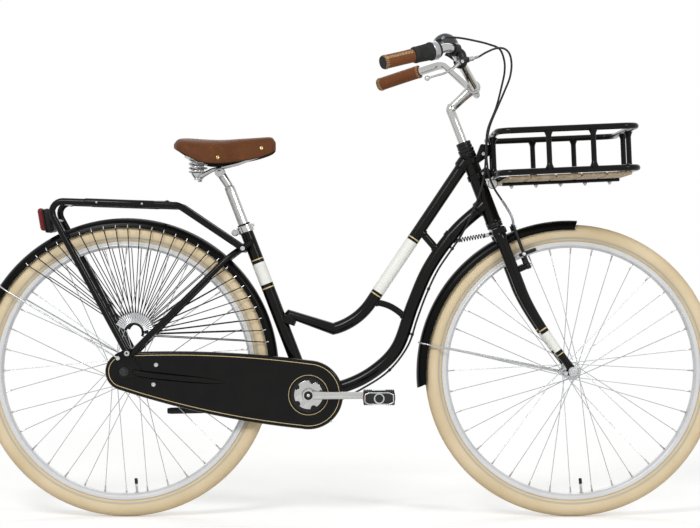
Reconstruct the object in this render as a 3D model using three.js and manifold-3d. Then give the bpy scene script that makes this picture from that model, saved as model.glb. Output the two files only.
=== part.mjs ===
// A dutch city bike: step-through frame, full chain case, skirt guards, rear rack, front basket.
// Millimetres. +X is the front, +Y the rider's left, +Z up. The origin is on the ground, midway
// between the two wheel axles.
import * as THREE from "three";
import { mergeVertices } from "three/addons/utils/BufferGeometryUtils.js";
import Module from "manifold-3d";

const wasm = await Module();
wasm.setup();

// Gaps between pieces
const restGap = 0.3; // two pieces that rest on each other
const runGap = 0.5; // a piece that turns round or beside another
const overrun = 4; // how far a cutting shape passes the wall that it cuts
const weldDistance = 0.0005;

// Wheels and their places
const wheelbase = 1091;
const rimRadius = 317;
const rimDepth = 16;
const tyreHeight = 41; // from the rim's edge to the tread
const wheelRadius = rimRadius + tyreHeight;
const tyreWidth = 47;
const rimWidth = 28;
const wheelSteps = 28;
const spokeCount = 36;
const spokeRadius = 1.1;

// Steering axis
const headAngle = 21;
const forkRake = 46.5;
const crownRoom = 16.5; // between the tread and the fork crown
const crownThickness = 18.5;
const lowerCupHeight = 12.7;
// Heights on the steering axis count from its point nearest the axle.
const crownBottom = wheelRadius + crownRoom;
const crownTop = crownBottom + crownThickness;
const headTubeBottom = crownTop + lowerCupHeight;
const headTubeLength = 179;
const headTubeRadius = 19;
const steererRadius = 12.7;
const quillRadius = 11;

// Frame
const crankBehindMiddle = 97.5;
const crankDrop = 57; // from the wheel axles down to the cranks
const crankHeight = wheelRadius - crankDrop;
const seatAngle = 21.1;
const seatTubeLength = 446.6;
const seatTubeRadius = 16;
const seatPostRadius = 12.7;
const topTubeRadius = 15;
const downTubeRadius = 16;
const chainStayRadius = 8;
const seatStayRadius = 7.5;
const dropoutThickness = 5;
const rearHubSpace = 112; // between the inner faces of the rear dropouts
const frontHubSpace = 100;

// Drive
const crankLength = 170;
const pitch = 12.7;
const ringTeeth = 36;
const sprocketTeeth = 16;
const chainLine = 46; // from the middle plane to the chain's middle
const chainWidth = 8;
const chainHalfHeight = 4;

// Contact points
const saddleLength = 247;
const saddleWidth = 206;
const handlebarRadius = 11;
const gripRadius = 16.5;
const basketLength = 343;
const basketWidth = 440;
const basketHeight = 106;

const v = (x, y, z) => new THREE.Vector3(x, y, z);
const rad = THREE.MathUtils.degToRad;
const sides = [-1, 1];
const sideName = (side) => (side < 0 ? "right" : "left");

// Places that many pieces share
const rearAxle = v(-wheelbase / 2, 0, wheelRadius);
const frontAxle = v(wheelbase / 2, 0, wheelRadius);
const crankCentre = v(-crankBehindMiddle, 0, crankHeight);
const upSteer = v(-Math.sin(rad(headAngle)), 0, Math.cos(rad(headAngle)));
const aheadSteer = v(Math.cos(rad(headAngle)), 0, Math.sin(rad(headAngle)));
const steerFoot = frontAxle.clone().addScaledVector(aheadSteer, -forkRake);
const upSeat = v(-Math.sin(rad(seatAngle)), 0, Math.cos(rad(seatAngle)));
const aheadSeat = v(Math.cos(rad(seatAngle)), 0, Math.sin(rad(seatAngle)));
const lateral = v(0, 1, 0);

const from = (origin, up, ahead) => (height, forward, side) =>
  origin.clone().addScaledVector(up, height).addScaledVector(ahead, forward).add(v(0, side, 0));
const onSteer = from(steerFoot, upSteer, aheadSteer);
const onSeat = from(crankCentre, upSeat, aheadSeat);
const round = (centre, radius, degrees, side) =>
  v(centre.x + radius * Math.cos(rad(degrees)), side, centre.z + radius * Math.sin(rad(degrees)));
const between = (a, b, share) => a.clone().lerp(b, share);
const fromFoot = (x, y, z) => v(steerFoot.x + x, y, steerFoot.z + z);
const fromCranks = (x, y, z) => v(crankCentre.x + x, y, crankCentre.z + z);
const mirrored = (p, side) => v(p.x, p.y * side, p.z);
const sideSpan = (side, a, b) => [side * a, side * b].sort((x, y) => x - y);

// Solids and booleans

function solidOf(geometry) {
  const bare = geometry.index ? geometry.toNonIndexed() : geometry.clone();
  bare.deleteAttribute("normal");
  bare.deleteAttribute("uv");
  const merged = mergeVertices(bare, weldDistance);
  const vertProperties = merged.attributes.position.array;
  const triVerts = new Uint32Array(merged.index.array);
  const build = () => new wasm.Manifold(new wasm.Mesh({ numProp: 3, vertProperties, triVerts }));
  const made = build();
  if (made.volume() >= 0) return made;
  for (let i = 0; i < triVerts.length; i += 3) {
    [triVerts[i + 1], triVerts[i + 2]] = [triVerts[i + 2], triVerts[i + 1]];
  }
  return build();
}

function geometryOf(made) {
  const mesh = made.getMesh();
  const geometry = new THREE.BufferGeometry();
  const places = new Float32Array(mesh.numVert * 3);
  for (let i = 0; i < mesh.numVert; i++) {
    places.set(mesh.vertProperties.subarray(i * mesh.numProp, i * mesh.numProp + 3), i * 3);
  }
  geometry.setAttribute("position", new THREE.BufferAttribute(places, 3));
  geometry.setIndex(new THREE.BufferAttribute(mesh.triVerts, 1));
  return geometry.toNonIndexed();
}

const join = (...pieces) => geometryOf(pieces.map(solidOf).reduce((a, b) => a.add(b)));
const cut = (body, ...tools) =>
  geometryOf(tools.map(solidOf).reduce((a, b) => a.subtract(b), solidOf(body)));
const kept = (body, limit) => geometryOf(solidOf(body).intersect(solidOf(limit)));

// Shapes

// Turns a geometry made along +Y to another direction and moves it.
function aimed(geometry, place, direction) {
  const turn = new THREE.Quaternion().setFromUnitVectors(lateral, direction.clone().normalize());
  return geometry.applyQuaternion(turn).translate(place.x, place.y, place.z);
}

function rod(start, end, radius, facets = 8, endRadius = radius) {
  const axis = end.clone().sub(start);
  const geometry = new THREE.CylinderGeometry(endRadius, radius, axis.length(), facets);
  return aimed(geometry, between(start, end, 1 / 2), axis);
}

const across = (centre, low, high, radius, facets) =>
  rod(v(centre.x, low, centre.z), v(centre.x, high, centre.z), radius, facets);

// A round body from pairs of radius and height along a direction.
function turned(profile, place, direction, facets = 12) {
  const outline = profile.map(([radius, height]) => new THREE.Vector2(radius, height));
  return aimed(new THREE.LatheGeometry(outline, facets), place, direction);
}

const tubeRing = (place, direction, outer, inner, low, high, facets = 10) =>
  turned(
    [[inner, low], [outer, low], [outer, high], [inner, high], [inner, low]],
    place,
    direction,
    facets,
  );

function block(centre, size, tilt = 0) {
  return new THREE.BoxGeometry(size.x, size.y, size.z)
    .rotateY(-tilt)
    .translate(centre.x, centre.y, centre.z);
}

// A flat plate whose outline lies in the XZ plane, between two distances to the side.
function plate(outline, low, high) {
  const shape = outline instanceof THREE.Shape ? outline : new THREE.Shape(outline);
  return new THREE.ExtrudeGeometry(shape, { depth: high - low, bevelEnabled: false })
    .rotateX(Math.PI / 2)
    .translate(0, high, 0);
}

// The outline round two circles, as a crank arm or a link has.
function linkOutline(a, radiusA, b, radiusB, steps = 8) {
  const heading = Math.atan2(b.z - a.z, b.x - a.x);
  const lean = Math.acos((radiusA - radiusB) / Math.hypot(b.x - a.x, b.z - a.z));
  const arc = (c, r, first, last) =>
    Array.from({ length: steps + 1 }, (_, i) => {
      const angle = first + ((last - first) * i) / steps;
      return new THREE.Vector2(c.x + r * Math.cos(angle), c.z + r * Math.sin(angle));
    });
  return [
    ...arc(b, radiusB, heading - lean, heading + lean),
    ...arc(a, radiusA, heading + lean, heading + 2 * Math.PI - lean),
  ];
}

// A path through chosen stations. A tube along it has one ring at each station.
class Route extends THREE.Curve {
  constructor(stations) {
    super();
    this.stations = stations;
  }
  get steps() {
    return this.stations.length - 1;
  }
  getPoint(share) {
    const place = Math.min(share * this.steps, this.steps);
    const index = Math.min(Math.floor(place), this.steps - 1);
    return between(this.stations[index], this.stations[index + 1], place - index);
  }
  getPointAt(share) {
    return this.getPoint(share);
  }
  getTangentAt(share) {
    const index = Math.round(share * this.steps);
    const before = this.stations[Math.max(index - 1, 0)];
    const here = this.stations[index];
    const after = this.stations[Math.min(index + 1, this.steps)];
    const sum = v(0, 0, 0);
    if (index > 0) sum.add(here.clone().sub(before).normalize());
    if (index < this.steps) sum.add(after.clone().sub(here).normalize());
    return sum.normalize();
  }
}

// The stations of a line through corners, each rounded by its own radius.
function rounded(corners, radius, arcSteps = 3) {
  const stations = [corners[0].clone()];
  for (let i = 1; i < corners.length - 1; i++) {
    const back = corners[i - 1].clone().sub(corners[i]);
    const onward = corners[i + 1].clone().sub(corners[i]);
    const reach = Math.min(back.length(), onward.length()) / 2;
    const bend = back.angleTo(onward) / 2;
    const run = Math.min(radius / Math.tan(bend), reach);
    const first = corners[i].clone().addScaledVector(back.normalize(), run);
    const last = corners[i].clone().addScaledVector(onward.normalize(), run);
    const curve = new THREE.QuadraticBezierCurve3(first, corners[i], last);
    for (let k = 0; k <= arcSteps; k++) stations.push(curve.getPoint(k / arcSteps));
  }
  stations.push(corners[corners.length - 1].clone());
  return stations;
}

function pipe(stations, radius, facets = 8) {
  const section = new THREE.Shape(
    Array.from({ length: facets }, (_, i) => {
      const angle = (2 * Math.PI * i) / facets;
      return new THREE.Vector2(radius * Math.cos(angle), radius * Math.sin(angle));
    }),
  );
  const extrudePath = new Route(stations);
  const settings = { steps: extrudePath.steps, extrudePath, bevelEnabled: false };
  return new THREE.ExtrudeGeometry(section, settings);
}

const smooth = (points, steps) => new THREE.CatmullRomCurve3(points).getSpacedPoints(steps);

// A closed skin through rings of equal count, with flat ends.
function loft(rings) {
  const count = rings[0].length;
  const triangles = [];
  rings.slice(1).forEach((ring, r) => {
    for (let i = 0; i < count; i++) {
      const j = (i + 1) % count;
      triangles.push(rings[r][i], ring[i], ring[j], rings[r][i], ring[j], rings[r][j]);
    }
  });
  const cap = (ring, outward) => {
    const across0 = ring[Math.floor(count / 4)].clone().sub(ring[0]).normalize();
    const normal = v(0, 0, 0);
    ring.forEach((p, i) => normal.add(p.clone().cross(ring[(i + 1) % count])));
    normal.normalize();
    across0.addScaledVector(normal, -across0.dot(normal)).normalize();
    const down = normal.clone().cross(across0);
    const flat = ring.map((p) => new THREE.Vector2(p.dot(across0), p.dot(down)));
    THREE.ShapeUtils.triangulateShape(flat, []).forEach(([a, b, c]) => {
      const corners = outward ? [ring[a], ring[b], ring[c]] : [ring[a], ring[c], ring[b]];
      triangles.push(...corners);
    });
  };
  cap(rings[0], true);
  cap(rings[rings.length - 1], false);
  return new THREE.BufferGeometry().setFromPoints(triangles);
}

// A tube whose radius changes along its stations.
function tapered(stations, radii, facets = 8) {
  const route = new Route(stations);
  const frames = route.computeFrenetFrames(route.steps, false);
  return loft(
    stations.map((place, i) =>
      Array.from({ length: facets }, (_, k) => {
        const angle = (2 * Math.PI * k) / facets;
        return place
          .clone()
          .addScaledVector(frames.normals[i], radii[i] * Math.cos(angle))
          .addScaledVector(frames.binormals[i], radii[i] * Math.sin(angle));
      }),
    ),
  );
}

// A spring: one unbroken wire whose ends run straight for one wire diameter.
function coil(label, start, end, radius, wire, curls) {
  const stepsPerCurl = 8;
  const facets = 5;
  const axis = end.clone().sub(start);
  const along = axis.clone().normalize();
  const one = lateral.clone().addScaledVector(along, -along.dot(lateral)).normalize();
  const two = along.clone().cross(one);
  const steps = curls * stepsPerCurl;
  const at = (share) => {
    const angle = 2 * Math.PI * curls * share;
    return start
      .clone()
      .addScaledVector(axis, share)
      .addScaledVector(one, radius * Math.cos(angle))
      .addScaledVector(two, radius * Math.sin(angle));
  };
  const helix = Array.from({ length: steps + 1 }, (_, i) => at(i / steps));
  const apart = (a, b) => a.distanceTo(b) - 2 * wire;
  let least = Infinity;
  helix.forEach((p, i) => {
    helix.slice(i + stepsPerCurl - 1).forEach((q) => (least = Math.min(least, apart(p, q))));
  });
  console.log(label + ": least gap to itself " + least.toFixed(2) + " mm");
  const lead = helix[0].clone().addScaledVector(helix[0].clone().sub(helix[1]).normalize(), 2 * wire);
  const tail = helix[steps]
    .clone()
    .addScaledVector(helix[steps].clone().sub(helix[steps - 1]).normalize(), 2 * wire);
  return pipe([lead, ...helix, tail], wire, facets);
}

// Finishes

const finish = (color, roughness, metalness) => ({ color, roughness, metalness });
const blackPaint = finish(0x0d0d0e, 0.25, 0);
const chrome = finish(0xd8dade, 0.15, 1);
const steel = finish(0xb4b7ba, 0.35, 1);
const alloy = finish(0xc4c6c9, 0.4, 1);
const blackPlastic = finish(0x18181a, 0.5, 0);
const blackRubber = finish(0x151515, 0.85, 0);
const creamRubber = finish(0xd9c59a, 0.8, 0);
const brownLeather = finish(0x7a4320, 0.5, 0);
const paleWood = finish(0xcbb894, 0.6, 0);
const redLens = finish(0x8c1010, 0.15, 0);
const whiteLens = finish(0xe8e8e4, 0.3, 0);
const blackCord = finish(0x1d1b18, 0.8, 0);
const gunmetal = finish(0x55585c, 0.3, 0.9);

const bike = new THREE.Group();
function part(name, geometry, look, place = v(0, 0, 0)) {
  const mesh = new THREE.Mesh(join(geometry), new THREE.MeshStandardMaterial(look));
  mesh.name = name;
  mesh.position.copy(place);
  bike.add(mesh);
  return mesh;
}

// Wheels: hub shell laced to the rim, rim and tyre, all turned about the wheel axis

// Shares of half the rim's width and of its depth, from the tyre side in.
const rimOutlineShares = [[0.5, 1], [1, 0.65], [1, 0], [0.8, 0]];

function rimGeometry() {
  const half = rimOutlineShares.map(([w, d]) => [rimRadius - d * rimDepth, (w * rimWidth) / 2]);
  const other = half.map(([r, w]) => [r, -w]).reverse();
  const loop = [...half, ...other, half[0]];
  return turned(loop, v(0, 0, 0), lateral, wheelSteps);
}

// Outside of the tyre from the bead to the tread: shares of half its width and of its height.
const tyreOutsideShares = [[0.45, 0.01], [0.98, 0.34], [0.84, 0.76], [0.32, 1]];
const tyreHollowShare = 0.75;

function tyreGeometry() {
  const height = wheelRadius - rimRadius;
  const place = ([w, h]) => [rimRadius + h * height, (w * tyreWidth) / 2];
  const outside = tyreOutsideShares.map(place);
  const other = outside.map(([r, w]) => [r, -w]).reverse();
  const loop = [...outside, ...other, place([0, tyreHollowShare]), outside[0]];
  return turned(loop, v(0, 0, 0), lateral, wheelSteps);
}

const spokeHeadShare = 0.87; // of the flange radius
const flangeHalf = 2.5;
const spokeSplay = 1.25; // a spoke's head from the middle of its flange
const rimSplay = 1.6;

function lacedHub(coreRadius, flangeRadius, flangeApart, shellHalf, boreRadius) {
  const half = flangeApart / 2;
  const halfProfile = [
    [boreRadius, shellHalf], [coreRadius, shellHalf], [coreRadius, half + flangeHalf],
    [flangeRadius, half + flangeHalf], [flangeRadius, half - flangeHalf],
    [coreRadius, half - flangeHalf],
  ];
  const other = halfProfile.map(([r, w]) => [r, -w]).reverse();
  const shell = turned([...halfProfile, ...other, halfProfile[0]], v(0, 0, 0), lateral, 10);
  const perSide = spokeCount / 2;
  const stepAngle = 360 / perSide;
  const crossings = 3;
  const rimFlat = (rimRadius - rimDepth) * Math.cos(Math.PI / wheelSteps) - restGap;
  const spokes = sides.flatMap((side, s) =>
    Array.from({ length: perSide }, (_, k) => {
      const lead = k % 2 ? -1 : 1;
      const hubAngle = stepAngle * (k + s / 2);
      const head = round(v(0, 0, 0), flangeRadius * spokeHeadShare, hubAngle, 0);
      const nipple = round(v(0, 0, 0), rimFlat, hubAngle + lead * crossings * stepAngle, 0);
      head.y = side * (half + lead * spokeSplay);
      nipple.y = side * rimSplay * (2 + lead);
      return rod(head, nipple, spokeRadius, 3);
    }),
  );
  return join(shell, ...spokes);
}

const frontHub = { core: 15, flange: 22, flangeApart: 60, shellHalf: 38, bore: 5.6 };
const rearHub = { core: 28, flange: 37, flangeApart: 54, shellHalf: 36, bore: 5.9 };
const frontAxleRadius = 4.75;
const rearAxleRadius = 5;

const addWheel = (name, hub, place) => {
  const shell = lacedHub(hub.core, hub.flange, hub.flangeApart, hub.shellHalf, hub.bore);
  part(name + "_hub", shell, alloy, place);
  part(name + "_rim", rimGeometry(), alloy, place);
  part(name + "_tyre", tyreGeometry(), creamRubber, place);
};
addWheel("front", frontHub, frontAxle);
addWheel("rear", rearHub, rearAxle);

// Axles with their outer nuts
const coneRadius = 8;
const nutRadius = 9;
const nutThickness = 8;
const threadEnd = 4;
const forkEndThickness = 4.5;

function axleWithNuts(radius, space, wall) {
  const nutIn = space / 2 + wall + restGap;
  const nutOut = nutIn + nutThickness;
  const half = [
    [radius, nutIn], [nutRadius, nutIn], [nutRadius, nutOut], [radius, nutOut],
    [radius, nutOut + threadEnd], [0, nutOut + threadEnd],
  ];
  const other = half.map(([r, w]) => [r, -w]).reverse();
  return turned([...other, ...half], v(0, 0, 0), lateral, 8);
}
part(
  "front_axle",
  axleWithNuts(frontAxleRadius, frontHubSpace, forkEndThickness),
  steel,
  frontAxle,
);

// Rear axle, carrying the coaster brake's reaction arm, which is held on the left chain stay
const brakeArmThickness = 3;
const brakeArmWidth = 9;
const brakeArmReach = 150;
const armGap = 1;

// Chain stays and seat stays: control points for the left side
const stayBridgeBehind = 62; // from the crank centre back to the bridge
const chainStayLeft = [
  v(crankCentre.x - seatTubeRadius / 2, chainLine * 0.52, crankHeight + 3),
  v(crankCentre.x - stayBridgeBehind, 31.5, crankHeight + 14),
  v(-wheelbase * 0.175, 35, crankHeight + 18),
  v(-wheelbase * 0.275, 46.5, crankHeight + 30),
  v(-wheelbase * 0.458, rearHubSpace / 2 + dropoutThickness / 2, crankHeight + 51),
  v(rearAxle.x + 26, rearHubSpace / 2 + dropoutThickness / 2, wheelRadius - 1),
];
const stayTopDrop = 48.6; // from the seat tube's top edge
const stayTopSide = 20;
const seatStayTop = onSeat(seatTubeLength - stayTopDrop, 2, stayTopSide);
const seatStayEnd = v(rearAxle.x + 16, rearHubSpace / 2 + dropoutThickness / 2, wheelRadius + 40);
// Shares of the way from the stay's top to its end: back, out and down.
const seatStayShares = [[0, 0, 0], [0.1765, 0.4675, 0.131], [0.3417, 0.6494, 0.2983],
  [0.702, 0.8831, 0.6764], [1, 1, 1]];
const seatStayLeft = seatStayShares.map(([back, out, down]) =>
  v(
    seatStayTop.x + back * (seatStayEnd.x - seatStayTop.x),
    seatStayTop.y + out * (seatStayEnd.y - seatStayTop.y),
    seatStayTop.z + down * (seatStayEnd.z - seatStayTop.z),
  ),
);
const chainStayRoute = smooth(chainStayLeft, 7);
const seatStayRoute = smooth(seatStayLeft, 5);

function rearAxleGeometry() {
  const axle = axleWithNuts(rearAxleRadius, rearHubSpace, dropoutThickness);
  const armY = rearHub.shellHalf + armGap + brakeArmThickness;
  const stay = chainStayRoute[5].clone().sub(rearAxle);
  const heading = stay.setY(0).normalize().multiplyScalar(brakeArmReach);
  const outline = linkOutline(v(0, 0, 0), coneRadius * 1.6, heading, brakeArmWidth);
  return join(axle, plate(outline, armY - brakeArmThickness, armY));
}
part("rear_axle", rearAxleGeometry(), steel, rearAxle);

// Frame

const bbShellRadius = 21;
const bbShellHalf = 35;
const bbBoreRadius = 17.4;
const strutRadius = 9;
const lowerStrutRadius = 8;
const headTubeTop = headTubeBottom + headTubeLength;
const topTubeTop = onSteer(headTubeTop - 13, -headTubeRadius * 0.56, 0);
const topTubeSlope = 56.1;
const topTubeBend = 158;
const topTubeStraight = 417;
const downTubeTop = onSteer(headTubeBottom + 50, -headTubeRadius / 3, 0);
// Shares of the way from the crank centre to the head joint, forward and up.
const downTubeShares = [
  [0, 0], [0.221, 0.046], [0.373, 0.12], [0.499, 0.237], [0.594, 0.474],
  [0.686, 0.668], [0.833, 0.858], [1, 1],
];
const downTubeCurve = new THREE.CatmullRomCurve3(
  downTubeShares.map(([ahead, up]) =>
    v(
      crankCentre.x + ahead * (downTubeTop.x - crankCentre.x),
      0,
      crankCentre.z + up * (downTubeTop.z - crankCentre.z),
    ),
  ),
);

// The top tube drops straight from the head, then sweeps back in an arc to the seat tube.
function topTubeStations() {
  const down = v(-Math.cos(rad(topTubeSlope)), 0, -Math.sin(rad(topTubeSlope)));
  const tangent = topTubeTop.clone().addScaledVector(down, topTubeStraight);
  const centre = tangent.clone().add(v(down.z, 0, -down.x).multiplyScalar(topTubeBend));
  const first = topTubeSlope - 90;
  const turn = 84;
  const steps = 9;
  const arc = Array.from({ length: steps + 1 }, (_, i) =>
    round(centre, topTubeBend, first - (turn * i) / steps, 0),
  );
  return [topTubeTop, ...arc];
}
const topTubeRoute = topTubeStations();
const topTubeEnd = topTubeRoute[topTubeRoute.length - 1];
const onTopTube = (share) => between(topTubeRoute[0], topTubeRoute[1], share);

const seatTubeTop = onSeat(seatTubeLength, 0, 0);
const seatBoreDepth = 260;
const axleSlotRadius = 5.5;
const rackBoltDrop = 56.6;
const rackBolt = onSeat(seatTubeLength - rackBoltDrop, -21, 0);
const rackLugHalf = 42;
const rackLugRadius = 7;
const fenderRoom = 15.5; // between the tread and the outside of a fender
const fenderRadius = wheelRadius + fenderRoom;
const fenderWidth = 59;
const fenderDepth = 22;
const fenderWall = 1.6;
const fenderShares = [[-1, 1], [-0.84, 0.36], [-0.4, 0.02], [0.4, 0.02], [0.84, 0.36], [1, 1]];
const rearFender = { first: 3, last: 188, steps: 16 };
const frontFender = { first: 87, last: 185.5, steps: 11 };
const bridgeOut = 7.3; // of the seat stays' middle line
const toBridge = seatStayLeft[1].clone().setY(0).sub(rearAxle);
const bridgeAngle = THREE.MathUtils.radToDeg(Math.atan2(toBridge.z, toBridge.x));
const fenderBridge = round(rearAxle, toBridge.length() + bridgeOut, bridgeAngle, 0);
const fenderBossRadius = 5;

// The radius of a fender's flat facets at an angle, for what rests on its outside.
function fenderOutside({ first, last, steps }, degrees, drop = 0) {
  const step = (last - first) / steps;
  const offMiddle = ((degrees - first) % step) - step / 2;
  return ((fenderRadius - drop) * Math.cos(rad(step / 2))) / Math.cos(rad(offMiddle));
}

const rackEye = v(rearAxle.x + 9, rearHubSpace / 2 + dropoutThickness, wheelRadius + 45);
const fenderEye = v(rearAxle.x - 14, rearHubSpace / 2 + dropoutThickness, wheelRadius + 33);
const kickPivot = v(crankCentre.x - 67, 40, crankHeight - 39);

const stayBridge = v(chainStayLeft[1].x, 0, chainStayLeft[1].z);
const kickHeadRadius = 11;
const kickBracketLow = 20;
const kickBracketHigh = 34;
const kickPinRadius = 5;
const kickPinEnd = 49;

function dropout(side) {
  const low = rearHubSpace / 2;
  const outline = [
    [40, -10], [40, 8], [28, 26], [24, 56], [8, 56], [-2, 52], [-22, 42], [-22, 26], [-14, 12],
    [-16, -12], [-6, -18], [12, -16],
  ].map(([x, z]) => new THREE.Vector2(rearAxle.x + x, rearAxle.z + z));
  const ends = [side * low, side * (low + dropoutThickness)].sort((a, b) => a - b);
  return plate(outline, ends[0], ends[1]);
}

function frameGeometry() {
  const mirror = (route, side) => route.map((p) => mirrored(p, side));
  const headLow = onSteer(headTubeBottom, 0, 0);
  const headHigh = onSteer(headTubeTop, 0, 0);
  const strutTop = onTopTube(0.485);
  const strutEnd = downTubeCurve.getPointAt(0.76);
  const lowerTop = onTopTube(0.99);
  const lowerEnd = downTubeCurve.getPointAt(0.49);
  const lowerMiddle = between(lowerTop, lowerEnd, 1 / 2).add(v(0, 0, strutRadius));
  const tubes = [
    across(crankCentre, -bbShellHalf, bbShellHalf, bbShellRadius, 10),
    rod(crankCentre, seatTubeTop, seatTubeRadius, 10),
    pipe(topTubeRoute, topTubeRadius, 8),
    pipe(downTubeCurve.getSpacedPoints(10), downTubeRadius, 8),
    rod(headLow, headHigh, headTubeRadius, 10),
    rod(strutTop, strutEnd, strutRadius, 6),
    pipe([lowerTop, lowerMiddle, lowerEnd], lowerStrutRadius, 6),
    across(rackBolt, -rackLugHalf, rackLugHalf, rackLugRadius, 5),
    rod(
      fenderBridge,
      round(rearAxle, fenderOutside(rearFender, bridgeAngle) + restGap, bridgeAngle, 0),
      fenderBossRadius,
      5,
    ),
    across(fenderBridge, -seatStayLeft[1].y, seatStayLeft[1].y, seatStayRadius * 0.8, 4),
    rod(chainStayLeft[1], mirrored(chainStayLeft[1], -1), chainStayRadius * 0.8, 4),
    ...sides.flatMap((side) => [
      pipe(mirror(chainStayRoute, side), chainStayRadius, 6),
      pipe(mirror(seatStayRoute, side), seatStayRadius, 6),
      rod(seatStayTop.clone().setY(0), mirrored(seatStayTop, side), seatStayRadius, 6),
      dropout(side),
    ]),
    ...cableClips(),
    springLug(),
    plate(linkOutline(stayBridge, 9, kickPivot, kickHeadRadius, 3), kickBracketLow, kickBracketHigh),
    across(kickPivot, kickBracketLow + 2, kickPinEnd, kickPinRadius, 6),
  ];
  const steererBore = rod(
    onSteer(headTubeBottom - overrun, 0, 0),
    onSteer(headTubeTop + overrun, 0, 0),
    steererRadius + 3,
    10,
  );
  const postBore = rod(
    onSeat(seatTubeLength - seatBoreDepth, 0, 0),
    onSeat(seatTubeLength + overrun, 0, 0),
    seatPostRadius + runGap,
    10,
  );
  return cut(
    join(...tubes),
    steererBore,
    postBore,
    across(crankCentre, -bbShellHalf - overrun, bbShellHalf + overrun, bbBoreRadius, 10),
    across(rearAxle, -rearHubSpace, rearHubSpace, axleSlotRadius, 8),
  );
}

// Clips that hold the shift cable under the down tube
const cableRadius = 2.5;
const clipShares = [0.44, 0.8];
const clipRadius = 3;
const clipRise = 1.5;
function cableClips() {
  return clipShares.map((share) => {
    const centre = downTubeCurve.getPointAt(share);
    const heading = downTubeCurve.getTangentAt(share);
    const under = lateral.clone().cross(heading).multiplyScalar(downTubeRadius + clipRise);
    return rod(centre, centre.clone().add(under), clipRadius, 4);
  });
}

// A clamp on the down tube with the lug that holds the steering spring
const springWire = 1.4;
const springRadius = 5.4;
const springLugShare = 0.83;
const springBandHalf = 7;
const bandWall = 2;
const springLugRadius = 4;
const springFrameEnd = onSteer(headTubeBottom - 8, -100, 0);
function springLug() {
  const centre = downTubeCurve.getPointAt(springLugShare);
  const heading = downTubeCurve.getTangentAt(springLugShare);
  const half = heading.clone().multiplyScalar(springBandHalf);
  const band = rod(centre.clone().sub(half), centre.clone().add(half), downTubeRadius + bandWall, 8);
  return join(band, rod(centre, springFrameEnd, springLugRadius, 6));
}
part("frame", frameGeometry(), blackPaint);

// Headset cups, bottom bracket, seat clamp

const headsetRadius = 20;
const headsetBore = steererRadius + runGap * 1.6;
const upperCupTop = headTubeTop + 16;
const headsetTop = headTubeTop + 33;

part(
  "headset_upper",
  tubeRing(steerFoot, upSteer, headsetRadius, headsetBore, headTubeTop + restGap, upperCupTop),
  blackPlastic,
);
part(
  "headset_lower",
  tubeRing(steerFoot, upSteer, headsetRadius, headsetBore, crownTop + runGap, headTubeBottom - restGap),
  blackPlastic,
);
part(
  "headset_locknut",
  tubeRing(
    steerFoot, upSteer, headsetRadius - 1.5, steererRadius + restGap, upperCupTop + runGap, headsetTop,
  ),
  blackPlastic,
);

const crankAxleRadius = 8.5;
const bbLip = 2;
part(
  "bottom_bracket",
  tubeRing(
    crankCentre, lateral, bbBoreRadius - runGap * 2, crankAxleRadius + runGap,
    -bbShellHalf - bbLip, bbShellHalf + bbLip, 10,
  ),
  steel,
);

const collarRadius = 20;
const collarHeight = 18;
const clampBoltBehind = 27;
const clampBoltRadius = 3;
const clampNutRadius = 8;
const clampEarHalf = 9;
const seatCollarLow = seatTubeLength - 22;
const clampBolt = onSeat(seatCollarLow + collarHeight / 2, -clampBoltBehind, 0);
const clampNutY = clampEarHalf + 8;
const qrLeverY = clampEarHalf + 9;

function seatCollarGeometry() {
  const band = tubeRing(
    crankCentre, upSeat, collarRadius, seatTubeRadius + runGap, seatCollarLow, seatCollarLow + collarHeight,
  );
  const nearWall = onSeat(seatCollarLow + collarHeight / 2, -collarRadius - 3.5, 0);
  const ears = sides.map((side) =>
    plate(linkOutline(nearWall, 7, clampBolt, 7, 3), side * clampEarHalf - 1.5, side * clampEarHalf + 1.5),
  );
  const bolt = across(clampBolt, -clampNutY, clampNutY, clampBoltRadius, 6);
  const nut = across(clampBolt, -clampNutY, -clampEarHalf - 1, clampNutRadius, 8);
  return join(band, ...ears, bolt, nut);
}
part("seat_clamp", seatCollarGeometry(), alloy);

// The quick-release lever turns on the clamp bolt's left end.
function seatLeverGeometry() {
  const tip = clampBolt.clone().addScaledVector(aheadSeat, 50).addScaledVector(upSeat, 3);
  const hub = across(clampBolt, qrLeverY - clampEarHalf / 2, qrLeverY + clampEarHalf, clampNutRadius, 12);
  const wall = v(0, qrLeverY + clampEarHalf, 0);
  const blade = plate(linkOutline(clampBolt, 5, tip, 3.5, 6), wall.y - 4, wall.y);
  const bore = across(clampBolt, 0, clampNutY + restGap, clampBoltRadius + runGap, 8);
  return cut(join(hub, blade), bore);
}
part("seat_clamp_lever", seatLeverGeometry(), alloy);

// Fork: crown, steerer, two raked blades with their ends

const bladeSide = 47;
const bladeRadius = 14;
const bladeTipRadius = 9;
const rakeStart = crownBottom * 0.6275;
const rakeTurn = crownBottom * 0.4406;
const bladeEndHeight = 16;
const padHeight = rimRadius - rimDepth / 2;
const padAbovePivot = 30;
const brakePivotHeight = padHeight - padAbovePivot;
const brakePivotAhead = 34;
const brakePivotSide = 40;

const forkEye = v(frontAxle.x - 18, 0, frontAxle.z - 4);

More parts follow.
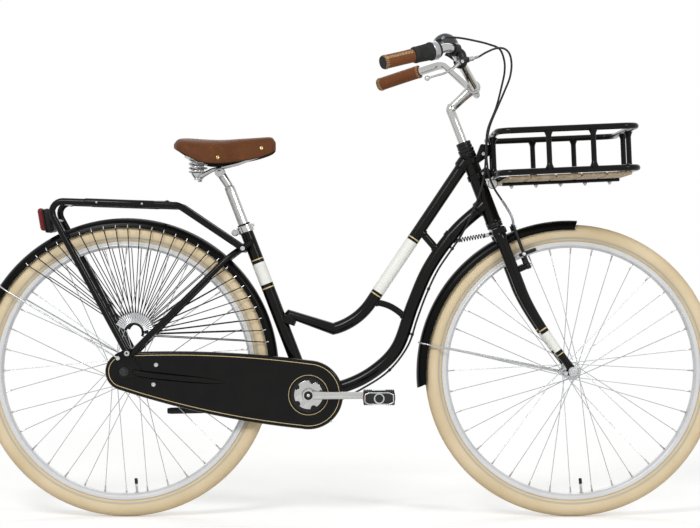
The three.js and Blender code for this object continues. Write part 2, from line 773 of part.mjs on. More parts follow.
function forkBlade(side) {
  const endSide = frontHubSpace / 2 + forkEndThickness / 2;
  const curve = new THREE.QuadraticBezierCurve3(
    onSteer(rakeStart, 0, side * bladeSide),
    onSteer(rakeTurn, 0, side * between(v(bladeSide, 0, 0), v(endSide, 0, 0), 1 / 2).x),
    onSteer(bladeEndHeight, forkRake * 0.93, side * endSide),
  );
  const steps = 4;
  const lower = curve.getPoints(steps);
  const stations = [onSteer(crownBottom + 4, 0, side * bladeSide), ...lower];
  const radii = stations.map((_, i) =>
    THREE.MathUtils.lerp(bladeRadius, bladeTipRadius, Math.max(i - 1, 0) / steps),
  );
  const end = plate(
    linkOutline(curve.getPoint(0.94), 8, frontAxle, 11, 3),
    side * endSide - forkEndThickness / 2,
    side * endSide + forkEndThickness / 2,
  );
  const boss = rod(
    onSteer(brakePivotHeight - 2, 0, side * brakePivotSide),
    onSteer(brakePivotHeight, brakePivotAhead - 1.2, side * brakePivotSide),
    7,
    6,
  );
  const stud = rod(
    onSteer(brakePivotHeight, 0, side * brakePivotSide),
    onSteer(brakePivotHeight, brakePivotAhead + 13, side * brakePivotSide),
    3.6,
    6,
  );
  const eyePlate = plate(
    linkOutline(frontAxle, 9, forkEye, 6, 3),
    side * endSide - forkEndThickness / 2,
    side * endSide + forkEndThickness / 2,
  );
  return [tapered(stations, radii), end, eyePlate, boss, stud];
}

const frontFenderCentre = frontAxle.clone().add(v(-5, 0, -6));
const springForkEnd = onSteer(crownTop - 9, -26, 0);
function forkGeometry() {
  const half = bladeSide + bladeRadius * 0.85;
  const crownOutline = [
    [-17, crownBottom], [-14, crownTop], [14, crownTop], [19, crownTop - 5], [19, crownBottom],
  ].map(([a, h]) => {
    const p = onSteer(h, a, 0);
    return new THREE.Vector2(p.x, p.z);
  });
  const steerer = rod(onSteer(crownBottom + 3, 0, 0), onSteer(headsetTop - 2, 0, 0), steererRadius, 10);
  const lug = rod(onSteer(crownTop - 9, 0, 0), springForkEnd, 4, 6);
  const toCrown = onSteer(crownBottom, 0, 0).sub(frontFenderCentre);
  const crownAngle = THREE.MathUtils.radToDeg(Math.atan2(toCrown.z, toCrown.x));
  const fenderTop = fenderOutside(frontFender, crownAngle) + restGap;
  const boss = rod(
    onSteer(crownBottom + 3, 0, 0),
    round(frontFenderCentre, fenderTop, crownAngle, 0),
    fenderBossRadius,
    5,
  );
  const body = join(
    plate(crownOutline, -half, half), steerer, lug, boss, ...sides.flatMap(forkBlade),
  );
  const quillBore = rod(
    onSteer(headTubeBottom + 80, 0, 0),
    onSteer(headsetTop + overrun, 0, 0),
    quillRadius + runGap * 2,
    10,
  );
  return cut(body, quillBore, across(frontAxle, -frontHubSpace, frontHubSpace, frontAxleRadius + runGap, 8));
}
part("fork", forkGeometry(), blackPaint);

// Steering spring between the down tube's lug and the crown's lug
const springEase = 6;
function steeringSpring() {
  const axis = springForkEnd.clone().sub(springFrameEnd).normalize();
  const a = springFrameEnd.clone().addScaledVector(axis, springEase);
  const b = springForkEnd.clone().addScaledVector(axis, -springEase);
  return coil("steering spring", a, b, springRadius, springWire, 6);
}
part("steering_spring", steeringSpring(), gunmetal);

// Stem and handlebar

const stemBendHeight = headTubeTop + 120.3;
const stemClampHeight = stemBendHeight + 28.7;
const stemClampAhead = 71.2;
const stemClampRadius = 17;
const stemClampHalf = 22;
const barCentre = onSteer(stemClampHeight, stemClampAhead, 0);
const barBend = barCentre.clone().add(v(-62.6, 206, 80.2));
const barEnd = barCentre.clone().add(v(-223.6, 292, 34.2));
const barBendRadius = 48;
const barStraight = 45;

const barCorners = (side) => [
  barCentre,
  v(barCentre.x, side * barStraight, barCentre.z),
  mirrored(barBend, side),
  mirrored(barEnd, side),
];
const barHalf = (side) => rounded(barCorners(side), barBendRadius, 3);
const gripLine = (side) => mirrored(barEnd, side).sub(mirrored(barBend, side)).normalize();
const onGrip = (distance, side) =>
  mirrored(barBend, side).addScaledVector(gripLine(side), distance);
const gripDown = (side) => {
  const line = gripLine(side);
  return v(0, 0, -1).addScaledVector(line, line.z).normalize();
};
const byGrip = (distance, down, side) => onGrip(distance, side).addScaledVector(gripDown(side), down);
const barLength = barEnd.distanceTo(barBend);
const gripBore = handlebarRadius + 0.8;
const wideBore = handlebarRadius + 1.4;

function handlebarGeometry() {
  const left = barHalf(1);
  const right = barHalf(-1).reverse().slice(0, -1);
  return pipe([...right, ...left], handlebarRadius, 8);
}
part("handlebar", handlebarGeometry(), chrome);

function stemGeometry() {
  const quill = [
    onSteer(headTubeBottom + 90, 0, 0),
    onSteer(stemBendHeight, 0, 0),
    onSteer(stemClampHeight, stemClampAhead, 0),
  ];
  const body = join(
    pipe(rounded(quill, 8, 1), quillRadius, 10),
    across(barCentre, -stemClampHalf, stemClampHalf, stemClampRadius, 12),
    across(onSteer(stemClampHeight - 20, stemClampAhead + 2, 0), -10, 10, 6, 6),
  );
  return cut(
    body,
    across(barCentre, -stemClampHalf - overrun, stemClampHalf + overrun, gripBore, 12),
  );
}
part("stem", stemGeometry(), alloy);

// Grips, twist shifter, brake lever and bell


const gripEndCap = 5;
const shifterStart = 58;
const shifterLength = 50;
const shifterRadius = 22;
const housingStart = 35;
const housingRadius = 20;
const leftGripLength = 118;

const gripGeometry = (length, side) => {
  const capEnd = barLength + gripEndCap;
  const body = rod(onGrip(barLength - length, side), onGrip(capEnd, side), gripRadius, 12);
  return cut(
    body,
    rod(onGrip(barLength - length - overrun, side), onGrip(barLength + restGap, side), gripBore, 12),
  );
};
part("grip_left", gripGeometry(leftGripLength, 1), brownLeather);
part(
  "grip_right",
  gripGeometry(barLength - shifterStart - shifterLength - runGap, -1),
  brownLeather,
);

const onBarRing = (low, high, outer) =>
  tubeRing(onGrip(0, -1), gripLine(-1), outer, gripBore, low, high, 12);
part("shifter_twist", onBarRing(shifterStart, shifterStart + shifterLength, shifterRadius), blackPlastic);

const shiftCableExit = byGrip(housingStart - 10, -22, -1);
const shiftOutlet = shiftCableExit.clone().sub(byGrip(housingStart + 14, -16, -1)).normalize();
function shifterHousingGeometry() {
  const ring = rod(
    onGrip(housingStart, -1), onGrip(shifterStart - runGap, -1), housingRadius, 8,
  );
  const outlet = rod(
    byGrip(housingStart + 14, -16, -1),
    shiftCableExit.clone().addScaledVector(gripLine(-1), restGap),
    4.5,
    6,
  );
  const bar = pipe(barHalf(-1).slice(-2), wideBore, 8);
  return cut(join(ring, outlet), bar);
}
part("shifter_housing", shifterHousingGeometry(), gunmetal);

const leverPivot = byGrip(-14, 40, -1);
const leverTip = byGrip(84, 59, -1);
const leverAxis = gripDown(-1).cross(gripLine(-1)).normalize();
const pivotHalf = 8;
const leverHubRadius = 7;
const leverSlotGap = 0.65;
const bracketRadius = 16.5;

function barAtBend(distance) {
  const stations = barHalf(-1);
  const middle = stations[stations.length - 4];
  const tangent = stations[stations.length - 3].clone().sub(middle).normalize();
  return { place: middle.clone().addScaledVector(tangent, distance), tangent };
}

const brakeCableExit = leverPivot.clone().add(v(34, 6, 10));
const brakeOutlet = v(28, 4, 7).normalize();
function brakeBracketGeometry() {
  const { place, tangent } = barAtBend(-8);
  const band = rod(
    place.clone().addScaledVector(tangent, -9),
    place.clone().addScaledVector(tangent, 9),
    bracketRadius,
    8,
  );
  const arm = rod(place, leverPivot.clone().add(v(8, 2, 4)), 11, 6);
  const barrel = rod(leverPivot.clone().add(v(6, 2, 3)), brakeCableExit, 6, 5);
  const bar = pipe(barHalf(-1).slice(1), wideBore, 8);
  const slot = rod(
    leverPivot.clone().addScaledVector(leverAxis, -pivotHalf - overrun * 2),
    leverPivot.clone().addScaledVector(leverAxis, pivotHalf + overrun * 2),
    leverHubRadius + leverSlotGap,
    10,
  );
  return cut(join(band, arm, barrel), bar, slot);
}
part("brake_bracket", brakeBracketGeometry(), blackPlastic);

function brakeLeverGeometry() {
  const stations = [
    leverPivot, byGrip(8, 50, -1), byGrip(34, 57, -1), byGrip(62, 58, -1), leverTip,
  ];
  const blade = tapered(stations, [6, 6, 5, 4.4, 4], 5);
  const ball = new THREE.SphereGeometry(6.5, 6, 4).translate(leverTip.x, leverTip.y, leverTip.z);
  const hub = rod(
    leverPivot.clone().addScaledVector(leverAxis, -pivotHalf),
    leverPivot.clone().addScaledVector(leverAxis, pivotHalf),
    leverHubRadius,
    10,
  );
  return join(blade, ball, hub);
}
part("brake_lever", brakeLeverGeometry(), gunmetal);

// Bell: a dome on a base that is clamped on the bar's rising stretch
const bellRadius = 33;
const bellHeight = 38;
const bellWall = 2;
const bellBarShare = 0.62;
const bellBehind = 36;
const bellAbove = 24;
const bellClampHalf = 6;
const bellClampRadius = 16;
const bellBar = between(barCorners(-1)[1], barCorners(-1)[2], bellBarShare);
const bellPlace = bellBar.clone().add(v(-bellBehind, 0, bellAbove));
const vertical = v(0, 0, 1);

function bellDome() {
  const steps = 4;
  const arc = (radius, height, reverse) =>
    Array.from({ length: steps + 1 }, (_, i) => {
      const angle = (Math.PI / 2) * (reverse ? 1 - i / steps : i / steps);
      return [i === (reverse ? 0 : steps) ? 0 : radius * Math.cos(angle), height * Math.sin(angle)];
    });
  const outer = arc(bellRadius, bellHeight, false);
  const inner = arc(bellRadius - bellWall, bellHeight - bellWall, true);
  return turned([...inner, ...outer], bellPlace, vertical, 12);
}

const bellPinLength = 12;
const bellPin = bellPlace.clone().add(v(-12, -14, -16));
const bellBaseRadius = 27;
const bellBaseHalf = 2;
const bellPostRadius = 3;
function bellBase() {
  const clampLine = barCorners(-1)[2].sub(barCorners(-1)[1]).normalize();
  const half = clampLine.clone().multiplyScalar(bellClampHalf);
  const clamp = rod(bellBar.clone().sub(half), bellBar.clone().add(half), bellClampRadius, 8);
  const disc = turned(
    [
      [0, -bellBaseHalf * 3], [bellBaseRadius, -bellBaseHalf * 3],
      [bellBaseRadius, -bellBaseHalf], [0, -bellBaseHalf],
    ],
    bellPlace,
    vertical,
    10,
  );
  const post = turned(
    [
      [0, -bellBaseHalf * 2], [bellPostRadius, -bellBaseHalf * 2],
      [bellPostRadius, bellHeight - bellWall * 2], [0, bellHeight - bellWall * 2],
    ],
    bellPlace,
    vertical,
    6,
  );
  const arm = rod(bellBar, bellPlace.clone().add(v(0, 0, -bellBaseHalf * 2.5)), 6, 6);
  const pin = rod(bellPin, bellPin.clone().add(v(0, 0, bellPinLength)), bellPostRadius, 6);
  return cut(join(clamp, disc, post, arm, pin), rod(barCorners(-1)[1], barCorners(-1)[2], wideBore, 8));
}
part("bell_dome", bellDome(), gunmetal);
part("bell_base", bellBase(), blackPlastic);

// The bell's thumb lever turns on a pin under the base.
const bellLeverHigh = bellPlace.z - bellBaseHalf * 3 - restGap;
function bellLever() {
  const tip = bellPin.clone().add(v(-12, -22, 0));
  const low = bellPin.z + 2;
  const flat = (p) => new THREE.Vector3(p.x, 0, p.y);
  const outline = linkOutline(flat(bellPin), 7, flat(tip), 5, 5);
  const body = new THREE.ExtrudeGeometry(new THREE.Shape(outline), {
    depth: bellLeverHigh - low,
    bevelEnabled: false,
  }).translate(0, 0, low);
  const bore = rod(
    v(bellPin.x, bellPin.y, low - overrun), v(bellPin.x, bellPin.y, bellPlace.z), bellPostRadius + runGap, 6,
  );
  return cut(body, bore);
}
part("bell_lever", bellLever(), chrome);


// Seat post and saddle

const postInTube = 170;
const postReach = 573;
const saddleClamp = onSeat(postReach + 6.5, -10, 0);
const postTopRadius = 11;
const clampRadius = 12;
const clampHalf = 29;

const clampAbove = 6;
const postHead = saddleClamp.clone().add(v(0, 0, clampAbove));
part(
  "seat_post",
  join(
    rod(onSeat(seatTubeLength - postInTube, 0, 0), onSeat(postReach - 32, 0, 0), seatPostRadius, 10),
    rod(onSeat(postReach - 40, 0, 0), postHead, postTopRadius, 8),
    across(postHead, -postTopRadius, postTopRadius, postTopRadius, 8),
  ),
  chrome,
);

// Places on the saddle count from its clamp: forward, sideways and up.
const bySaddle = (x, y, z) => saddleClamp.clone().add(v(x, y, z));
const saddleRear = -109.4;
const leather = 4;
const saddleTop = 90;

// Stations from the tail to the nose, in shares of the saddle's length, half width and top height:
// place, half width, top, lower edge.
const saddleShares = [
  [0, 0.55, 0.86, 0.7],
  [0.05, 0.86, 0.975, 0.6],
  [0.14, 1, 1, 0.46],
  [0.29, 0.97, 0.985, 0.28],
  [0.44, 0.78, 0.97, 0.26],
  [0.64, 0.47, 0.985, 0.33],
  [0.84, 0.34, 1.02, 0.45],
  [0.95, 0.29, 1.03, 0.56],
  [0.99, 0.2, 0.92, 0.64],
];
const saddleRingPoints = 10;
function saddleRings(wall, drop) {
  return saddleShares.map(([place, width, top, edge]) => {
    const half = (width * saddleWidth) / 2 - wall;
    const high = top * saddleTop - wall;
    const low = edge * saddleTop - drop;
    const x = saddleRear + place * saddleLength;
    return Array.from({ length: saddleRingPoints }, (_, i) => {
      const angle = (Math.PI * i) / (saddleRingPoints - 1);
      const side = Math.sign(Math.cos(angle)) * Math.abs(Math.cos(angle)) ** 0.8;
      return bySaddle(x, half * side, low + (high - low) * Math.sin(angle) ** 0.55);
    });
  });
}
const cantleThickness = 3;
const cantleHeight = 42;
const nosePlate = 60;
const springX = -54;
const springSide = 60;
function saddleCover() {
  const inner = saddleRings(leather, saddleTop).slice(1, -1);
  const shell = cut(loft(saddleRings(0, 0)), loft(inner));
  const cantle = kept(
    block(bySaddle(springX, 0, cantleHeight), v(58, saddleWidth, cantleThickness)),
    loft(saddleRings(leather / 2, 0)),
  );
  const nose = kept(
    block(bySaddle(118, 0, nosePlate), v(30, saddleWidth, cantleThickness)),
    loft(saddleRings(leather / 2, 0)),
  );
  return join(shell, cantle, nose);
}
part("saddle_cover", saddleCover(), brownLeather);

const railRadius = 3.5;
const saddleSpringRadius = 17;
const saddleSpringWire = 2.6;
const springSeat = 2;
const coilLead = 0.5; // how far a coil's straight end drops below its first curl
const springLow = springSeat + restGap + coilLead;
const springHigh = cantleHeight - cantleThickness / 2 - restGap;
function saddleRails() {
  const rail = (side) =>
    pipe(
      rounded(
        [
          bySaddle(116, side * 9, cantleHeight + 12),
          bySaddle(42, side * 20, 27),
          bySaddle(-20, side * 24, 12),
          bySaddle(springX, side * (springSide - 14), -7),
        ],
        20,
        1,
      ),
      railRadius,
      4,
    );
  const seat = (side) =>
    turned([[0, -11], [12, springSeat], [0, springSeat]], bySaddle(springX, side * springSide, 0),
      vertical, 6);
  const noseHeight = nosePlate - cantleThickness / 2 - restGap - railRadius;
  const noseBar = rod(bySaddle(116, -10, noseHeight), bySaddle(116, 10, noseHeight), railRadius, 4);
  const rearBar = rod(
    bySaddle(springX, -springSide, -7), bySaddle(springX, springSide, -7), railRadius, 4,
  );
  const clamps = sides.map((side) => {
    const [low, high] = sideSpan(side, postTopRadius + runGap, clampHalf);
    return across(postHead, low, high, clampRadius, 10);
  });
  return join(...sides.map(rail), ...sides.map(seat), noseBar, rearBar, ...clamps);
}
part("saddle_rails", saddleRails(), steel);

sides.forEach((side) => {
  const low = bySaddle(springX, side * springSide, springLow + saddleSpringWire);
  const high = bySaddle(springX, side * springSide, springHigh - saddleSpringWire - coilLead);
  const name = "saddle_spring_" + sideName(side);
  part(name, coil(name, low, high, saddleSpringRadius, saddleSpringWire, 3), steel);
});

// Rear rack: two side tubes from the seat stays back over the wheel and down to the dropouts

const rackRadius = 8;
const rackHalf = 70;
const rackHeight = wheelRadius + 410;
const rackRear = rearAxle.x - 191.5;
const rackFront = rearAxle.x + 132.5;
const rackRowRear = rearAxle.x - 144.5;
const rackRowFront = rearAxle.x + 105.5;
const rackLegSide = rearHubSpace / 2 + dropoutThickness + restGap + rackRadius;

function rackGeometry() {
  const side = (s) => {
    const low = v(rackEye.x, s * rackLegSide, rackEye.z);
    const corners = [
      v(rackBolt.x, s * (rackLugHalf + restGap + rackRadius), rackBolt.z),
      v(rackFront, s * rackHalf, rackHeight - 6),
      v(rackRear, s * rackHalf, rackHeight + 5),
      low,
    ];
    return pipe(rounded(corners, 26, 2), rackRadius, 6);
  };
  const eye = (s) => {
    const ends = [s * (rackLugHalf + restGap), s * (rackLugHalf + rackRadius * 2)].sort((a, b) => a - b);
    return across(rackBolt, ends[0], ends[1], rackRadius + 2, 6);
  };
  const rows = [rackRowRear, rackRowFront].map((x) =>
    rod(v(x, -rackHalf, rackHeight), v(x, rackHalf, rackHeight), rackRadius * 0.6, 4),
  );
  const length = [-26, 26].map((y) =>
    rod(v(rackRowFront, y, rackHeight + 1), v(rackRowRear, y, rackHeight + 4), rackRadius * 0.6, 4),
  );
  const lamp = rod(v(lampBarX, -rackHalf, lampBarZ), v(lampBarX, rackHalf, lampBarZ), rackRadius * 0.7, 5);
  return join(...sides.map(side), ...sides.map(eye), ...rows, ...length, lamp);
}
const lampBarX = rearAxle.x - 167.5;
const lampBarZ = wheelRadius + 367;
part("rear_rack", rackGeometry(), blackPaint);

const lampTilt = rad(-10);
const lampHeight = 58;
const lampWidth = 92;
const lampDepth = 22;
const lensDepth = 14;
const lampBack = lampBarX - rackRadius * 0.7 - restGap;
const lampBody = v(lampBack - lampDepth / 2 - 5, 0, lampBarZ + 3);
const lampLens = lampBody
  .clone()
  .add(v(-(lampDepth + lensDepth) / 2 - restGap, 0, 0).applyAxisAngle(lateral, -lampTilt));
part(
  "tail_light_housing",
  join(
    block(lampBody, v(lampDepth, lampWidth, lampHeight), lampTilt),
    block(v(lampBack - 4, 0, lampBarZ), v(8, 40, 10)),
  ),
  blackPlastic,
);
part("tail_light_lens", block(lampLens, v(lensDepth, lampWidth - 6, lampHeight - 6), lampTilt), redLens);

// Fenders: a thin arched section swept round the wheel, with wire stays

function fender(centre, { first, last, steps }, slant) {
  const rings = Array.from({ length: steps + 1 }, (_, i) => {
    const angle = first + ((last - first) * i) / steps;
    const lean = (drop) => {
      if (i === 0) return slant[0] * drop;
      return i === steps ? slant[1] * drop : 0;
    };
    const outer = fenderShares.map(([w, d]) =>
      round(centre, fenderRadius - d * fenderDepth, angle + lean(d), (w * fenderWidth) / 2),
    );
    const inner = fenderShares
      .map(([w, d]) =>
        round(
          centre,
          fenderRadius - fenderWall - d * (fenderDepth - fenderWall),
          angle + lean(d),
          w * (fenderWidth / 2 - fenderWall * Math.min(1, d * 2)),
        ),
      )
      .reverse();
    return [...outer, ...inner];
  });
  return loft(rings);
}
part("rear_fender", fender(rearAxle, rearFender, [0, 0]), blackPaint);
part("front_fender", fender(frontFenderCentre, frontFender, [1.3, -1.2]), blackPaint);

// A wire stay: up one side, over the outside of the fender, and down the other side.
const stayRadius = 2;
const stayEyeRadius = 4.4;
const stayEyeThickness = 5;
// Shares of the fender's half width and of its depth that the wire rests on.
const stayShares = [[1, 0.95], [0.84, 0.3], [0.4, 0]];
function fenderStay(eye, wall, centre, ring, degrees) {
  const offset = stayRadius + restGap;
  const fall = fenderRadius - fenderOutside(ring, degrees);
  const low = (side) => v(eye.x, side * (wall + restGap + stayEyeThickness * 0.7), eye.z);
  const over = (side) =>
    stayShares.map(([w, d]) =>
      round(
        centre,
        fenderRadius - fall - d * fenderDepth + offset * (1 - d),
        degrees,
        side * ((w * fenderWidth) / 2 + offset * w),
      ),
    );
  const route = [low(-1), ...over(-1), ...over(1).reverse(), low(1)];
  const ends = sides.map((side) => {
    const faces = [side * (wall + restGap), side * (wall + restGap + stayEyeThickness)];
    faces.sort((a, b) => a - b);
    return across(eye, faces[0], faces[1], stayEyeRadius, 6);
  });
  return join(pipe(route, stayRadius, 5), ...ends);
}
part(
  "rear_fender_stay",
  fenderStay(fenderEye, rearHubSpace / 2 + dropoutThickness, rearAxle, rearFender, 146),
  steel,
);
part(
  "front_fender_stay",
  fenderStay(
    forkEye, frontHubSpace / 2 + forkEndThickness, frontFenderCentre, frontFender, 168.5,
  ),
  steel,
);

// Skirt guards: strings from the fender's edge to a half ring beside each seat stay

const guardFirst = 11.6;
const guardLast = 132.6;
const guardCount = 25;
const guardSide = fenderWidth / 2 + 2.2;
const guardStringRadius = 0.9;
const guardRing = v(rearAxle.x + 22.5, 0, rearAxle.z + 94);
const guardRingOuter = 32;
const guardRingInner = 16;
const guardRingSide = 36;
const guardRingThickness = 4;

function skirtGuard(side) {
  const strings = Array.from({ length: guardCount + 1 }, (_, i) => {
    const angle = guardFirst + ((guardLast - guardFirst) * i) / guardCount;
    const hook = round(rearAxle, fenderRadius - fenderDepth - 1, angle, side * guardSide);
    const centre = v(guardRing.x, side * (guardRingSide + guardRingThickness / 2), guardRing.z);
    const spread = centre.clone().add(
      round(v(0, 0, 0), guardRingOuter - 4, -20 + (180 * i) / guardCount, 0),
    );
    return rod(spread, hook, guardStringRadius, 3);
  });
  const steps = 5;
  const arc = (radius, reverse) =>
    Array.from({ length: steps + 1 }, (_, i) => {
      const angle = rad(-25 + 190 * (reverse ? 1 - i / steps : i / steps));
      return new THREE.Vector2(
        guardRing.x + radius * Math.cos(angle),
        guardRing.z + radius * Math.sin(angle),
      );
    });
  const ends = [side * guardRingSide, side * (guardRingSide + guardRingThickness)].sort((a, b) => a - b);
  const ring = plate([...arc(guardRingOuter, false), ...arc(guardRingInner, true)], ends[0], ends[1]);
  const rim = Array.from({ length: 2 }, (_, i) => {
    const shares = [guardFirst, guardLast];
    const angle = shares[i];
    return round(
      rearAxle, fenderRadius - fenderDepth - 1, angle, side * (fenderWidth / 2 + restGap),
    );
  });
  const hooks = rim.map((p) => rod(p, v(p.x, side * (guardSide + 1), p.z), 2, 6));
  const tab = cut(
    rod(
      v(guardRing.x + 24, side * (guardRingSide + 2), guardRing.z + 2),
      v(guardRing.x + 44, side * 60, guardRing.z + 4),
      4,
      8,
    ),
    pipe(seatStayRoute.map((p) => mirrored(p, side)), seatStayRadius + 1, 6),
  );
  const bodies = solidOf(tab).decompose();
  bodies.sort((a, b) => side * (a.boundingBox().min[1] - b.boundingBox().min[1]));
  return join(ring, geometryOf(bodies[0]), ...strings, ...hooks);
}
sides.forEach((side) => part("skirt_guard_" + sideName(side), skirtGuard(side), blackCord));

// Drive: chain case halves, chain, chainring, sprocket, cranks and pedals, kickstand

const caseFrontRadius = 83.6;
const caseRearRadius = 46;
const caseTopBulge = 10;
const caseBottomBulge = 12;
const caseWall = 1.5;
const caseOuterFace = -(rearHubSpace / 2) + 2 * restGap;
const caseInnerFace = -36.5;
const caseOpening = 45; // radius of the window round the chainring's spider
const caseStayGap = 1;

function caseOutline(inset) {
  const span = rearAxle.clone().sub(crankCentre);
  const heading = Math.atan2(span.z, span.x);
  const lean = Math.acos((caseFrontRadius - caseRearRadius) / span.length());
  const top = heading - lean;
  const bottom = heading + lean;
  const arc = (centre, radius, first, last, steps) =>
    Array.from({ length: steps + 1 }, (_, i) => {
      const angle = first + ((last - first) * i) / steps;
      const reach = radius - inset;
      return new THREE.Vector2(
        centre.x + reach * Math.cos(angle),
        centre.z + reach * Math.sin(angle),
      );
    });
  const bulged = (a, b, bulge, angle) =>
    [1 / 4, 1 / 2, 3 / 4].map((share) => {
      const lift = 4 * bulge * share * (1 - share);
      return a.clone().lerp(b, share).add(
        new THREE.Vector2(lift * Math.cos(angle), lift * Math.sin(angle)),
      );
    });
  const front = arc(crankCentre, caseFrontRadius, bottom - 2 * Math.PI, top, 11);
  const rear = arc(rearAxle, caseRearRadius, top, bottom, 6);
  return [
    ...front,
    ...bulged(front[front.length - 1], rear[0], caseTopBulge, top),
    ...rear,
    ...bulged(rear[rear.length - 1], front[0], caseBottomBulge, bottom),
  ];
}

const rightRoute = (route) => route.map((p) => mirrored(p, -1));
const stayTools = () => [
  pipe(rightRoute(chainStayRoute), chainStayRadius + caseStayGap, 6),
  pipe(rightRoute(seatStayRoute), seatStayRadius + caseStayGap, 6),
];

function caseHalf(face, parting, holes) {
  const wall = face + Math.sign(parting - face) * caseWall;
  const ends = [face, parting].sort((a, b) => a - b);
  const hollow = [wall, parting + Math.sign(parting - face) * overrun].sort((a, b) => a - b);
  return cut(
    plate(caseOutline(0), ends[0], ends[1]),
    plate(caseOutline(caseWall), hollow[0], hollow[1]),
    ...holes,
    ...stayTools(),
  );
}
const caseHole = (centre, face, radius, facets) =>
  across(centre, face - overrun, face + overrun, radius, facets);
part(
  "chain_case_outer",
  caseHalf(caseOuterFace, -chainLine - restGap / 2, [
    caseHole(crankCentre, caseOuterFace, caseOpening, 14),
    caseHole(rearAxle, caseOuterFace, nutRadius, 8),
  ]),
  blackPaint,
);
part(
  "chain_case_inner",
  caseHalf(caseInnerFace, -chainLine + restGap / 2, [
    caseHole(crankCentre, caseInnerFace, bbShellRadius + 3, 8),
    caseHole(rearAxle, caseInnerFace, rearHub.core + 6, 10),
  ]),
  blackPaint,
);

const ringPitchRadius = pitch / (2 * Math.sin(Math.PI / ringTeeth));
const sprocketPitchRadius = pitch / (2 * Math.sin(Math.PI / sprocketTeeth));
const chainSeat = 1; // the chain's inner edge stands this far off the wheels' bodies
const ringBody = ringPitchRadius - chainHalfHeight - restGap - chainSeat;
const sprocketBody = sprocketPitchRadius - chainHalfHeight - restGap - chainSeat;

const chainLoop = (offset, steps) =>
  linkOutline(crankCentre, ringPitchRadius + offset, rearAxle, sprocketPitchRadius + offset, steps);
part(
  "chain",
  cut(
    plate(chainLoop(chainHalfHeight, 10), -chainLine - chainWidth / 2, -chainLine + chainWidth / 2),
    plate(chainLoop(-chainHalfHeight, 12), -chainLine - chainWidth, -chainLine + chainWidth),
  ),
  steel,
);

const ringThickness = 4;
const ringInside = 55;
const spiderHub = 22;
const spiderArms = 5;
const spiderArmWidth = 10;
const bossRadius = 16;
function chainringGeometry() {
  const half = ringThickness / 2;
  const ring = tubeRing(v(0, -chainLine, 0), lateral, ringBody, ringInside, -half, half, 18);
  const hub = across(v(0, 0, 0), -chainLine - half, -chainLine + half, spiderHub, 10);
  const arms = Array.from({ length: spiderArms }, (_, i) => {
    const reach = (spiderHub + ringInside) / 2;
    return new THREE.BoxGeometry(ringInside - spiderHub + spiderArmWidth, ringThickness, spiderArmWidth)
      .translate(reach, -chainLine, 0)
      .rotateY((2 * Math.PI * i) / spiderArms + Math.PI / 2);
  });
  const bore = across(v(0, 0, 0), -chainLine - ringThickness, -chainLine + ringThickness,
    bossRadius + restGap * 2, 10);
  return cut(join(ring, hub, ...arms), bore);
}
part("chainring", chainringGeometry(), alloy, crankCentre);

const sprocketThickness = 3;
const sprocketBoss = 14;
function sprocketGeometry() {
  const inner = -rearHub.shellHalf - runGap;
  const near = -chainLine + sprocketThickness / 2;
  const far = near - sprocketThickness;
  const profile = [
    [rearHub.bore, inner], [sprocketBoss, inner], [sprocketBoss, near], [sprocketBody, near],
    [sprocketBody, far], [rearHub.bore, far], [rearHub.bore, inner],
  ];
  return turned(profile, v(0, 0, 0), lateral, 14);
}
part("rear_sprocket", sprocketGeometry(), steel, rearAxle);

const crankAxleHalf = 74;
const bossStart = 42;
const armIn = 66;
const armOut = 79;
const armRootRadius = 15;
const armTipRadius = 11;
const pedalAxleRadius = 6;
const pedalAxleEnd = 185;
part(
  "crank_axle",
  across(v(0, 0, 0), -crankAxleHalf, crankAxleHalf, crankAxleRadius, 10),
  steel,
  crankCentre,
);

const pedalPlace = (side) => crankCentre.clone().add(v(-side * crankLength, 0, 0));

function crankGeometry(side) {
  const far = v(-side * crankLength, 0, 0);
  const [armLow, armHigh] = sideSpan(side, armIn, armOut);
  const [bossLow, bossHigh] = sideSpan(side, bossStart, armOut);
  const [pinLow, pinHigh] = sideSpan(side, armIn + 1, pedalAxleEnd);
  const [boreLow, boreHigh] = sideSpan(side, bossStart - overrun, crankAxleHalf + restGap);
  return cut(
    join(
      plate(linkOutline(v(0, 0, 0), armRootRadius, far, armTipRadius, 6), armLow, armHigh),
      across(v(0, 0, 0), bossLow, bossHigh, bossRadius, 10),
      across(far, pinLow, pinHigh, pedalAxleRadius, 8),
    ),
    across(v(0, 0, 0), boreLow, boreHigh, crankAxleRadius + restGap, 10),
  );
}
sides.forEach((side) => part("crank_" + sideName(side), crankGeometry(side), alloy, crankCentre));

const pedalLength = 78;
const pedalHeight = 33;
const pedalIn = 93;
const pedalOut = 187;
const pedalBlock = 25;
const pedalBarrel = 10;
const pedalPlateHeight = 26;
const pedalPlateThickness = 4;

function pedalGeometry(side) {
  const [low, high] = sideSpan(side, pedalIn, pedalOut);
  const middle = (low + high) / 2;
  const blocks = sides.map((end) =>
    block(
      v((end * (pedalLength - pedalBlock)) / 2, middle, 0),
      v(pedalBlock, high - low - pedalPlateThickness, pedalHeight),
    ),
  );
  const plates = [low + pedalPlateThickness / 2, high - pedalPlateThickness / 2].map((y) =>
    block(v(0, y, 0), v(pedalLength - pedalBlock / 2, pedalPlateThickness, pedalPlateHeight)),
  );
  const barrel = across(v(0, 0, 0), low, high, pedalBarrel, 8);
  const [boreLow, boreHigh] = sideSpan(side, pedalIn - overrun, pedalAxleEnd + restGap);
  return cut(
    join(...blocks, ...plates, barrel),
    across(v(0, 0, 0), boreLow, boreHigh, pedalAxleRadius + runGap * 2, 8),
  );
}
sides.forEach((side) =>
  part("pedal_" + sideName(side), pedalGeometry(side), blackRubber, pedalPlace(side)),
);

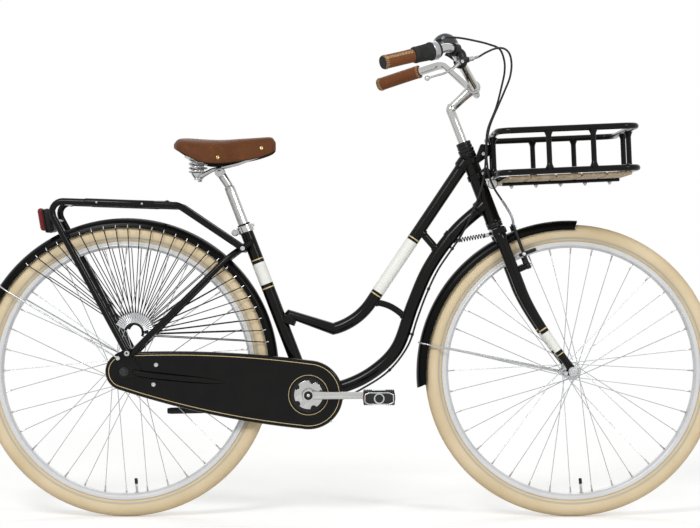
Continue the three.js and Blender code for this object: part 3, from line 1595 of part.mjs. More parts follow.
const kickFoot = v(-286, 24, -8);
const kickLegRadius = 7.5;
const kickShoeRadius = 8;
const kickShoeShare = 0.68;
function kickstandGeometry() {
  const [low, high] = [kickBracketHigh + restGap, kickPinEnd - 1];
  const start = v(0, (low + high) / 2, 0);
  const foot = kickFoot.clone().add(start);
  const head = across(v(0, 0, 0), low, high, kickHeadRadius, 10);
  const leg = tapered(
    [start, between(start, foot, kickShoeShare), between(start, foot, kickShoeShare), foot],
    [kickLegRadius, kickLegRadius - 1, kickShoeRadius, kickShoeRadius],
    6,
  );
  return cut(join(head, leg), across(v(0, 0, 0), low - overrun, high + overrun, kickPinRadius + runGap, 8));
}
part("kickstand", kickstandGeometry(), alloy, v(kickPivot.x, 0, kickPivot.z));

// Rim brake: an arm on each fork boss with its pad; the right arm holds the cable's bent pipe

const armThickness = 10;
const armBore = 4.1;
const armFoot = brakePivotAhead - 0.4;
const padRear = 28;
const padLength = 44;
const padSide = 20.5;
const padRadius = 4.8;
const armMiddle = brakePivotHeight + 71;
const armTop = brakePivotHeight + 104;
const pipeTop = fromFoot(-127.7, -35, 432.7);
const pipeRadius = 3;

function brakeArm(side) {
  const pivot = onSteer(brakePivotHeight, 0, side * brakePivotSide);
  const eye = rod(
    pivot.clone().addScaledVector(aheadSteer, armFoot),
    pivot.clone().addScaledVector(aheadSteer, armFoot + armThickness),
    8,
    6,
  );
  const middleAhead = armFoot + armThickness / 2;
  const arm = tapered(
    [
      onSteer(brakePivotHeight + 2, middleAhead, side * brakePivotSide),
      onSteer(armMiddle, middleAhead, side * (brakePivotSide + 1.5)),
      onSteer(armTop, middleAhead + 1, side * (brakePivotSide - 3)),
    ],
    [5.5, 4.6, 4.4],
    4,
  );
  const padAt = (ahead) => onSteer(padHeight, ahead, side * padSide);
  const pad = rod(padAt(padRear), padAt(padRear + padLength), padRadius, 6);
  const post = rod(
    onSteer(padHeight, middleAhead, side * padSide),
    onSteer(padHeight, middleAhead, side * (brakePivotSide + 6)),
    3.4,
    4,
  );
  const pieces = [eye, arm, pad, post];
  if (side < 0) {
    const top = onSteer(armTop - 2, middleAhead + 1, side * (brakePivotSide - 3));
    const bend = [fromFoot(-103.1, -37, 389.7), fromFoot(-114.1, -36, 411.7)];
    pieces.push(pipe([top, ...bend, pipeTop], pipeRadius, 5));
  }
  const stud = rod(pivot, pivot.clone().addScaledVector(aheadSteer, armFoot + armThickness * 2), armBore, 6);
  return cut(join(...pieces), stud);
}
sides.forEach((side) => part("brake_arm_" + sideName(side), brakeArm(side), blackPlastic));

// Cables, each along a chosen line

// Stations of the shift cable from the handlebar down to the down tube, from the steering foot.
const shiftStations = [
  [-261.1, -209, 811.7], [-240.1, -197, 811.7], [-202.1, -172, 807.7], [-166.1, -146, 801.7],
  [-140.1, -125, 792.7], [-128.1, -110, 766.7], [-126.6, -100, 740.7], [-133.1, -85, 704.7],
  [-144.1, -68, 658.7], [-164.1, -50, 603.7], [-167.1, -40, 563.7], [-168.1, -34, 528.7],
  [-172.1, -31, 488.7], [-190.1, -28, 426.7], [-226.1, -14, 348.7],
];
const upperShiftLine = [
  shiftCableExit.clone().addScaledVector(shiftOutlet, restGap * 2),
  shiftCableExit.clone().addScaledVector(shiftOutlet, 9),
  ...shiftStations.map((place) => fromFoot(...place)),
];
const besideDownTube = downTubeRadius + bandWall + restGap * 4 + cableRadius;
const downTubeStops = [0.79, 0.7, 0.6, 0.5, 0.4, 0.3, 0.2];
// Stations of the shift cable under the cranks and along the chain stay, from the crank centre.
const lowShiftStations = [
  [52.5, -18, -23], [0, -28, -25], [-32.5, -30, -11], [-61.5, -30, 2.5], [-93.5, -30.5, 7],
  [-142.5, -32, 12], [-202.5, -33.5, 17],
];
const lowerShiftLine = [
  ...downTubeStops.map((share) =>
    downTubeCurve
      .getPointAt(share)
      .add(lateral.clone().cross(downTubeCurve.getTangentAt(share)).multiplyScalar(besideDownTube)),
  ),
  ...lowShiftStations.map((place) => fromCranks(...place)),
];
// Stations of the brake cable from the lever to the bent pipe, from the steering foot.
const brakeStations = [
  [-178.9, -180, 777.9], [-152.1, -171, 789.7], [-133.1, -163, 790.2], [-120.1, -155, 780.5],
  [-113.4, -145, 757.7], [-116, -132, 725.4], [-127, -120, 695.4], [-140.3, -105, 663],
  [-160.1, -85, 613.7], [-166.1, -75, 583.7], [-168.1, -65, 553.7], [-165.1, -56, 518.7],
  [-160.1, -50, 492.7], [-148.1, -43, 463.7],
];
const brakeCableLine = [
  brakeCableExit.clone().addScaledVector(brakeOutlet, restGap * 2),
  brakeCableExit.clone().addScaledVector(brakeOutlet, 9),
  ...brakeStations.map((place) => fromFoot(...place)),
  pipeTop.clone().add(v(-0.6, 0, 1)),
];
const along = (points, steps) => new THREE.CatmullRomCurve3(points).getPoints(steps);
part("brake_cable", pipe(along(brakeCableLine, 28), cableRadius, 5), blackCord);
part(
  "shift_cable",
  pipe([...along(upperShiftLine, 26), ...lowerShiftLine], cableRadius, 5),
  blackCord,
);

// Basket on its frame brackets, with slats on one bar, and the reflector below it

const basketTilt = rad(2.4);
const basketTube = 7.5;
const basketUpright = 6.5;
const basketRear = fromFoot(-146.1, 0, 492.7);
const basketCorner = 34;
const basketAlong = v(Math.cos(basketTilt), 0, Math.sin(basketTilt));
const basketUp = v(-Math.sin(basketTilt), 0, Math.cos(basketTilt));
const inBasket = from(basketRear, basketUp, basketAlong);
const basketRun = basketLength - 2 * basketTube;
const basketHalf = basketWidth / 2 - basketTube;
const basketRise = basketHeight - basketTube;
const basketUprightShares = [0.36, 0.68];
const basketFrontSide = 50;
const basketRearSide = 30;
const basketTopBack = 0;

function basketLoop(height, back) {
  const run = (side) => [
    inBasket(height, -back, 0),
    inBasket(height, -back, side * basketHalf),
    inBasket(height, basketRun - back, side * basketHalf),
    inBasket(height, basketRun - back, 0),
  ];
  return join(...sides.map((side) => pipe(rounded(run(side), basketCorner, 2), basketTube, 6)));
}

function bandOnHead(height, half) {
  return rod(onSteer(height - half, 0, 0), onSteer(height + half, 0, 0), headTubeRadius + 3, 10);
}

// Outlines of the two brackets between the head tube and the basket, in X and Z.
const upperBracket = [
  [-202, 525], [-184, 525], [-150, 549], [-146, 569], [-178, 573], [-190, 541],
].map(([x, z]) => fromFoot(x, 0, z));
const lowerBracket = [[-190, 483], [-150, 489], [-148, 505], [-166, 517], [-188, 501]].map(
  ([x, z]) => fromFoot(x, 0, z),
);
const upperBandDrop = 16.7;
const lowerBandDrop = 57.7;
const headBandHalf = 7;
const bracketHalf = 15;
const bracketBarHeight = 66;

function basketFrameGeometry() {
  const upright = (ahead, side) =>
    rod(inBasket(0, ahead, side), inBasket(basketRise, ahead - basketTopBack, side), basketUpright, 4);
  const uprights = sides.flatMap((side) => [
    ...basketUprightShares.map((share) => upright(share * basketRun, side * basketHalf)),
    upright(basketRun, side * basketFrontSide),
    upright(0, side * basketRearSide),
  ]);
  const brackets = [upperBracket, lowerBracket].map((outline) =>
    plate(outline.map(({ x, z }) => new THREE.Vector2(x, z)), -bracketHalf, bracketHalf),
  );
  const bar = rod(
    inBasket(bracketBarHeight, 0, -basketRearSide),
    inBasket(bracketBarHeight, 0, basketRearSide),
    5,
    4,
  );
  const behindHead = block(
    onSteer(headTubeTop - headTubeRadius * 2, -headTubeRadius * 2, 0),
    v(headTubeRadius * 4, headTubeRadius * 4, headTubeLength),
    rad(headAngle),
  );
  return cut(
    join(
      basketLoop(0, 0),
      basketLoop(basketRise, basketTopBack),
      ...uprights,
      ...brackets,
      bar,
      bandOnHead(headTubeTop - upperBandDrop, headBandHalf),
      bandOnHead(headTubeTop - lowerBandDrop, headBandHalf),
    ),
    rod(onSteer(headTubeBottom, 0, 0), onSteer(headsetTop, 0, 0), headTubeRadius + restGap, 10),
    rod(onSteer(headTubeTop - 6, 0, 0), onSteer(headsetTop, 0, 0), headsetRadius + runGap * 2, 10),
    behindHead,
  );
}
part("basket_frame", basketFrameGeometry(), blackPaint);

const slatCount = 5;
const slatLength = 57;
const slatThickness = 9;
const slatWidth = 410;
const slatFirst = 43;
const slatStep = 60.3;
const floorBarHalf = 9;
const floorBarThickness = 5;
function basketFloorGeometry() {
  const top = -basketTube - restGap;
  const slats = Array.from({ length: slatCount }, (_, i) =>
    block(
      inBasket(top - slatThickness / 2, slatFirst + i * slatStep, 0),
      v(slatLength, slatWidth, slatThickness),
      basketTilt,
    ),
  );
  const bar = block(
    inBasket(top - slatThickness - floorBarThickness / 2 + 0.5, slatFirst + slatStep * 2, 0),
    v(slatStep * (slatCount - 1) + slatLength - 10, floorBarHalf * 2, floorBarThickness),
    basketTilt,
  );
  return join(...slats, bar);
}
part("basket_floor", basketFloorGeometry(), paleWood);

const reflectorPlace = basketRear.clone().add(v(-4, -26, -19));
const reflectorRadius = 12;
function reflectorGeometry() {
  const disc = across(reflectorPlace, -30, -22, reflectorRadius, 12);
  const stem = rod(reflectorPlace, inBasket(-basketTube - restGap * 2, -2, -26), 2.5, 6);
  return join(disc, stem);
}
part("front_reflector", reflectorGeometry(), whiteLens);

bike.name = "dutch_city_bike";
export default bike;
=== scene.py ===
"""The looks of a black dutch city bike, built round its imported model. Metres, +X front, +Y left, +Z up."""

from math import acos, atan2, copysign, cos, exp, hypot, pi, radians, sin, tan

import bpy
from mathutils import Matrix, Vector


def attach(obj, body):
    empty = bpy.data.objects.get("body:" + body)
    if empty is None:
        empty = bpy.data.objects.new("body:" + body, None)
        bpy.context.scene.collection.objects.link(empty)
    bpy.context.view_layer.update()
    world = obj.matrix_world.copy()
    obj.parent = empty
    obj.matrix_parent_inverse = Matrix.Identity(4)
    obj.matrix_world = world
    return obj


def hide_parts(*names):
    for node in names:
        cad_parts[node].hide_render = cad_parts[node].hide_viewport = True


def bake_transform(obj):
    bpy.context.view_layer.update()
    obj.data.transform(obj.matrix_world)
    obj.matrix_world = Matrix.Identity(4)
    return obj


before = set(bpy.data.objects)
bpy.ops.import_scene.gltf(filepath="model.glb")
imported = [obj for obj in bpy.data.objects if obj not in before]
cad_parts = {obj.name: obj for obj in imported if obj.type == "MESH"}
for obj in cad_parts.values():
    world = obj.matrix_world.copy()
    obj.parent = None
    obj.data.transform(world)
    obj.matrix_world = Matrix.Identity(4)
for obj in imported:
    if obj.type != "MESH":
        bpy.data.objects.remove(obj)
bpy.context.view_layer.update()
bpy.ops.object.select_all(action="DESELECT")

# Camera: square to the bicycle's right side, as in the photograph, whose edges cut both tyres.
CAMERA_X, CAMERA_AWAY, CAMERA_HEIGHT, LENS, SENSOR = 0.0034, 5.0, 0.6194, 104.66, 36
bpy.ops.object.camera_add(location=(CAMERA_X, -CAMERA_AWAY, CAMERA_HEIGHT), rotation=(pi / 2, 0, 0))
camera = bpy.context.object
camera.data.sensor_width, camera.data.lens, camera.data.clip_end = SENSOR, LENS, 60
bpy.context.scene.camera = camera
bpy.context.scene.view_settings.view_transform = "Standard"

# Studio: a pale floor that shows white to the lens and in the metal, with soft lamps above and
# beside the bicycle.


def node(tree, name, kind, sockets=(), **settings):
    """A named shader node with its settings, then the values on its sockets."""
    made = tree.nodes.new("ShaderNode" + kind)
    made.name = name
    for key, value in settings.items():
        setattr(made, key, value)
    for key, value in dict(sockets).items():
        made.inputs[key].default_value = value
    return made


def wire(tree, *joints):
    """Joins sockets; each joint reads "node.output > node.input", with sockets named or numbered."""
    for joint in joints:
        (start, outlet), (end, inlet) = (half.rsplit(".", 1) for half in joint.split(" > "))
        tree.links.new(
            tree.nodes[start].outputs[int(outlet) if outlet.isdigit() else outlet],
            tree.nodes[end].inputs[int(inlet) if inlet.isdigit() else inlet],
        )


def new_material(name, sockets):
    """A material with these values on its shader's own sockets, and its nodes."""
    material = bpy.data.materials.new(name)
    material.use_nodes = True
    for key, value in sockets.items():
        material.node_tree.nodes["Principled BSDF"].inputs[key].default_value = value
    return material, material.node_tree


WHITE_FROM, WHITE_TO, FLOOR_GLOW = 1.5, 3.2, 0.3
bpy.ops.mesh.primitive_plane_add(size=60)
floor = bpy.context.object
floor.name = "floor"
pale, pale_tree = new_material("pale floor", {"Base Color": (0.8, 0.8, 0.79, 1), "Roughness": 0.9})
node(pale_tree, "path", "LightPath")
node(pale_tree, "place", "NewGeometry")
node(pale_tree, "seen", "Math", operation="MAXIMUM")
node(pale_tree, "far seen", "Math", operation="MULTIPLY")
node(pale_tree, "near", "Math", {1: FLOOR_GLOW}, operation="MULTIPLY")
node(pale_tree, "glow", "Emission")
node(pale_tree, "white", "Emission")
node(pale_tree, "lit", "AddShader")
node(pale_tree, "far", "VectorMath", operation="LENGTH")
node(pale_tree, "fade", "MapRange", {"From Min": WHITE_FROM, "From Max": WHITE_TO},
     interpolation_type="SMOOTHSTEP")
node(pale_tree, "faded", "MixShader")
wire(
    pale_tree, "path.Is Camera Ray > seen.0", "path.Is Glossy Ray > seen.1", "seen.0 > near.0",
    "near.0 > glow.Strength", "Principled BSDF.0 > lit.0", "glow.0 > lit.1", "place.Position > far.0",
    "far.Value > fade.Value", "fade.0 > far seen.0", "seen.0 > far seen.1", "far seen.0 > faded.0",
    "lit.0 > faded.1", "white.0 > faded.2", "faded.0 > Material Output.Surface",
)
floor.data.materials.append(pale)

DIM_SKY, WHITE_SKY = 0.5, 1.0
world = bpy.data.worlds.new("studio")
bpy.context.scene.world = world
world.use_nodes = True
sky = world.node_tree
sky.nodes["Background"].inputs["Color"].default_value = (1, 1, 1, 1)
node(sky, "path", "LightPath")
node(sky, "seen", "Math", operation="MAXIMUM")
node(sky, "seen through", "Math", operation="MAXIMUM")
node(sky, "level", "MapRange", {"To Min": DIM_SKY, "To Max": WHITE_SKY})
wire(
    sky, "path.Is Camera Ray > seen.0", "path.Is Glossy Ray > seen.1", "seen.0 > seen through.0",
    "path.Is Transmission Ray > seen through.1", "seen through.0 > level.Value",
    "level.0 > Background.Strength",
)

for place, size, power in (((-1.5, -3.6, 3.2), 1.3, 92), ((2.4, -3.4, 2.2), 0.8, 38),
                           ((0.3, 3.0, 3.2), 2.6, 34)):
    bpy.ops.object.light_add(type="AREA", location=place)
    lamp = bpy.context.object
    lamp.data.size, lamp.data.energy = size, power
    lamp.rotation_euler = (Vector((0, 0, 0.5)) - Vector(place)).to_track_quat("-Z", "Y").to_euler()

# Wheel tyres: cream rubber, 47 mm wide on a 622 mm rim, with a grey reflecting stripe beside the
# rim, fine ribs across the tread and two rows of low shoulder blocks.
MM = 0.001
MERGE = 0.000004
REAR_AXLE, FRONT_AXLE = Vector((-0.5455, 0, 0.358)), Vector((0.5455, 0, 0.358))
SIDEWAYS, UPWARD = Vector((0, 1, 0)), Vector((0, 0, 1))


def mm(x, y, z):
    return Vector((x, y, z)) * MM


def moved(piece, *moves):
    """Moves a piece's mesh by these matrices, the last one first."""
    for move in reversed(moves):
        piece.data.transform(move)
    return piece


def spot(place):
    return Matrix.Translation(place)


def facing(place, axis):
    """The move that stands a piece on a place, with its height along an axis."""
    return spot(place) @ UPWARD.rotation_difference(Vector(axis)).to_matrix().to_4x4()


def picked(piece):
    """Makes this object the only one selected."""
    bpy.ops.object.select_all(action="DESELECT")
    piece.select_set(True)
    bpy.context.view_layer.objects.active = piece
    return piece


def linked(name, data):
    """A new object with this mesh or curve, the only one selected."""
    piece = bpy.data.objects.new(name, data)
    bpy.context.scene.collection.objects.link(piece)
    return picked(piece)


def active_mesh(name, vertices, edges=(), faces=()):
    mesh = bpy.data.meshes.new(name)
    mesh.from_pydata([tuple(p) for p in vertices], list(edges), list(faces))
    return linked(name, mesh)


def apply_modifier(piece, kind, **settings):
    """Adds a modifier with these settings and applies it."""
    bpy.context.view_layer.objects.active = piece
    modifier = piece.modifiers.new(kind.lower(), kind)
    for key, value in settings.items():
        setattr(modifier, key, value)
    bpy.ops.object.modifier_apply(modifier=modifier.name)
    return piece


def closed_up(piece):
    """Merges doubles and turns the faces outwards."""
    picked(piece)
    bpy.ops.object.mode_set(mode="EDIT")
    bpy.ops.mesh.select_all(action="SELECT")
    bpy.ops.mesh.remove_doubles(threshold=MERGE)
    bpy.ops.mesh.normals_make_consistent(inside=False)
    bpy.ops.object.mode_set(mode="OBJECT")
    return piece


def turned(name, profile, place, axis, steps=64):
    """A round body: a profile of radius and height in millimetres, turned about an axis."""
    points = [mm(r, 0, h) for r, h in profile]
    piece = active_mesh(name, points, [(i, i + 1) for i in range(len(points) - 1)])
    apply_modifier(
        piece, "SCREW", axis="Z", angle=2 * pi, steps=steps, render_steps=steps,
        use_merge_vertices=True, merge_threshold=MERGE,
    )
    return moved(closed_up(piece), facing(place, axis))


def finished(name, pieces, body, material, slot, *nodes, angle=35):
    """Joins the pieces of one finish and smooths them; they ride on a body and stand for CAD nodes."""
    parts = pieces if isinstance(pieces, list) else [pieces]
    piece = picked(parts[0])
    if len(parts) > 1:
        for part in parts:
            part.select_set(True)
        bpy.ops.object.join()
    piece.name = piece.data.name = name
    bpy.ops.object.shade_smooth_by_angle(angle=radians(angle))
    piece.data.materials.clear()
    piece.data.materials.append(material)
    if body:
        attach(piece, body)
    if nodes:
        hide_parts(*nodes)
    return piece


def new_group(name, inputs, outputs):
    """An empty shader group whose sockets are numbers."""
    group = bpy.data.node_groups.new(name, "ShaderNodeTree")
    for label, value in inputs.items():
        group.interface.new_socket(label, in_out="INPUT", socket_type="NodeSocketFloat").default_value = value
    for label in outputs:
        group.interface.new_socket(label, in_out="OUTPUT", socket_type="NodeSocketFloat")
    group.nodes.new("NodeGroupInput").name = "in"
    group.nodes.new("NodeGroupOutput").name = "out"
    return group


# Fine uneven soil and handling marks: a mask from coarse and fine noise.
handled = new_group("handled surface", {"Scale": 40.0, "Low": 0.2, "High": 0.4},
                    ("Roughness", "Mask", "Fine"))
node(handled, "coords", "TexCoord")
node(handled, "coarse", "TexNoise", {"Detail": 6})
node(handled, "finer", "Math", {1: 14}, operation="MULTIPLY")
node(handled, "fine", "TexNoise", {"Detail": 4})
node(handled, "spread", "MapRange", {"From Min": 0.35, "From Max": 0.65})
node(handled, "level", "MapRange")
wire(
    handled, "coords.Object > coarse.Vector", "coords.Object > fine.Vector", "in.Scale > coarse.Scale",
    "in.Scale > finer.0", "finer.0 > fine.Scale", "coarse.Fac > spread.Value", "spread.0 > level.Value",
    "in.Low > level.To Min", "in.High > level.To Max", "level.0 > out.Roughness", "spread.0 > out.Mask",
    "fine.Fac > out.Fine",
)


def material_with(name, colour, second, rough, scale, metallic=0.0, bump=0.0, coat=0.0, shine=0.5):
    """A finish whose colour, gloss and grain vary by the handled-surface group."""
    material, tree = new_material(name, {"Metallic": metallic, "Coat Weight": coat,
                                         "Specular IOR Level": shine})
    node(tree, "wear", "Group", {"Scale": scale, "Low": rough[0], "High": rough[1]}, node_tree=handled)
    node(tree, "tint", "Mix", {"A": (*colour, 1), "B": (*second, 1)}, data_type="RGBA")
    wire(tree, "wear.Mask > tint.Factor", "tint.Result > Principled BSDF.Base Color",
         "wear.Roughness > Principled BSDF.Roughness")
    if bump:
        node(tree, "relief", "Bump", {"Strength": bump, "Distance": 0.0004})
        wire(tree, "wear.Fine > relief.Height", "relief.Normal > Principled BSDF.Normal")
    return material


# Distance from a wheel's axis and the angle round it, for patterns that follow the wheel.
around = new_group("round the axle", {"Centre X": 0.0, "Centre Z": 0.0}, ("Radius", "Angle", "Side"))
node(around, "coords", "TexCoord")
node(around, "parts", "SeparateXYZ")
node(around, "ahead", "Math", operation="SUBTRACT")
node(around, "above", "Math", operation="SUBTRACT")
node(around, "flat", "CombineXYZ")
node(around, "length", "VectorMath", operation="LENGTH")
node(around, "turn", "Math", operation="ARCTAN2")
wire(
    around, "coords.Object > parts.0", "parts.X > ahead.0", "in.Centre X > ahead.1", "parts.Z > above.0",
    "in.Centre Z > above.1", "ahead.0 > flat.X", "above.0 > flat.Z", "flat.0 > length.0", "above.0 > turn.0",
    "ahead.0 > turn.1", "length.Value > out.Radius", "turn.0 > out.Angle", "parts.Y > out.Side",
)


def ramp(tree, name, *stops):
    """A colour ramp from its stops, each a place and a colour."""
    band = node(tree, name, "ValToRGB").color_ramp
    for i, (at, colour) in enumerate(stops):
        stop = band.elements[i] if i < 2 else band.elements.new(at)
        stop.position, stop.color = at, (*colour, 1)


def tyre_material(name, axle):
    """Cream rubber with a grey stripe beside the rim and a soiled, ribbed tread."""
    material = material_with(name, (0.72, 0.59, 0.39), (0.66, 0.53, 0.335), (0.65, 0.8), 9, bump=0.2,
                             shine=0.25)
    tree = material.node_tree
    node(tree, "where", "Group", {"Centre X": axle.x, "Centre Z": axle.z}, node_tree=around)
    ramp(tree, "stripe", *[(at, (level,) * 3) for at, level in (
        (0.0, 0), (0.35, 0), (0.38, 1), (0.5, 1), (0.53, 0), (1.0, 0),
    )])
    node(tree, "span", "MapRange", {"From Min": 0.312, "From Max": 0.342})
    node(tree, "banded", "Mix", {"B": (0.50, 0.47, 0.38, 1)}, data_type="RGBA")
    node(tree, "tread", "MapRange", {"From Min": 0.352, "From Max": 0.357})
    node(tree, "soiled", "Mix", {"B": (0.62, 0.48, 0.28, 1)}, data_type="RGBA")
    node(tree, "ribs", "Math", {1: 340}, operation="MULTIPLY")
    node(tree, "wave", "Math", operation="SINE")
    node(tree, "carved", "Math", operation="MULTIPLY")
    node(tree, "rib relief", "Bump", {"Strength": 0.5, "Distance": 0.0008})
    wire(
        tree, "where.Radius > span.Value", "span.0 > stripe.Fac", "stripe.Color > banded.Factor",
        "tint.Result > banded.A", "where.Radius > tread.Value", "tread.0 > soiled.Factor",
        "banded.Result > soiled.A", "soiled.Result > Principled BSDF.Base Color", "where.Angle > ribs.0",
        "ribs.0 > wave.0", "wave.0 > carved.0", "tread.0 > carved.1", "carved.0 > rib relief.Height",
        "relief.Normal > rib relief.Normal", "rib relief.Normal > Principled BSDF.Normal",
    )
    return material


def there_and_back(half):
    """A whole profile from its left half, with the first place repeated."""
    return [*half, *[(r, -w) for r, w in reversed(half[:-1])]]


BLOCKS_ROUND = 112


def tyre(end, axle):
    """Carcass and tread, with shoulder blocks copied round the wheel."""
    outside = there_and_back([
        (316.2, 10.4), (318, 12.2), (321, 14.8), (325, 18.6), (330, 21.8), (335, 23.2), (340, 23.1),
        (345, 21.6), (349.5, 18.8), (352.6, 15.4), (354.9, 11.6), (356.6, 7.4), (357.5, 3.6), (357.9, 0),
    ])
    hollow = [(318.5, -7), (330, -16), (342, -16), (351, -8), (351, 8), (342, 16), (330, 16), (318.5, 7)]
    pieces = [turned("carcass", [*outside, *hollow, outside[0]], axle, SIDEWAYS, 144)]
    for side in (-1, 1):
        for lean, reach, rise, tip, offset in ((0.5, 14.4, 352.4, 38, 0), (-0.4, 6.6, 355.9, 17, 0.5)):
            bpy.ops.mesh.primitive_cube_add(size=1)
            lug = bpy.context.object
            moved(
                lug, spot(mm(0, side * reach, rise)), Matrix.Rotation(-radians(tip) * side, 4, "X"),
                Matrix.Rotation(side * lean, 4, "Z"), Matrix.Diagonal((7.5 * MM, 4.6 * MM, 1.6 * MM, 1)),
            )
            for i in range(BLOCKS_ROUND):
                turn = Matrix.Rotation(2 * pi * (i + offset) / BLOCKS_ROUND, 4, "Y")
                pieces.append(moved(linked("lug", lug.data.copy()), spot(axle), turn))
            bpy.data.objects.remove(lug)
    finished(f"{end}_tyre_dressed", pieces, f"{end}_wheel", tyre_material(f"{end}_tyre_dressed rubber", axle),
             "cream_rubber", f"{end}_tyre", angle=50)


tyre("rear", REAR_AXLE)
tyre("front", FRONT_AXLE)

# Frame: welded steel tubes in gloss black with a fillet at each joint, bent top tube and swan down
# tube, stays to flat dropouts, and decorated bands of white and gold on the seat and top tubes.
CRANK, STEER_FOOT = mm(-97.5, 0, 301), mm(502.09, 0, 341.34)
STEER_UP, STEER_AHEAD = Vector((-0.358368, 0, 0.93358)), Vector((0.93358, 0, 0.358368))
SEAT_UP, SEAT_AHEAD = Vector((-0.359997, 0, 0.932954)), Vector((0.932954, 0, 0.359997))


def on_steer(height, ahead=0.0, side=0.0):
    return STEER_FOOT + (height * STEER_UP + ahead * STEER_AHEAD + side * SIDEWAYS) * MM


def on_seat(height, ahead=0.0, side=0.0):
    return CRANK + (height * SEAT_UP + ahead * SEAT_AHEAD + side * SIDEWAYS) * MM


def about(centre, radius, degrees, side=0.0):
    """The place this far from a centre, at an angle up from straight ahead."""
    return centre + mm(radius * cos(radians(degrees)), side, radius * sin(radians(degrees)))


def straight(start, end, count):
    """Evenly spaced places from start to end."""
    return [start.lerp(end, i / count) for i in range(count + 1)]


def smooth(points, steps=8):
    """A smooth line through points, with evenly timed stations between each two."""
    ends = [2 * points[0] - points[1], *points, 2 * points[-1] - points[-2]]
    line = []
    for a, b, c, d in zip(ends, ends[1:], ends[2:], ends[3:]):
        first, middle, last = (max(1e-6, (q - p).length ** 0.5) for p, q in ((a, b), (b, c), (c, d)))
        out = ((b - a) / first - (c - a) / (first + middle) + (c - b) / middle) * middle
        home = ((c - b) / middle - (d - b) / (middle + last) + (d - c) / last) * middle
        for i in range(steps):
            t = i / steps
            line.append(
                b * (2 * t**3 - 3 * t**2 + 1) + out * (t**3 - 2 * t**2 + t)
                + c * (3 * t**2 - 2 * t**3) + home * (t**3 - t**2)
            )
    return [*line, points[-1]]


def even(line, count):
    """The same line with evenly spaced stations."""
    lengths = [0.0]
    for a, b in zip(line, line[1:]):
        lengths.append(lengths[-1] + (b - a).length)
    stations, i = [], 0
    for k in range(count + 1):
        want = lengths[-1] * k / count
        while i < len(line) - 2 and lengths[i + 1] < want:
            i += 1
        span = lengths[i + 1] - lengths[i]
        stations.append(line[i].lerp(line[i + 1], (want - lengths[i]) / span if span else 0))
    return stations


def rounded(corners, radius, steps=8, closed=False):
    """A line whose corners are rounded off to a radius in millimetres."""
    line = [] if closed else [corners[0]]
    count = len(corners)
    for i in range(count) if closed else range(1, count - 1):
        before, corner, after = corners[i - 1], corners[i], corners[(i + 1) % count]
        back, on = (before - corner).normalized(), (after - corner).normalized()
        angle = back.angle(on)
        if angle > radians(178):
            line.append(corner)
            continue
        centre = corner + (back + on).normalized() * radius * MM / sin(angle / 2)
        reach, sweep = radius * MM / tan(angle / 2), pi - angle
        start, end = corner + back * reach - centre, corner + on * reach - centre
        for k in range(steps + 1):
            t = k / steps
            line.append(centre + (start * sin((1 - t) * sweep) + end * sin(t * sweep)) / sin(sweep))
    return line if closed else [*line, corners[-1]]


def tube(name, points, radius, sides=20, radii=None, cyclic=False):
    """A round bar along points, with capped ends; radii, where given, is one for each point."""
    curve = bpy.data.curves.new(name, "CURVE")
    curve.dimensions = "3D"
    curve.bevel_depth = radius * MM
    curve.bevel_resolution = sides // 2 - 2
    curve.use_fill_caps = not cyclic
    spline = curve.splines.new("POLY")
    spline.points.add(len(points) - 1)
    spline.use_cyclic_u = cyclic
    for i, p in enumerate(points):
        spline.points[i].co = (*p, 1)
        if radii:
            spline.points[i].radius = radii[i] / radius
    linked(name, curve)
    bpy.ops.object.convert(target="MESH")
    return closed_up(bpy.context.object)


WELD = ((0.0, 1.28), (0.12, 1.12), (0.26, 1.03), (0.4, 1.0))


def flared(name, points, radius, ends=(1, 1), sides=20):
    """A tube with a weld fillet where it meets another: ends give how many radii it is buried."""
    tips = []
    for tip, after, buried in ((points[0], points[1], ends[0]), (points[-1], points[-2], ends[1])):
        inward = (after - tip).normalized()
        line, radii = [tip], [radius * WELD[0][1] if buried else radius]
        for share, swell in WELD if buried else ():
            line.append(tip + inward * (buried + share) * radius * MM)
            radii.append(radius * swell)
        tips.append((line, radii, inward))
    (lead, lead_radii, out), (tail, tail_radii, back) = tips
    kept = [p for p in points[1:-1] if (p - lead[-1]).dot(out) > 0.002 and (p - tail[-1]).dot(back) > 0.002]
    radii = [*lead_radii, *[radius] * len(kept), *reversed(tail_radii)]
    return tube(name, [*lead, *kept, *reversed(tail)], radius, sides, radii)


def plate(name, outline, low, high, edge=0.8):
    """A flat piece: an outline of x and z in millimetres, thick along y, with softened edges."""
    low, high = sorted((low, high))
    piece = active_mesh(name, [mm(x, low, z) for x, z in outline], (), [tuple(range(len(outline)))])
    bpy.ops.object.mode_set(mode="EDIT")
    bpy.ops.mesh.select_all(action="SELECT")
    bpy.ops.mesh.extrude_region_move(TRANSFORM_OT_translate={"value": (0, (high - low) * MM, 0)})
    bpy.ops.mesh.select_all(action="SELECT")
    bpy.ops.mesh.normals_make_consistent(inside=False)
    bpy.ops.object.mode_set(mode="OBJECT")
    if edge:
        apply_modifier(piece, "BEVEL", width=edge * MM, segments=2, limit_method="ANGLE")
    return piece


def link_outline(a, radius_a, b, radius_b, steps=10):
    """The outline of a bar with round ends, each end a centre (x, z) and a radius."""
    across, up = b[0] - a[0], b[1] - a[1]
    heading, lean = atan2(up, across), acos((radius_a - radius_b) / hypot(across, up))
    outline = []
    for (x, z), radius, low, high in ((b, radius_b, -lean, lean), (a, radius_a, lean, 2 * pi - lean)):
        for i in range(steps + 1):
            turn = heading + low + (high - low) * i / steps
            outline.append((x + radius * cos(turn), z + radius * sin(turn)))
    return outline


def flat(point):
    """A place's x and z in millimetres."""
    return point.x / MM, point.z / MM


def softened(points, radius, steps=3, centre=Vector((0, 0, 0))):
    """An outline of x and z about a centre, with its corners rounded off."""
    return [flat(p) for p in rounded([centre + mm(x, 0, z) for x, z in points], radius, steps, True)]


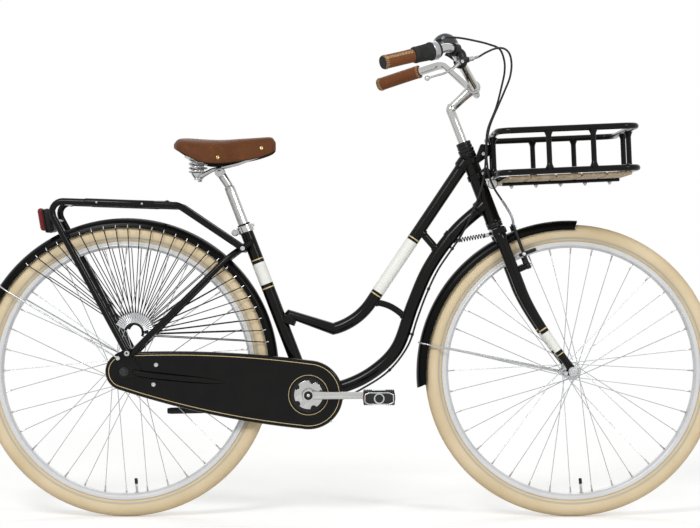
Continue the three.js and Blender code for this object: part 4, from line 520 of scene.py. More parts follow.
def rod(name, start, end, radius, sides=20):
    return tube(name, [start, end], radius, sides)


def chamfered(low, high, rim, outer, ease, hole=None):
    """The profile of a disc, or of a ring round a hole, with chamfered outer edges."""
    wall = [(rim, low), (outer, low + ease), (outer, high - ease), (rim, high)]
    return [(hole, low), *wall, (hole, high), (hole, low)] if hole else [(0.01, low), *wall, (0.01, high)]


def screw_head(place, axis, radius, height):
    """A domed head with a round-bottomed socket."""
    hole = radius * 0.5
    return turned(
        "head",
        [(0.01, -0.4), (radius * 0.96, -0.4), (radius, 0), (radius, height * 0.55), (radius * 0.82, height),
         (hole + 0.2, height * 1.04), (hole, height * 0.9), (hole * 0.9, height * 0.35),
         (0.01, height * 0.3)],
        place, axis, 20,
    )


def nut(place, axis, radius, height):
    """A six-sided nut with chamfered corners."""
    bpy.ops.mesh.primitive_cylinder_add(vertices=6, radius=radius * MM, depth=height * MM)
    piece = moved(bpy.context.object, spot((0, 0, height * MM / 2)))
    apply_modifier(piece, "BEVEL", width=radius * 0.09 * MM, segments=2, limit_method="ANGLE")
    return moved(piece, facing(place, axis))


black_paint = material_with(
    "gloss black enamel", (0.002, 0.002, 0.002), (0.0035, 0.0035, 0.003), (0.14, 0.2), 22, bump=0.006,
    shine=0.16
)
white_enamel = material_with("white enamel", (0.82, 0.825, 0.775), (0.78, 0.785, 0.735), (0.3, 0.42), 12,
                             shine=0.3)
gold_line = material_with(
    "gold lining", (0.62, 0.50, 0.27), (0.54, 0.42, 0.21), (0.34, 0.48), 60, metallic=0.25, bump=0.02,
    shine=0.3
)

TOP_START, TOP_STRAIGHT, TOP_BEND, TOP_TURN = on_steer(571.7, -10.64), 417, 158, 84
TOP_DOWN = -about(Vector((0, 0, 0)), 1 / MM, 56.1)
bend_start = TOP_START + TOP_DOWN * TOP_STRAIGHT * MM
bend_centre = bend_start + Vector((TOP_DOWN.z, 0, -TOP_DOWN.x)) * TOP_BEND * MM
bend = [about(bend_centre, TOP_BEND, -33.9 - i) for i in range(0, TOP_TURN + 1, 3)]
top_tube = [
    *straight(TOP_START, bend_start, 30)[:-1], *bend, *straight(bend[-1], mm(-150.38, 0, 473.62), 4)[1:],
]
down_end = on_steer(455.7, -6.33)
down_tube = even(smooth([
    CRANK + Vector(((down_end.x - CRANK.x) * a, 0, (down_end.z - CRANK.z) * b)) for a, b in (
        (0, 0), (0.221, 0.046), (0.373, 0.12), (0.499, 0.237), (0.594, 0.474), (0.686, 0.668),
        (0.833, 0.858), (1, 1),
    )
]), 100)


def on_down(share, below=0.0):
    """A place on the down tube's line or below it, and the heading there."""
    i = min(int(share * 100), 99)
    heading = (down_tube[i + 1] - down_tube[i]).normalized()
    place = down_tube[i].lerp(down_tube[i + 1], share * 100 - i)
    return place + SIDEWAYS.cross(heading).normalized() * below * MM, heading


def on_top(share):
    return TOP_START.lerp(bend_start, share)


frame_parts = [
    turned("bottom shell", chamfered(-35, 35, 20.4, 21, 0.8, 17), CRANK, SIDEWAYS),
    flared("seat tube", straight(CRANK, on_seat(446.6), 40), 16, (1.35, 0), 28),
    flared("top tube", top_tube, 15, (1.25, 1.12), 28),
    flared("down tube", down_tube, 16, (1.4, 1.22), 28),
    turned(
        "head tube",
        [(15.5, 405.7), (19.6, 405.7), (20, 406.5), (20, 412), (19, 414), (19, 576), (20, 578), (20, 583.9),
         (19.6, 584.7), (15.5, 584.7), (15.5, 405.7)],
        STEER_FOOT, STEER_UP,
    ),
    flared("upper strut", straight(on_top(0.485), on_down(0.76)[0], 8), 9, (1.75, 1.85)),
]
lower_top, lower_end = on_top(0.99), on_down(0.49)[0]
lower_middle = lower_top.lerp(lower_end, 0.5) + mm(0, 0, 9)
frame_parts.append(flared("lower strut", even(smooth([lower_top, lower_middle, lower_end], 6), 12), 8,
                          (2.1, 2.2)))
chain_stay = ((-105.5, 23.9, 304), (-159.5, 31.5, 315), (-190.9, 35, 319), (-300, 46.5, 331),
              (-499.7, 58.5, 352),
              (-519.5, 58.5, 357))
seat_stay = ((-238.9, 20, 673), (-290.2, 38, 637), (-338.2, 45, 591), (-442.9, 54, 487), (-529.5, 58.5, 398))


def stay_line(stay, side):
    return smooth([mm(x, y * side, z) for x, y, z in stay])


dropout = softened([
    (40, -10), (40, 8), (28, 26), (24, 56), (8, 56), (-2, 52), (-22, 42), (-22, 26), (-14, 12), (-16, -12),
    (-6, -18), (12, -16),
], 3.4, 3, REAR_AXLE)
for side in (-1, 1):
    chain_line, seat_line = stay_line(chain_stay, side), stay_line(seat_stay, side)
    taper = [8 - 1.6 * max(0, i / len(chain_line) - 0.55) for i in range(len(chain_line))]
    frame_parts += [
        tube("chain stay", chain_line, 8, 20, taper),
        flared("seat stay", seat_line, 7.5, (0, 0)),
        tube("stay shoulder", [mm(-238.9, 0, 673), seat_line[0]], 7.5),
        plate("dropout", dropout, side * 56, side * 61, 0.7),
        turned("weld ring", [(5.6, -3), (8.2, 0), (9.6, 4), (8.2, 8), (5.6, 11)],
               mm(-257.5, side * 23, 657.3), SIDEWAYS, 24),
    ]
    for at in (chain_line[-1], seat_line[-1]):
        frame_parts.append(
            turned("weld", [(0.01, -3), (7.6, -3), (8.2, 0), (6.4, 3.6), (3, 5.2), (0.01, 5.6)], at,
                   (REAR_AXLE - Vector((at.x, 0, at.z))).normalized(), 20)
        )
KICK = mm(-164.5, 0, 262)
frame_parts += [
    rod("stay bridge", mm(-290.2, -38, 637), mm(-290.2, 38, 637), 6),
    rod("bottom bridge", mm(-159.5, -31.5, 315), mm(-159.5, 31.5, 315), 6.4),
    rod("fender boss", mm(-290.2, 0, 637), mm(-297, 0, 629.5), 5),
    rod("rack lug", mm(-257.5, -42, 657.3), mm(-257.5, 42, 657.3), 7),
    plate("stand bracket", link_outline((-159.5, 315), 9, flat(KICK), 11), 20, 34, 1.2),
    rod("stand pin", KICK + mm(0, 22, 0), KICK + mm(0, 49, 0), 5),
    *[rod("cable clip", on_down(share, 12)[0], on_down(share, 17.4)[0], 3) for share in (0.44, 0.8)],
]
band_centre, band_heading = on_down(0.83)
frame_parts += [
    turned("spring band", chamfered(-7, 7, 17.4, 18, 0.7, 15), band_centre, band_heading, 40),
    rod("spring lug", band_centre, on_steer(397.7, -100), 4),
    screw_head(band_centre + mm(0, -17, 0), -SIDEWAYS, 4.2, 3),
]
finished("frame_painted", frame_parts, "frame", black_paint, "black_paint", "frame")


def sleeve(name, foot, axis, low, high, radius, material, slot):
    """A painted band: a closed skin just outside a round tube."""
    profile = [(radius - 0.6, low), (radius, low + 0.2), (radius, high - 0.2), (radius - 0.6, high)]
    finished(name, turned(name, profile, foot, axis, 40), "frame", material, slot)


for label, foot, axis, radius, low, high, rings in (
    ("seat_tube", CRANK, SEAT_UP, 16.4, 288.6, 344, (279, 353)),
    ("top_tube", TOP_START, TOP_DOWN, 15.6, 235.4, 386.4, (228, 394)),
):
    sleeve(label + "_white_band", foot, axis, low, high, radius, white_enamel, "black_paint")
    for i, at in enumerate(rings):
        sleeve(f"{label}_gold_ring_{i + 1}", foot, axis, at - 1.6, at + 1.6, radius, gold_line, "steel")

# Headset: three black stacked cups and rings on the steering axis.
black_plastic = material_with(
    "black plastic", (0.006, 0.006, 0.006), (0.010, 0.010, 0.010), (0.4, 0.56), 60, bump=0.15, shine=0.2
)
black_alloy = material_with(
    "black anodised alloy", (0.006, 0.006, 0.0065), (0.010, 0.010, 0.0105), (0.24, 0.36), 45, bump=0.04,
    shine=0.25
)
for name, body, part, profile in (
    ("headset_upper_cup", "frame", "headset_upper",
     [(13.3, 585), (19.2, 585), (20, 586), (20, 590), (19, 591), (19, 592), (20, 593), (20, 599),
      (18.6, 600.7),
      (13.3, 600.7), (13.3, 585)]),
    ("headset_lower_cup", "frame", "headset_lower",
     [(13.3, 393.5), (18.2, 393.5), (20, 395.4), (20, 398.6), (19, 399.4), (19, 400.4), (20, 401.2),
      (20, 404.4),
      (19.4, 405.4), (13.3, 405.4), (13.3, 393.5)]),
    ("headset_lock_rings", "steering", "headset_locknut",
     [(13.2, 601.2), (17.6, 601.2), (18.5, 602), (18.5, 608), (17.9, 608.8), (17.2, 609.2), (17.2, 610),
      (18.3, 610.6), (18.3, 616.4), (17.2, 617.7), (13.2, 617.7), (13.2, 601.2)]),
):
    finished(name, turned(name, profile, STEER_FOOT, STEER_UP), body, black_alloy, "black_plastic", part)

# Fork: black crown over two blades that taper and rake forward to flat ends, with the bosses and
# studs of the rim brake, a lug for the steering spring and the same white and gold bands.
BLADE_SIDE, STUD_SIDE, FORK_END_SIDE = 47, 40, 52.25


def blade_line(side):
    start, bow = on_steer(235, 0, side * BLADE_SIDE), on_steer(165, 0, side * 49.6)
    end = on_steer(16, 43.2, side * FORK_END_SIDE)
    lower = [start * (1 - t) ** 2 + bow * 2 * t * (1 - t) + end * t * t for t in (i / 24 for i in range(25))]
    return [on_steer(378.5 - 143.5 * i / 12, 0, side * BLADE_SIDE) for i in range(12)] + lower


def steer_height(place):
    return (place - STEER_FOOT).dot(STEER_UP) / MM


crown = [flat(on_steer(h, a)) for a, h in ((-17, 374.5), (-14, 393), (14, 393), (19, 388), (19, 374.5))]
fork_parts = [
    plate("crown", crown, -58.9, 58.9, 2.4),
    turned("steerer", [(0.01, 377), (12.7, 377), (12.7, 616), (11.2, 616.2), (11.2, 470), (0.01, 470)],
           STEER_FOOT, STEER_UP),
    rod("spring lug", on_steer(384), on_steer(384, -26), 4),
    rod("fender boss", on_steer(377.5), on_steer(366, -2), 5),
]
for side, label in ((-1, "right"), (1, "left")):
    line, radii = blade_line(side), [14] * 12 + [14 - 5 * i / 24 for i in range(25)]
    socket = [(13.6, 352), (15.2, 354), (15.6, 358), (15.6, 374), (14, 378), (12, 379)]
    fork_parts += [
        tube("blade", line, 14, 28, radii),
        turned("blade socket", socket, STEER_FOOT + mm(0, side * BLADE_SIDE, 0), STEER_UP, 32),
        plate("fork end", link_outline(flat(line[-2]), 8, (545.5, 358), 11), side * 50, side * 54.5),
        plate("fork eye", link_outline((545.5, 358), 9, (527.5, 354), 6), side * 50, side * 54.5),
        rod("brake boss", on_steer(277, 0, side * STUD_SIDE), on_steer(279, 32.8, side * STUD_SIDE), 7),
        rod("brake stud", on_steer(279, 0, side * STUD_SIDE), on_steer(279, 47, side * STUD_SIDE), 3.6),
    ]
    for kind, high, low, material, slot in (
        ("white_band", 113, 60, white_enamel, "black_paint"),
        ("gold_ring_1", 123.6, 120.4, gold_line, "steel"),
        ("gold_ring_2", 52.6, 49.4, gold_line, "steel"),
    ):
        span = [p for p in even(line, 480) if low <= steer_height(p) <= high]
        wide = [
            radii[min(range(len(line)), key=lambda i: abs(steer_height(line[i]) - steer_height(p)))] + 0.25
            for p in span
        ]
        name = f"fork_{label}_{kind}"
        finished(name, tube(name, span, wide[0], 28, wide), "steering", material, slot)
finished("fork_painted", fork_parts, "steering", black_paint, "black_paint", "fork")

# Wheels: alloy rims with brushed flanks, 36 steel spokes each, crossed three times, in nickelled
# nipples; a slim front hub and a wide rear hub that holds the gear and the coaster brake.
rim_alloy = material_with(
    "brushed rim alloy", (0.66, 0.665, 0.675), (0.60, 0.605, 0.615), (0.34, 0.46), 14, metallic=0.35,
    bump=0.02, shine=0.3
)
hub_alloy = material_with(
    "satin hub alloy", (0.52, 0.53, 0.54), (0.45, 0.46, 0.47), (0.26, 0.4), 30, metallic=0.9, bump=0.05
)
spoke_steel = material_with("spoke steel", (0.5, 0.51, 0.52), (0.4, 0.41, 0.42), (0.22, 0.36), 90,
                            metallic=1.0)
nickel = material_with(
    "nickel plate", (0.5, 0.49, 0.47), (0.36, 0.35, 0.34), (0.25, 0.42), 120, metallic=1.0, bump=0.1
)
bolt_steel = material_with(
    "zinc bolt steel", (0.58, 0.59, 0.6), (0.5, 0.51, 0.52), (0.28, 0.44), 60, metallic=0.8, bump=0.06
)
black_rubber = material_with(
    "black rubber", (0.018, 0.018, 0.018), (0.03, 0.03, 0.029), (0.7, 0.88), 70, bump=0.3, shine=0.2
)
RIM = there_and_back([
    (301, 0), (301.1, 5), (302.4, 8.4), (305, 12), (306.8, 13.5), (307.6, 14), (308.4, 13.7), (309, 13.9),
    (316.2, 14), (317, 13.3), (317.2, 12.2), (316.2, 11.4), (313.6, 10.9), (312.4, 8), (312.4, 0),
])
SPOKES_A_SIDE, CROSSING, HOLES, NIPPLE_RING, VALVE_ANGLE = 18, 60, 0.87, 298.6, 275


def wheel(end, axle, core, flange, apart, shell):
    """Rim, spokes, nipples, hub shell and valve of one wheel."""
    half, body = apart / 2, end + "_wheel"
    finished(end + "_rim_dressed", turned("rim", RIM, axle, SIDEWAYS, 160), body, rim_alloy, "alloy",
             end + "_rim")
    wires, nipples = [], []
    for side in (-1, 1):
        for k in range(SPOKES_A_SIDE):
            lead = -1 if k % 2 else 1
            turn = 20 * (k + (side > 0) / 2)
            hole = about(axle, HOLES * flange, turn, side * half)
            tip = about(axle, NIPPLE_RING, turn + lead * CROSSING, side * 1.6 * (2 + lead))
            out = SIDEWAYS * side * lead * MM
            start = hole + out * 2.8 + (tip - hole).normalized() * 2.4 * MM
            line = (hole - out * 3.6, hole, hole + out * 3, start, tip)
            wires.append(tube("spoke", line, 1.0, 8, [1.9, 1.0, 1.1, 1.0, 1.0]))
            profile = [(0.01, -13), (1.5, -13), (1.9, -12.4), (1.9, -2), (2.6, -1.4), (2.6, 1.6), (0.01, 1.8)]
            nipples.append(turned("nipple", profile, tip, (tip - start).normalized(), 8))
    finished(end + "_spokes", wires, body, spoke_steel, "steel")
    finished(end + "_nipples", nipples, body, nickel, "steel")
    profile = there_and_back([
        (5.6, shell), (core - 3, shell), (core - 1, shell - 1), (core, shell - 3), (core, half + 4),
        (core + 2, half + 2.6), (flange - 1, half + 2.2), (flange, half + 1.2), (flange, half - 1.2),
        (flange - 1, half - 2.2), (core + 2, half - 2.6), (core - 0.4, half - 6), (core - 1.6, half - 12),
        (core - 1.8, 4), (core - 0.6, 3), (core - 0.6, 0),
    ])
    hub = turned("hub", [*profile, profile[0]], axle, SIDEWAYS)
    finished(end + "_hub_shell", hub, body, hub_alloy, "alloy", end + "_hub")
    foot = about(axle, 301.4, VALVE_ANGLE)
    inward = (axle - foot).normalized()
    for name, profile, material, slot in (
        ("_valve", [(0.01, -6), (3, -6), (3, 0), (5.2, 0.2), (5.2, 1.6), (3, 2), (3, 24), (2.4, 25),
                    (0.01, 25)],
         nickel, "steel"),
        ("_valve_cap", [(0.01, 22), (3.8, 22), (4, 23), (4, 33), (3.2, 35.5), (0.01, 36)], black_rubber,
         "rubber"),
    ):
        finished(end + name, turned("valve", profile, foot, inward, 20), body, material, slot)


wheel("rear", REAR_AXLE, 28, 37, 54, 36)
wheel("front", FRONT_AXLE, 15, 22, 60, 38)

# Axles: threaded spindles with cones and locknuts inside the ends, washers and domed nuts outside;
# the rear one carries the coaster brake's arm, clipped to the left chain stay.


def spindle(end, axle, radius, space, wall, body, material, extra=()):
    shaft = chamfered(-space - 12.8, space + 12.8, radius - 0.7, radius, 0.8)
    parts = [turned("spindle", shaft, axle, SIDEWAYS, 32)]
    for side in (-1, 1):
        out = SIDEWAYS * side
        face, inner = axle + out * (space + wall + 0.2) * MM, axle + out * (space - 0.4) * MM
        parts += [
            turned("washer", [(radius, 0), (11, 0), (11, 1.2), (radius, 1.4), (radius, 0)], face, out, 32),
            nut(face + out * 1.4 * MM, out, 9, 6.4),
            turned("cap", [(8.2, 7.4), (7.4, 8.4), (radius + 0.4, 8.8), (radius, 8)], face, out, 32),
        ]
        for r, low, high, sides in ((8.4, 3.2, 6.4, 6), (7.6, 6.8, 10.4, 24)):
            cone = [(radius, -low), (r, -low), (r, -high), (radius, -high), (radius, -low)]
            parts.append(turned("cone", cone, inner, out, sides))
    finished(end + "_axle_dressed", [*parts, *extra], body, material, "steel", end + "_axle")


dark_steel = material_with(
    "blackened steel", (0.05, 0.05, 0.052), (0.03, 0.03, 0.032), (0.26, 0.4), 60, metallic=0.8, bump=0.06
)
arm_end = REAR_AXLE + (mm(-300, 0, 331) - REAR_AXLE).normalized() * 150 * MM
spindle("rear", REAR_AXLE, 5, 56, 5, "frame", dark_steel, [
    plate("coaster arm", link_outline(flat(REAR_AXLE), 12.8, flat(arm_end), 9), 37.1, 39.9),
    nut(arm_end + mm(0, 39.9, 0), SIDEWAYS, 5.5, 3.6),
])
spindle("front", FRONT_AXLE, 4.75, 50, 4.5, "steering", bolt_steel)

# Stem: a polished forged quill with an elbow, an arm that widens to the split clamp and its bolt.
polished_alloy = material_with(
    "polished alloy", (0.52, 0.52, 0.51), (0.47, 0.47, 0.46), (0.12, 0.2), 16, metallic=0.9, bump=0.006
)
chrome = material_with("chrome plate", (0.50, 0.50, 0.49), (0.46, 0.46, 0.45), (0.05, 0.1), 14, metallic=1.0)
BAR_CENTRE = on_steer(733.7, 71.2)


def skin(name, rings, last_cap=True, first_cap=True):
    """A skin through closed rings of points, with flat ends."""
    count, after = len(rings[0]), (len(rings) - 1) * len(rings[0])
    faces = [
        (r * count + i, r * count + (i + 1) % count, (r + 1) * count + (i + 1) % count, (r + 1) * count + i)
        for r in range(len(rings) - 1) for i in range(count)
    ]
    if first_cap:
        faces.append(tuple(range(count)))
    if last_cap:
        faces.append(tuple(after + i for i in range(count)))
    return closed_up(active_mesh(name, [p for ring in rings for p in ring], (), faces))


def oval_bar(name, points, wide, thick, normal, sides=20):
    """A bar of oval section along points: widths and thicknesses in millimetres, one a point."""
    rings = []
    for i, p in enumerate(points):
        heading = (points[min(i + 1, len(points) - 1)] - points[max(i - 1, 0)]).normalized()
        across = heading.cross(normal).normalized()
        up = across.cross(heading).normalized()
        rings.append([
            p + (across * cos(a) * wide[i] + up * sin(a) * thick[i]) * MM / 2
            for a in (2 * pi * k / sides for k in range(sides))
        ])
    return skin(name, rings)


def spread(values, count):
    """Values read off evenly along a short list, count of them."""
    last, read = len(values) - 1, []
    for i in range(count):
        place = last * i / (count - 1)
        k = min(int(place), last - 1)
        read.append(values[k] * (1 - (place - k)) + values[k + 1] * (place - k))
    return read


elbow = rounded([on_steer(560), on_steer(705), BAR_CENTRE], 12)
arm = straight(elbow[-2], elbow[-1], 8)[1:-1]
pinch = on_steer(713.7, 73.2)
stem_parts = [
    tube("quill", straight(elbow[0], elbow[1], 6)[:-1] + elbow[1:-1] + arm, 11, 32,
         [11] * 6 + [11 + 1.4 * sin(pi * i / 8) for i in range(9)] + spread([11.2, 11.6, 13.4], 7)),
    turned("clamp", chamfered(-22, 22, 15.8, 17, 1.4, 11.2), BAR_CENTRE, SIDEWAYS, 48),
    screw_head(on_steer(714.4, 3.2), STEER_UP, 6.4, 3.6),
    *[plate("ear", link_outline(flat(BAR_CENTRE), 13, flat(pinch), 7.4), low, high, 1)
      for low, high in ((-10, -0.9), (0.9, 10))],
    screw_head(pinch + mm(0, -10, 0), -SIDEWAYS, 5.2, 4.4),
    nut(pinch + mm(0, 10, 0), SIDEWAYS, 5.4, 4),
]
finished("stem_dressed", stem_parts, "steering", polished_alloy, "alloy", "stem")

# Handlebar: one chromed tube, rising from the clamp, bent out and swept back to the grips.


def bar_corners(side):
    corners = ((0, 0, 0), (0, 45, 0), (-62.6, 206, 80.2), (-223.6, 292, 34.2))
    return [BAR_CENTRE + mm(x, side * y, z) for x, y, z in corners]


bar_line = rounded([*reversed(bar_corners(-1)[1:]), *bar_corners(1)[1:]], 48, 12)
finished("handlebar_dressed", tube("bar", bar_line, 11, 32), "steering", chrome, "chrome", "handlebar")


class Along:
    """Places by a straight stretch: the distance along it, down from its middle and out."""

    def __init__(self, bend, end):
        self.bend, self.end = bend, end
        self.line = (end - bend).normalized()
        self.down = (self.line * self.line.z - UPWARD).normalized()
        self.out = self.line.cross(self.down).normalized()
        self.length = (end - bend).length / MM

    def at(self, distance, down=0.0, out=0.0):
        return self.bend + (self.line * distance + self.down * down + self.out * out) * MM

    def ring(self, distance, radius, turn):
        return self.at(distance, radius * cos(turn), radius * sin(turn))


RIGHT_GRIP, LEFT_GRIP = (Along(*bar_corners(side)[2:]) for side in (-1, 1))

# Grips: brown leather sleeves with a pale cross-stitched seam on top, a stitched end and a black
# plug; the left one is longer.
grain = new_group("leather grain", {"Scale": 900.0}, ("Pebble", "Patch", "Scuff"))
node(grain, "coords", "TexCoord")
node(grain, "pebble", "TexVoronoi")
node(grain, "patch", "TexNoise", {"Scale": 22, "Detail": 5})
node(grain, "scuff", "TexNoise", {"Scale": 75, "Detail": 8, "Roughness": 0.7})
node(grain, "scuff level", "MapRange", {"From Min": 0.56, "From Max": 0.72})
wire(
    grain, "coords.Object > pebble.Vector", "coords.Object > patch.Vector", "coords.Object > scuff.Vector",
    "in.Scale > pebble.Scale", "scuff.Fac > scuff level.Value", "pebble.Distance > out.Pebble",
    "patch.Fac > out.Patch", "scuff level.0 > out.Scuff",
)


def leather_material(name, dark, light, scuffed, scale, amount):
    """Oiled leather: pebbled grain, cloudy colour and paler rubbed places."""
    material, tree = new_material(name, {"Specular IOR Level": 0.12})
    node(tree, "hide", "Group", {"Scale": scale}, node_tree=grain)
    node(tree, "cloud", "Mix", {"A": (*dark, 1), "B": (*light, 1)}, data_type="RGBA")
    node(tree, "share", "Math", {1: amount}, operation="MULTIPLY")
    node(tree, "rubbed", "Mix", {"B": (*scuffed, 1)}, data_type="RGBA")
    node(tree, "relief", "Bump", {"Strength": 0.35, "Distance": 0.0005})
    node(tree, "gloss", "MapRange", {"To Min": 0.38, "To Max": 0.62})
    wire(
        tree, "hide.Patch > cloud.Factor", "hide.Scuff > share.0", "share.0 > rubbed.Factor",
        "cloud.Result > rubbed.A", "rubbed.Result > Principled BSDF.Base Color",
        "hide.Pebble > relief.Height",
        "relief.Normal > Principled BSDF.Normal", "hide.Patch > gloss.Value",
        "gloss.0 > Principled BSDF.Roughness",
    )
    return material


grip_leather = leather_material(
    "grip leather", (0.128, 0.043, 0.0145), (0.18, 0.065, 0.0225), (0.24, 0.11, 0.05), 1100, 0.25
)
thread = material_with("waxed thread", (0.66, 0.48, 0.28), (0.55, 0.38, 0.2), (0.6, 0.8), 300, bump=0.4)
STITCH, END_STITCHES = 4.2, 26


def grip(label, place, start, seam):
    """A sleeve with its end ring of stitches, its seam on top and its plug."""
    length = place.length - start
    profile = [
        (11.6, 0), (15.2, 0), (16.1, 0.8), (16.5, 2.4), (16.2, 6), (16.0, length * 0.4), (16.3, length - 12),
        (16.5, length - 3), (16.1, length + 1.2), (15.4, length + 2), (11.6, length + 2), (11.6, 0),
    ]
    finished(f"grip_{label}_sleeve", turned("sleeve", profile, place.at(start), place.line), "steering",
             grip_leather, "leather", f"grip_{label}")
    profile = [(0.01, -20), (10.6, -20), (10.6, 0), (13, 2), (15, 2.1), (15.4, 3), (14.6, 4.4), (9, 5),
               (0.01, 5)]
    finished(f"grip_{label}_plug", turned("plug", profile, place.end, place.line, 48), "steering",
             black_rubber, "rubber")
    lines = []
    for i in range(int(length / STITCH)):
        low = start + 4 + i * STITCH
        for a, b in ((-3.6, 3.6), (3.6, -3.6)):
            lines.append([
                place.ring(low + STITCH * t, -16.25 - 0.5 * sin(pi * t), -((a + (b - a) * t) / 16.4 + seam))
                for t in (0, 0.25, 0.5, 0.75, 1)
            ])
    outer = ((-6.5, 16.2), (-4, 16.95), (-1, 16.95), (1.2, 16.3), (2.1, 15.5))
    inner = ((0.3, 15.6), (0.9, 16.4), (3.2, 16.85), (5.6, 16.4))
    for foot, lean, stitch in ((place.length, 0.05, outer), (start, -0.05, inner if label == "left" else ())):
        for i in range(END_STITCHES if stitch else 0):
            turn = 2 * pi * i / END_STITCHES
            lines.append([place.ring(foot + s, r, turn + lean * (k - 2)) for k, (s, r) in enumerate(stitch)])
    stitches = [tube("stitch", line, 0.45, 6) for line in lines]
    finished(f"grip_{label}_stitching", stitches, "steering", thread, "leather")


grip("right", RIGHT_GRIP, 108.5, 0.95)
grip("left", LEFT_GRIP, LEFT_GRIP.length - 118, 0)

# Shifter: a ribbed rubber twist sleeve with a raised collar, turning against a housing clamped on
# the bar, with a silver trim, a clear window and the cable's outlet.
silver_paint = material_with(
    "silver trim", (0.42, 0.43, 0.44), (0.34, 0.35, 0.36), (0.25, 0.4), 60, metallic=0.7, bump=0.08
)
satin_grey = material_with(
    "satin grey alloy", (0.30, 0.31, 0.32), (0.2, 0.21, 0.22), (0.25, 0.42), 50, metallic=1.0, bump=0.1
)
TWIST_RIBS, RIB_DEPTH, BORE = 26, 1.5, 11.8
twist_profile = [
    (58.2, 21.0, 0), (59, 21.9, 0), (62, 22, 0), (63.4, 21.4, 0), (64, 20.6, 0), (66, 20.4, 1), (80, 19.8, 1),
    (96, 19.4, 1), (99, 19.4, 0), (103, 19.8, 0), (106, 19, 0), (107.8, 17.6, 0),
]


def ribbed(name, place, profile, ribs, depth, sides_per_rib):
    """A sleeve whose outside carries lengthwise ribs between smooth collars."""
    turns = [2 * pi * i / (ribs * sides_per_rib) for i in range(ribs * sides_per_rib)]
    hollow = [(profile[-1][0], BORE, 0), (profile[0][0], BORE, 0)]
    rings = [
        [place.ring(along, radius - depth * share * (1 - (0.5 - 0.5 * cos(ribs * turn)) ** 0.6), turn)
         for turn in turns]
        for along, radius, share in (*profile, *hollow, profile[0])
    ]
    return skin(name, rings, False, False)


finished("twist_sleeve", ribbed("sleeve", RIGHT_GRIP, twist_profile, TWIST_RIBS, RIB_DEPTH, 4),
         "shifter_twist",
         black_rubber, "black_plastic", "shifter_twist", angle=40)
housing_profile = [
    (11.9, 35), (15.5, 35), (18, 36.2), (19.6, 39), (20, 44), (20, 52.6), (20, 57.4), (11.9, 57.4),
    (11.9, 35),
]
housing_parts = [
    turned("housing", housing_profile, RIGHT_GRIP.bend, RIGHT_GRIP.line, 56),
    tube("cable outlet", smooth([RIGHT_GRIP.at(50, -15), RIGHT_GRIP.at(38, -18.8),
                                 RIGHT_GRIP.at(25.4, -22)], 6),
         5, 20, [6.4] * 5 + [5.2] * 4 + [4.5] * 4),
]
finished("shifter_housing_dressed", housing_parts, "steering", black_plastic, "dark_steel", "shifter_housing")
trim = [(19.7, 43.6), (21.6, 43.8), (22.3, 45), (21.9, 56.4), (21.2, 57.3), (19.7, 57.4), (19.7, 43.6)]
finished("shifter_trim", turned("trim", trim, RIGHT_GRIP.bend, RIGHT_GRIP.line), "steering", silver_paint,
         "dark_steel")
clear_window, tree = new_material("smoked window", {"Roughness": 0.06, "Coat Weight": 0.8})
node(tree, "cloud", "TexNoise", {"Scale": 200})
node(tree, "tint", "Mix", {"A": (0.05, 0.055, 0.06, 1), "B": (0.09, 0.095, 0.1, 1)}, data_type="RGBA")
wire(tree, "cloud.Fac > tint.Factor", "tint.Result > Principled BSDF.Base Color")
window = [(0.01, 0), (6.4, 0), (7.2, 0.6), (7, 2), (4.6, 3.2), (0.01, 3.6)]
finished("shifter_window", turned("window", window, RIGHT_GRIP.at(46, -19.2), -RIGHT_GRIP.down, 28),
         "steering",
         clear_window, "clear_lens")

# Brake lever: a black bracket clamped inside the bend, a grey pressed lever with a ball end on a
# pin, and a barrel adjuster with a lock ring where the cable leaves.
LEVER_PIVOT, LEVER_TIP = RIGHT_GRIP.at(-14, 40), RIGHT_GRIP.at(84, 59)
LEVER_AXIS = RIGHT_GRIP.down.cross(RIGHT_GRIP.line).normalized()
BRAKE_EXIT = LEVER_PIVOT + mm(34, 6, 10)
stations = rounded(bar_corners(-1), 48, 3)
band_heading = (stations[7] - stations[6]).normalized()
band_place = stations[6] - band_heading * 8 * MM
bracket_end = LEVER_PIVOT + mm(8, 2, 4)
to_pivot = even(smooth([band_place, band_place.lerp(bracket_end, 0.5) + mm(6, 0, 3), bracket_end], 6), 10)
exit_heading = (BRAKE_EXIT - LEVER_PIVOT).normalized()
bracket_parts = [
    turned("band", chamfered(-9, 9, 15, 16.5, 1.4, 11.8), band_place, band_heading, 40),
    oval_bar("arm", to_pivot[2:], spread([19, 22, 21, 18], 9), spread([17, 15, 14, 13], 9), LEVER_AXIS, 28),
    turned("barrel seat", [(0.01, -27), (6.4, -27), (7, -24), (6.6, -16), (5, -15), (0.01, -15)],
           BRAKE_EXIT, exit_heading, 28),
]
for sign in (-1, 1):
    low = LEVER_PIVOT + LEVER_AXIS * sign * 8.2 * MM
    bracket_parts.append(
        oval_bar("cheek", [low + mm(-5, -2, -3), low, low + mm(10, 2, 5), low + mm(17, 3, 8)],
                 [10, 15, 14, 8], [3, 3.4, 3.4, 3], LEVER_AXIS, 20)
    )
finished("brake_bracket_dressed", bracket_parts, "steering", black_alloy, "black_plastic", "brake_bracket")
adjuster = [turned("adjuster", profile, BRAKE_EXIT, exit_heading, sides) for profile, sides in (
    ([(0.01, -17), (3.4, -17), (3.4, -7), (0.01, -7)], 20),
    ([(3, -14.5), (5.6, -14.5), (5.8, -14), (5.8, -12.2), (5.6, -11.8), (3, -11.8), (3, -14.5)], 14),
    ([(0.01, -10.5), (5, -10.5), (5.6, -9.8), (5.6, -3.4), (4.8, -2.6), (4.2, -0.2), (0.01, -0.2)], 14),
)]
finished("brake_adjuster", adjuster, "steering", polished_alloy, "alloy", angle=20)
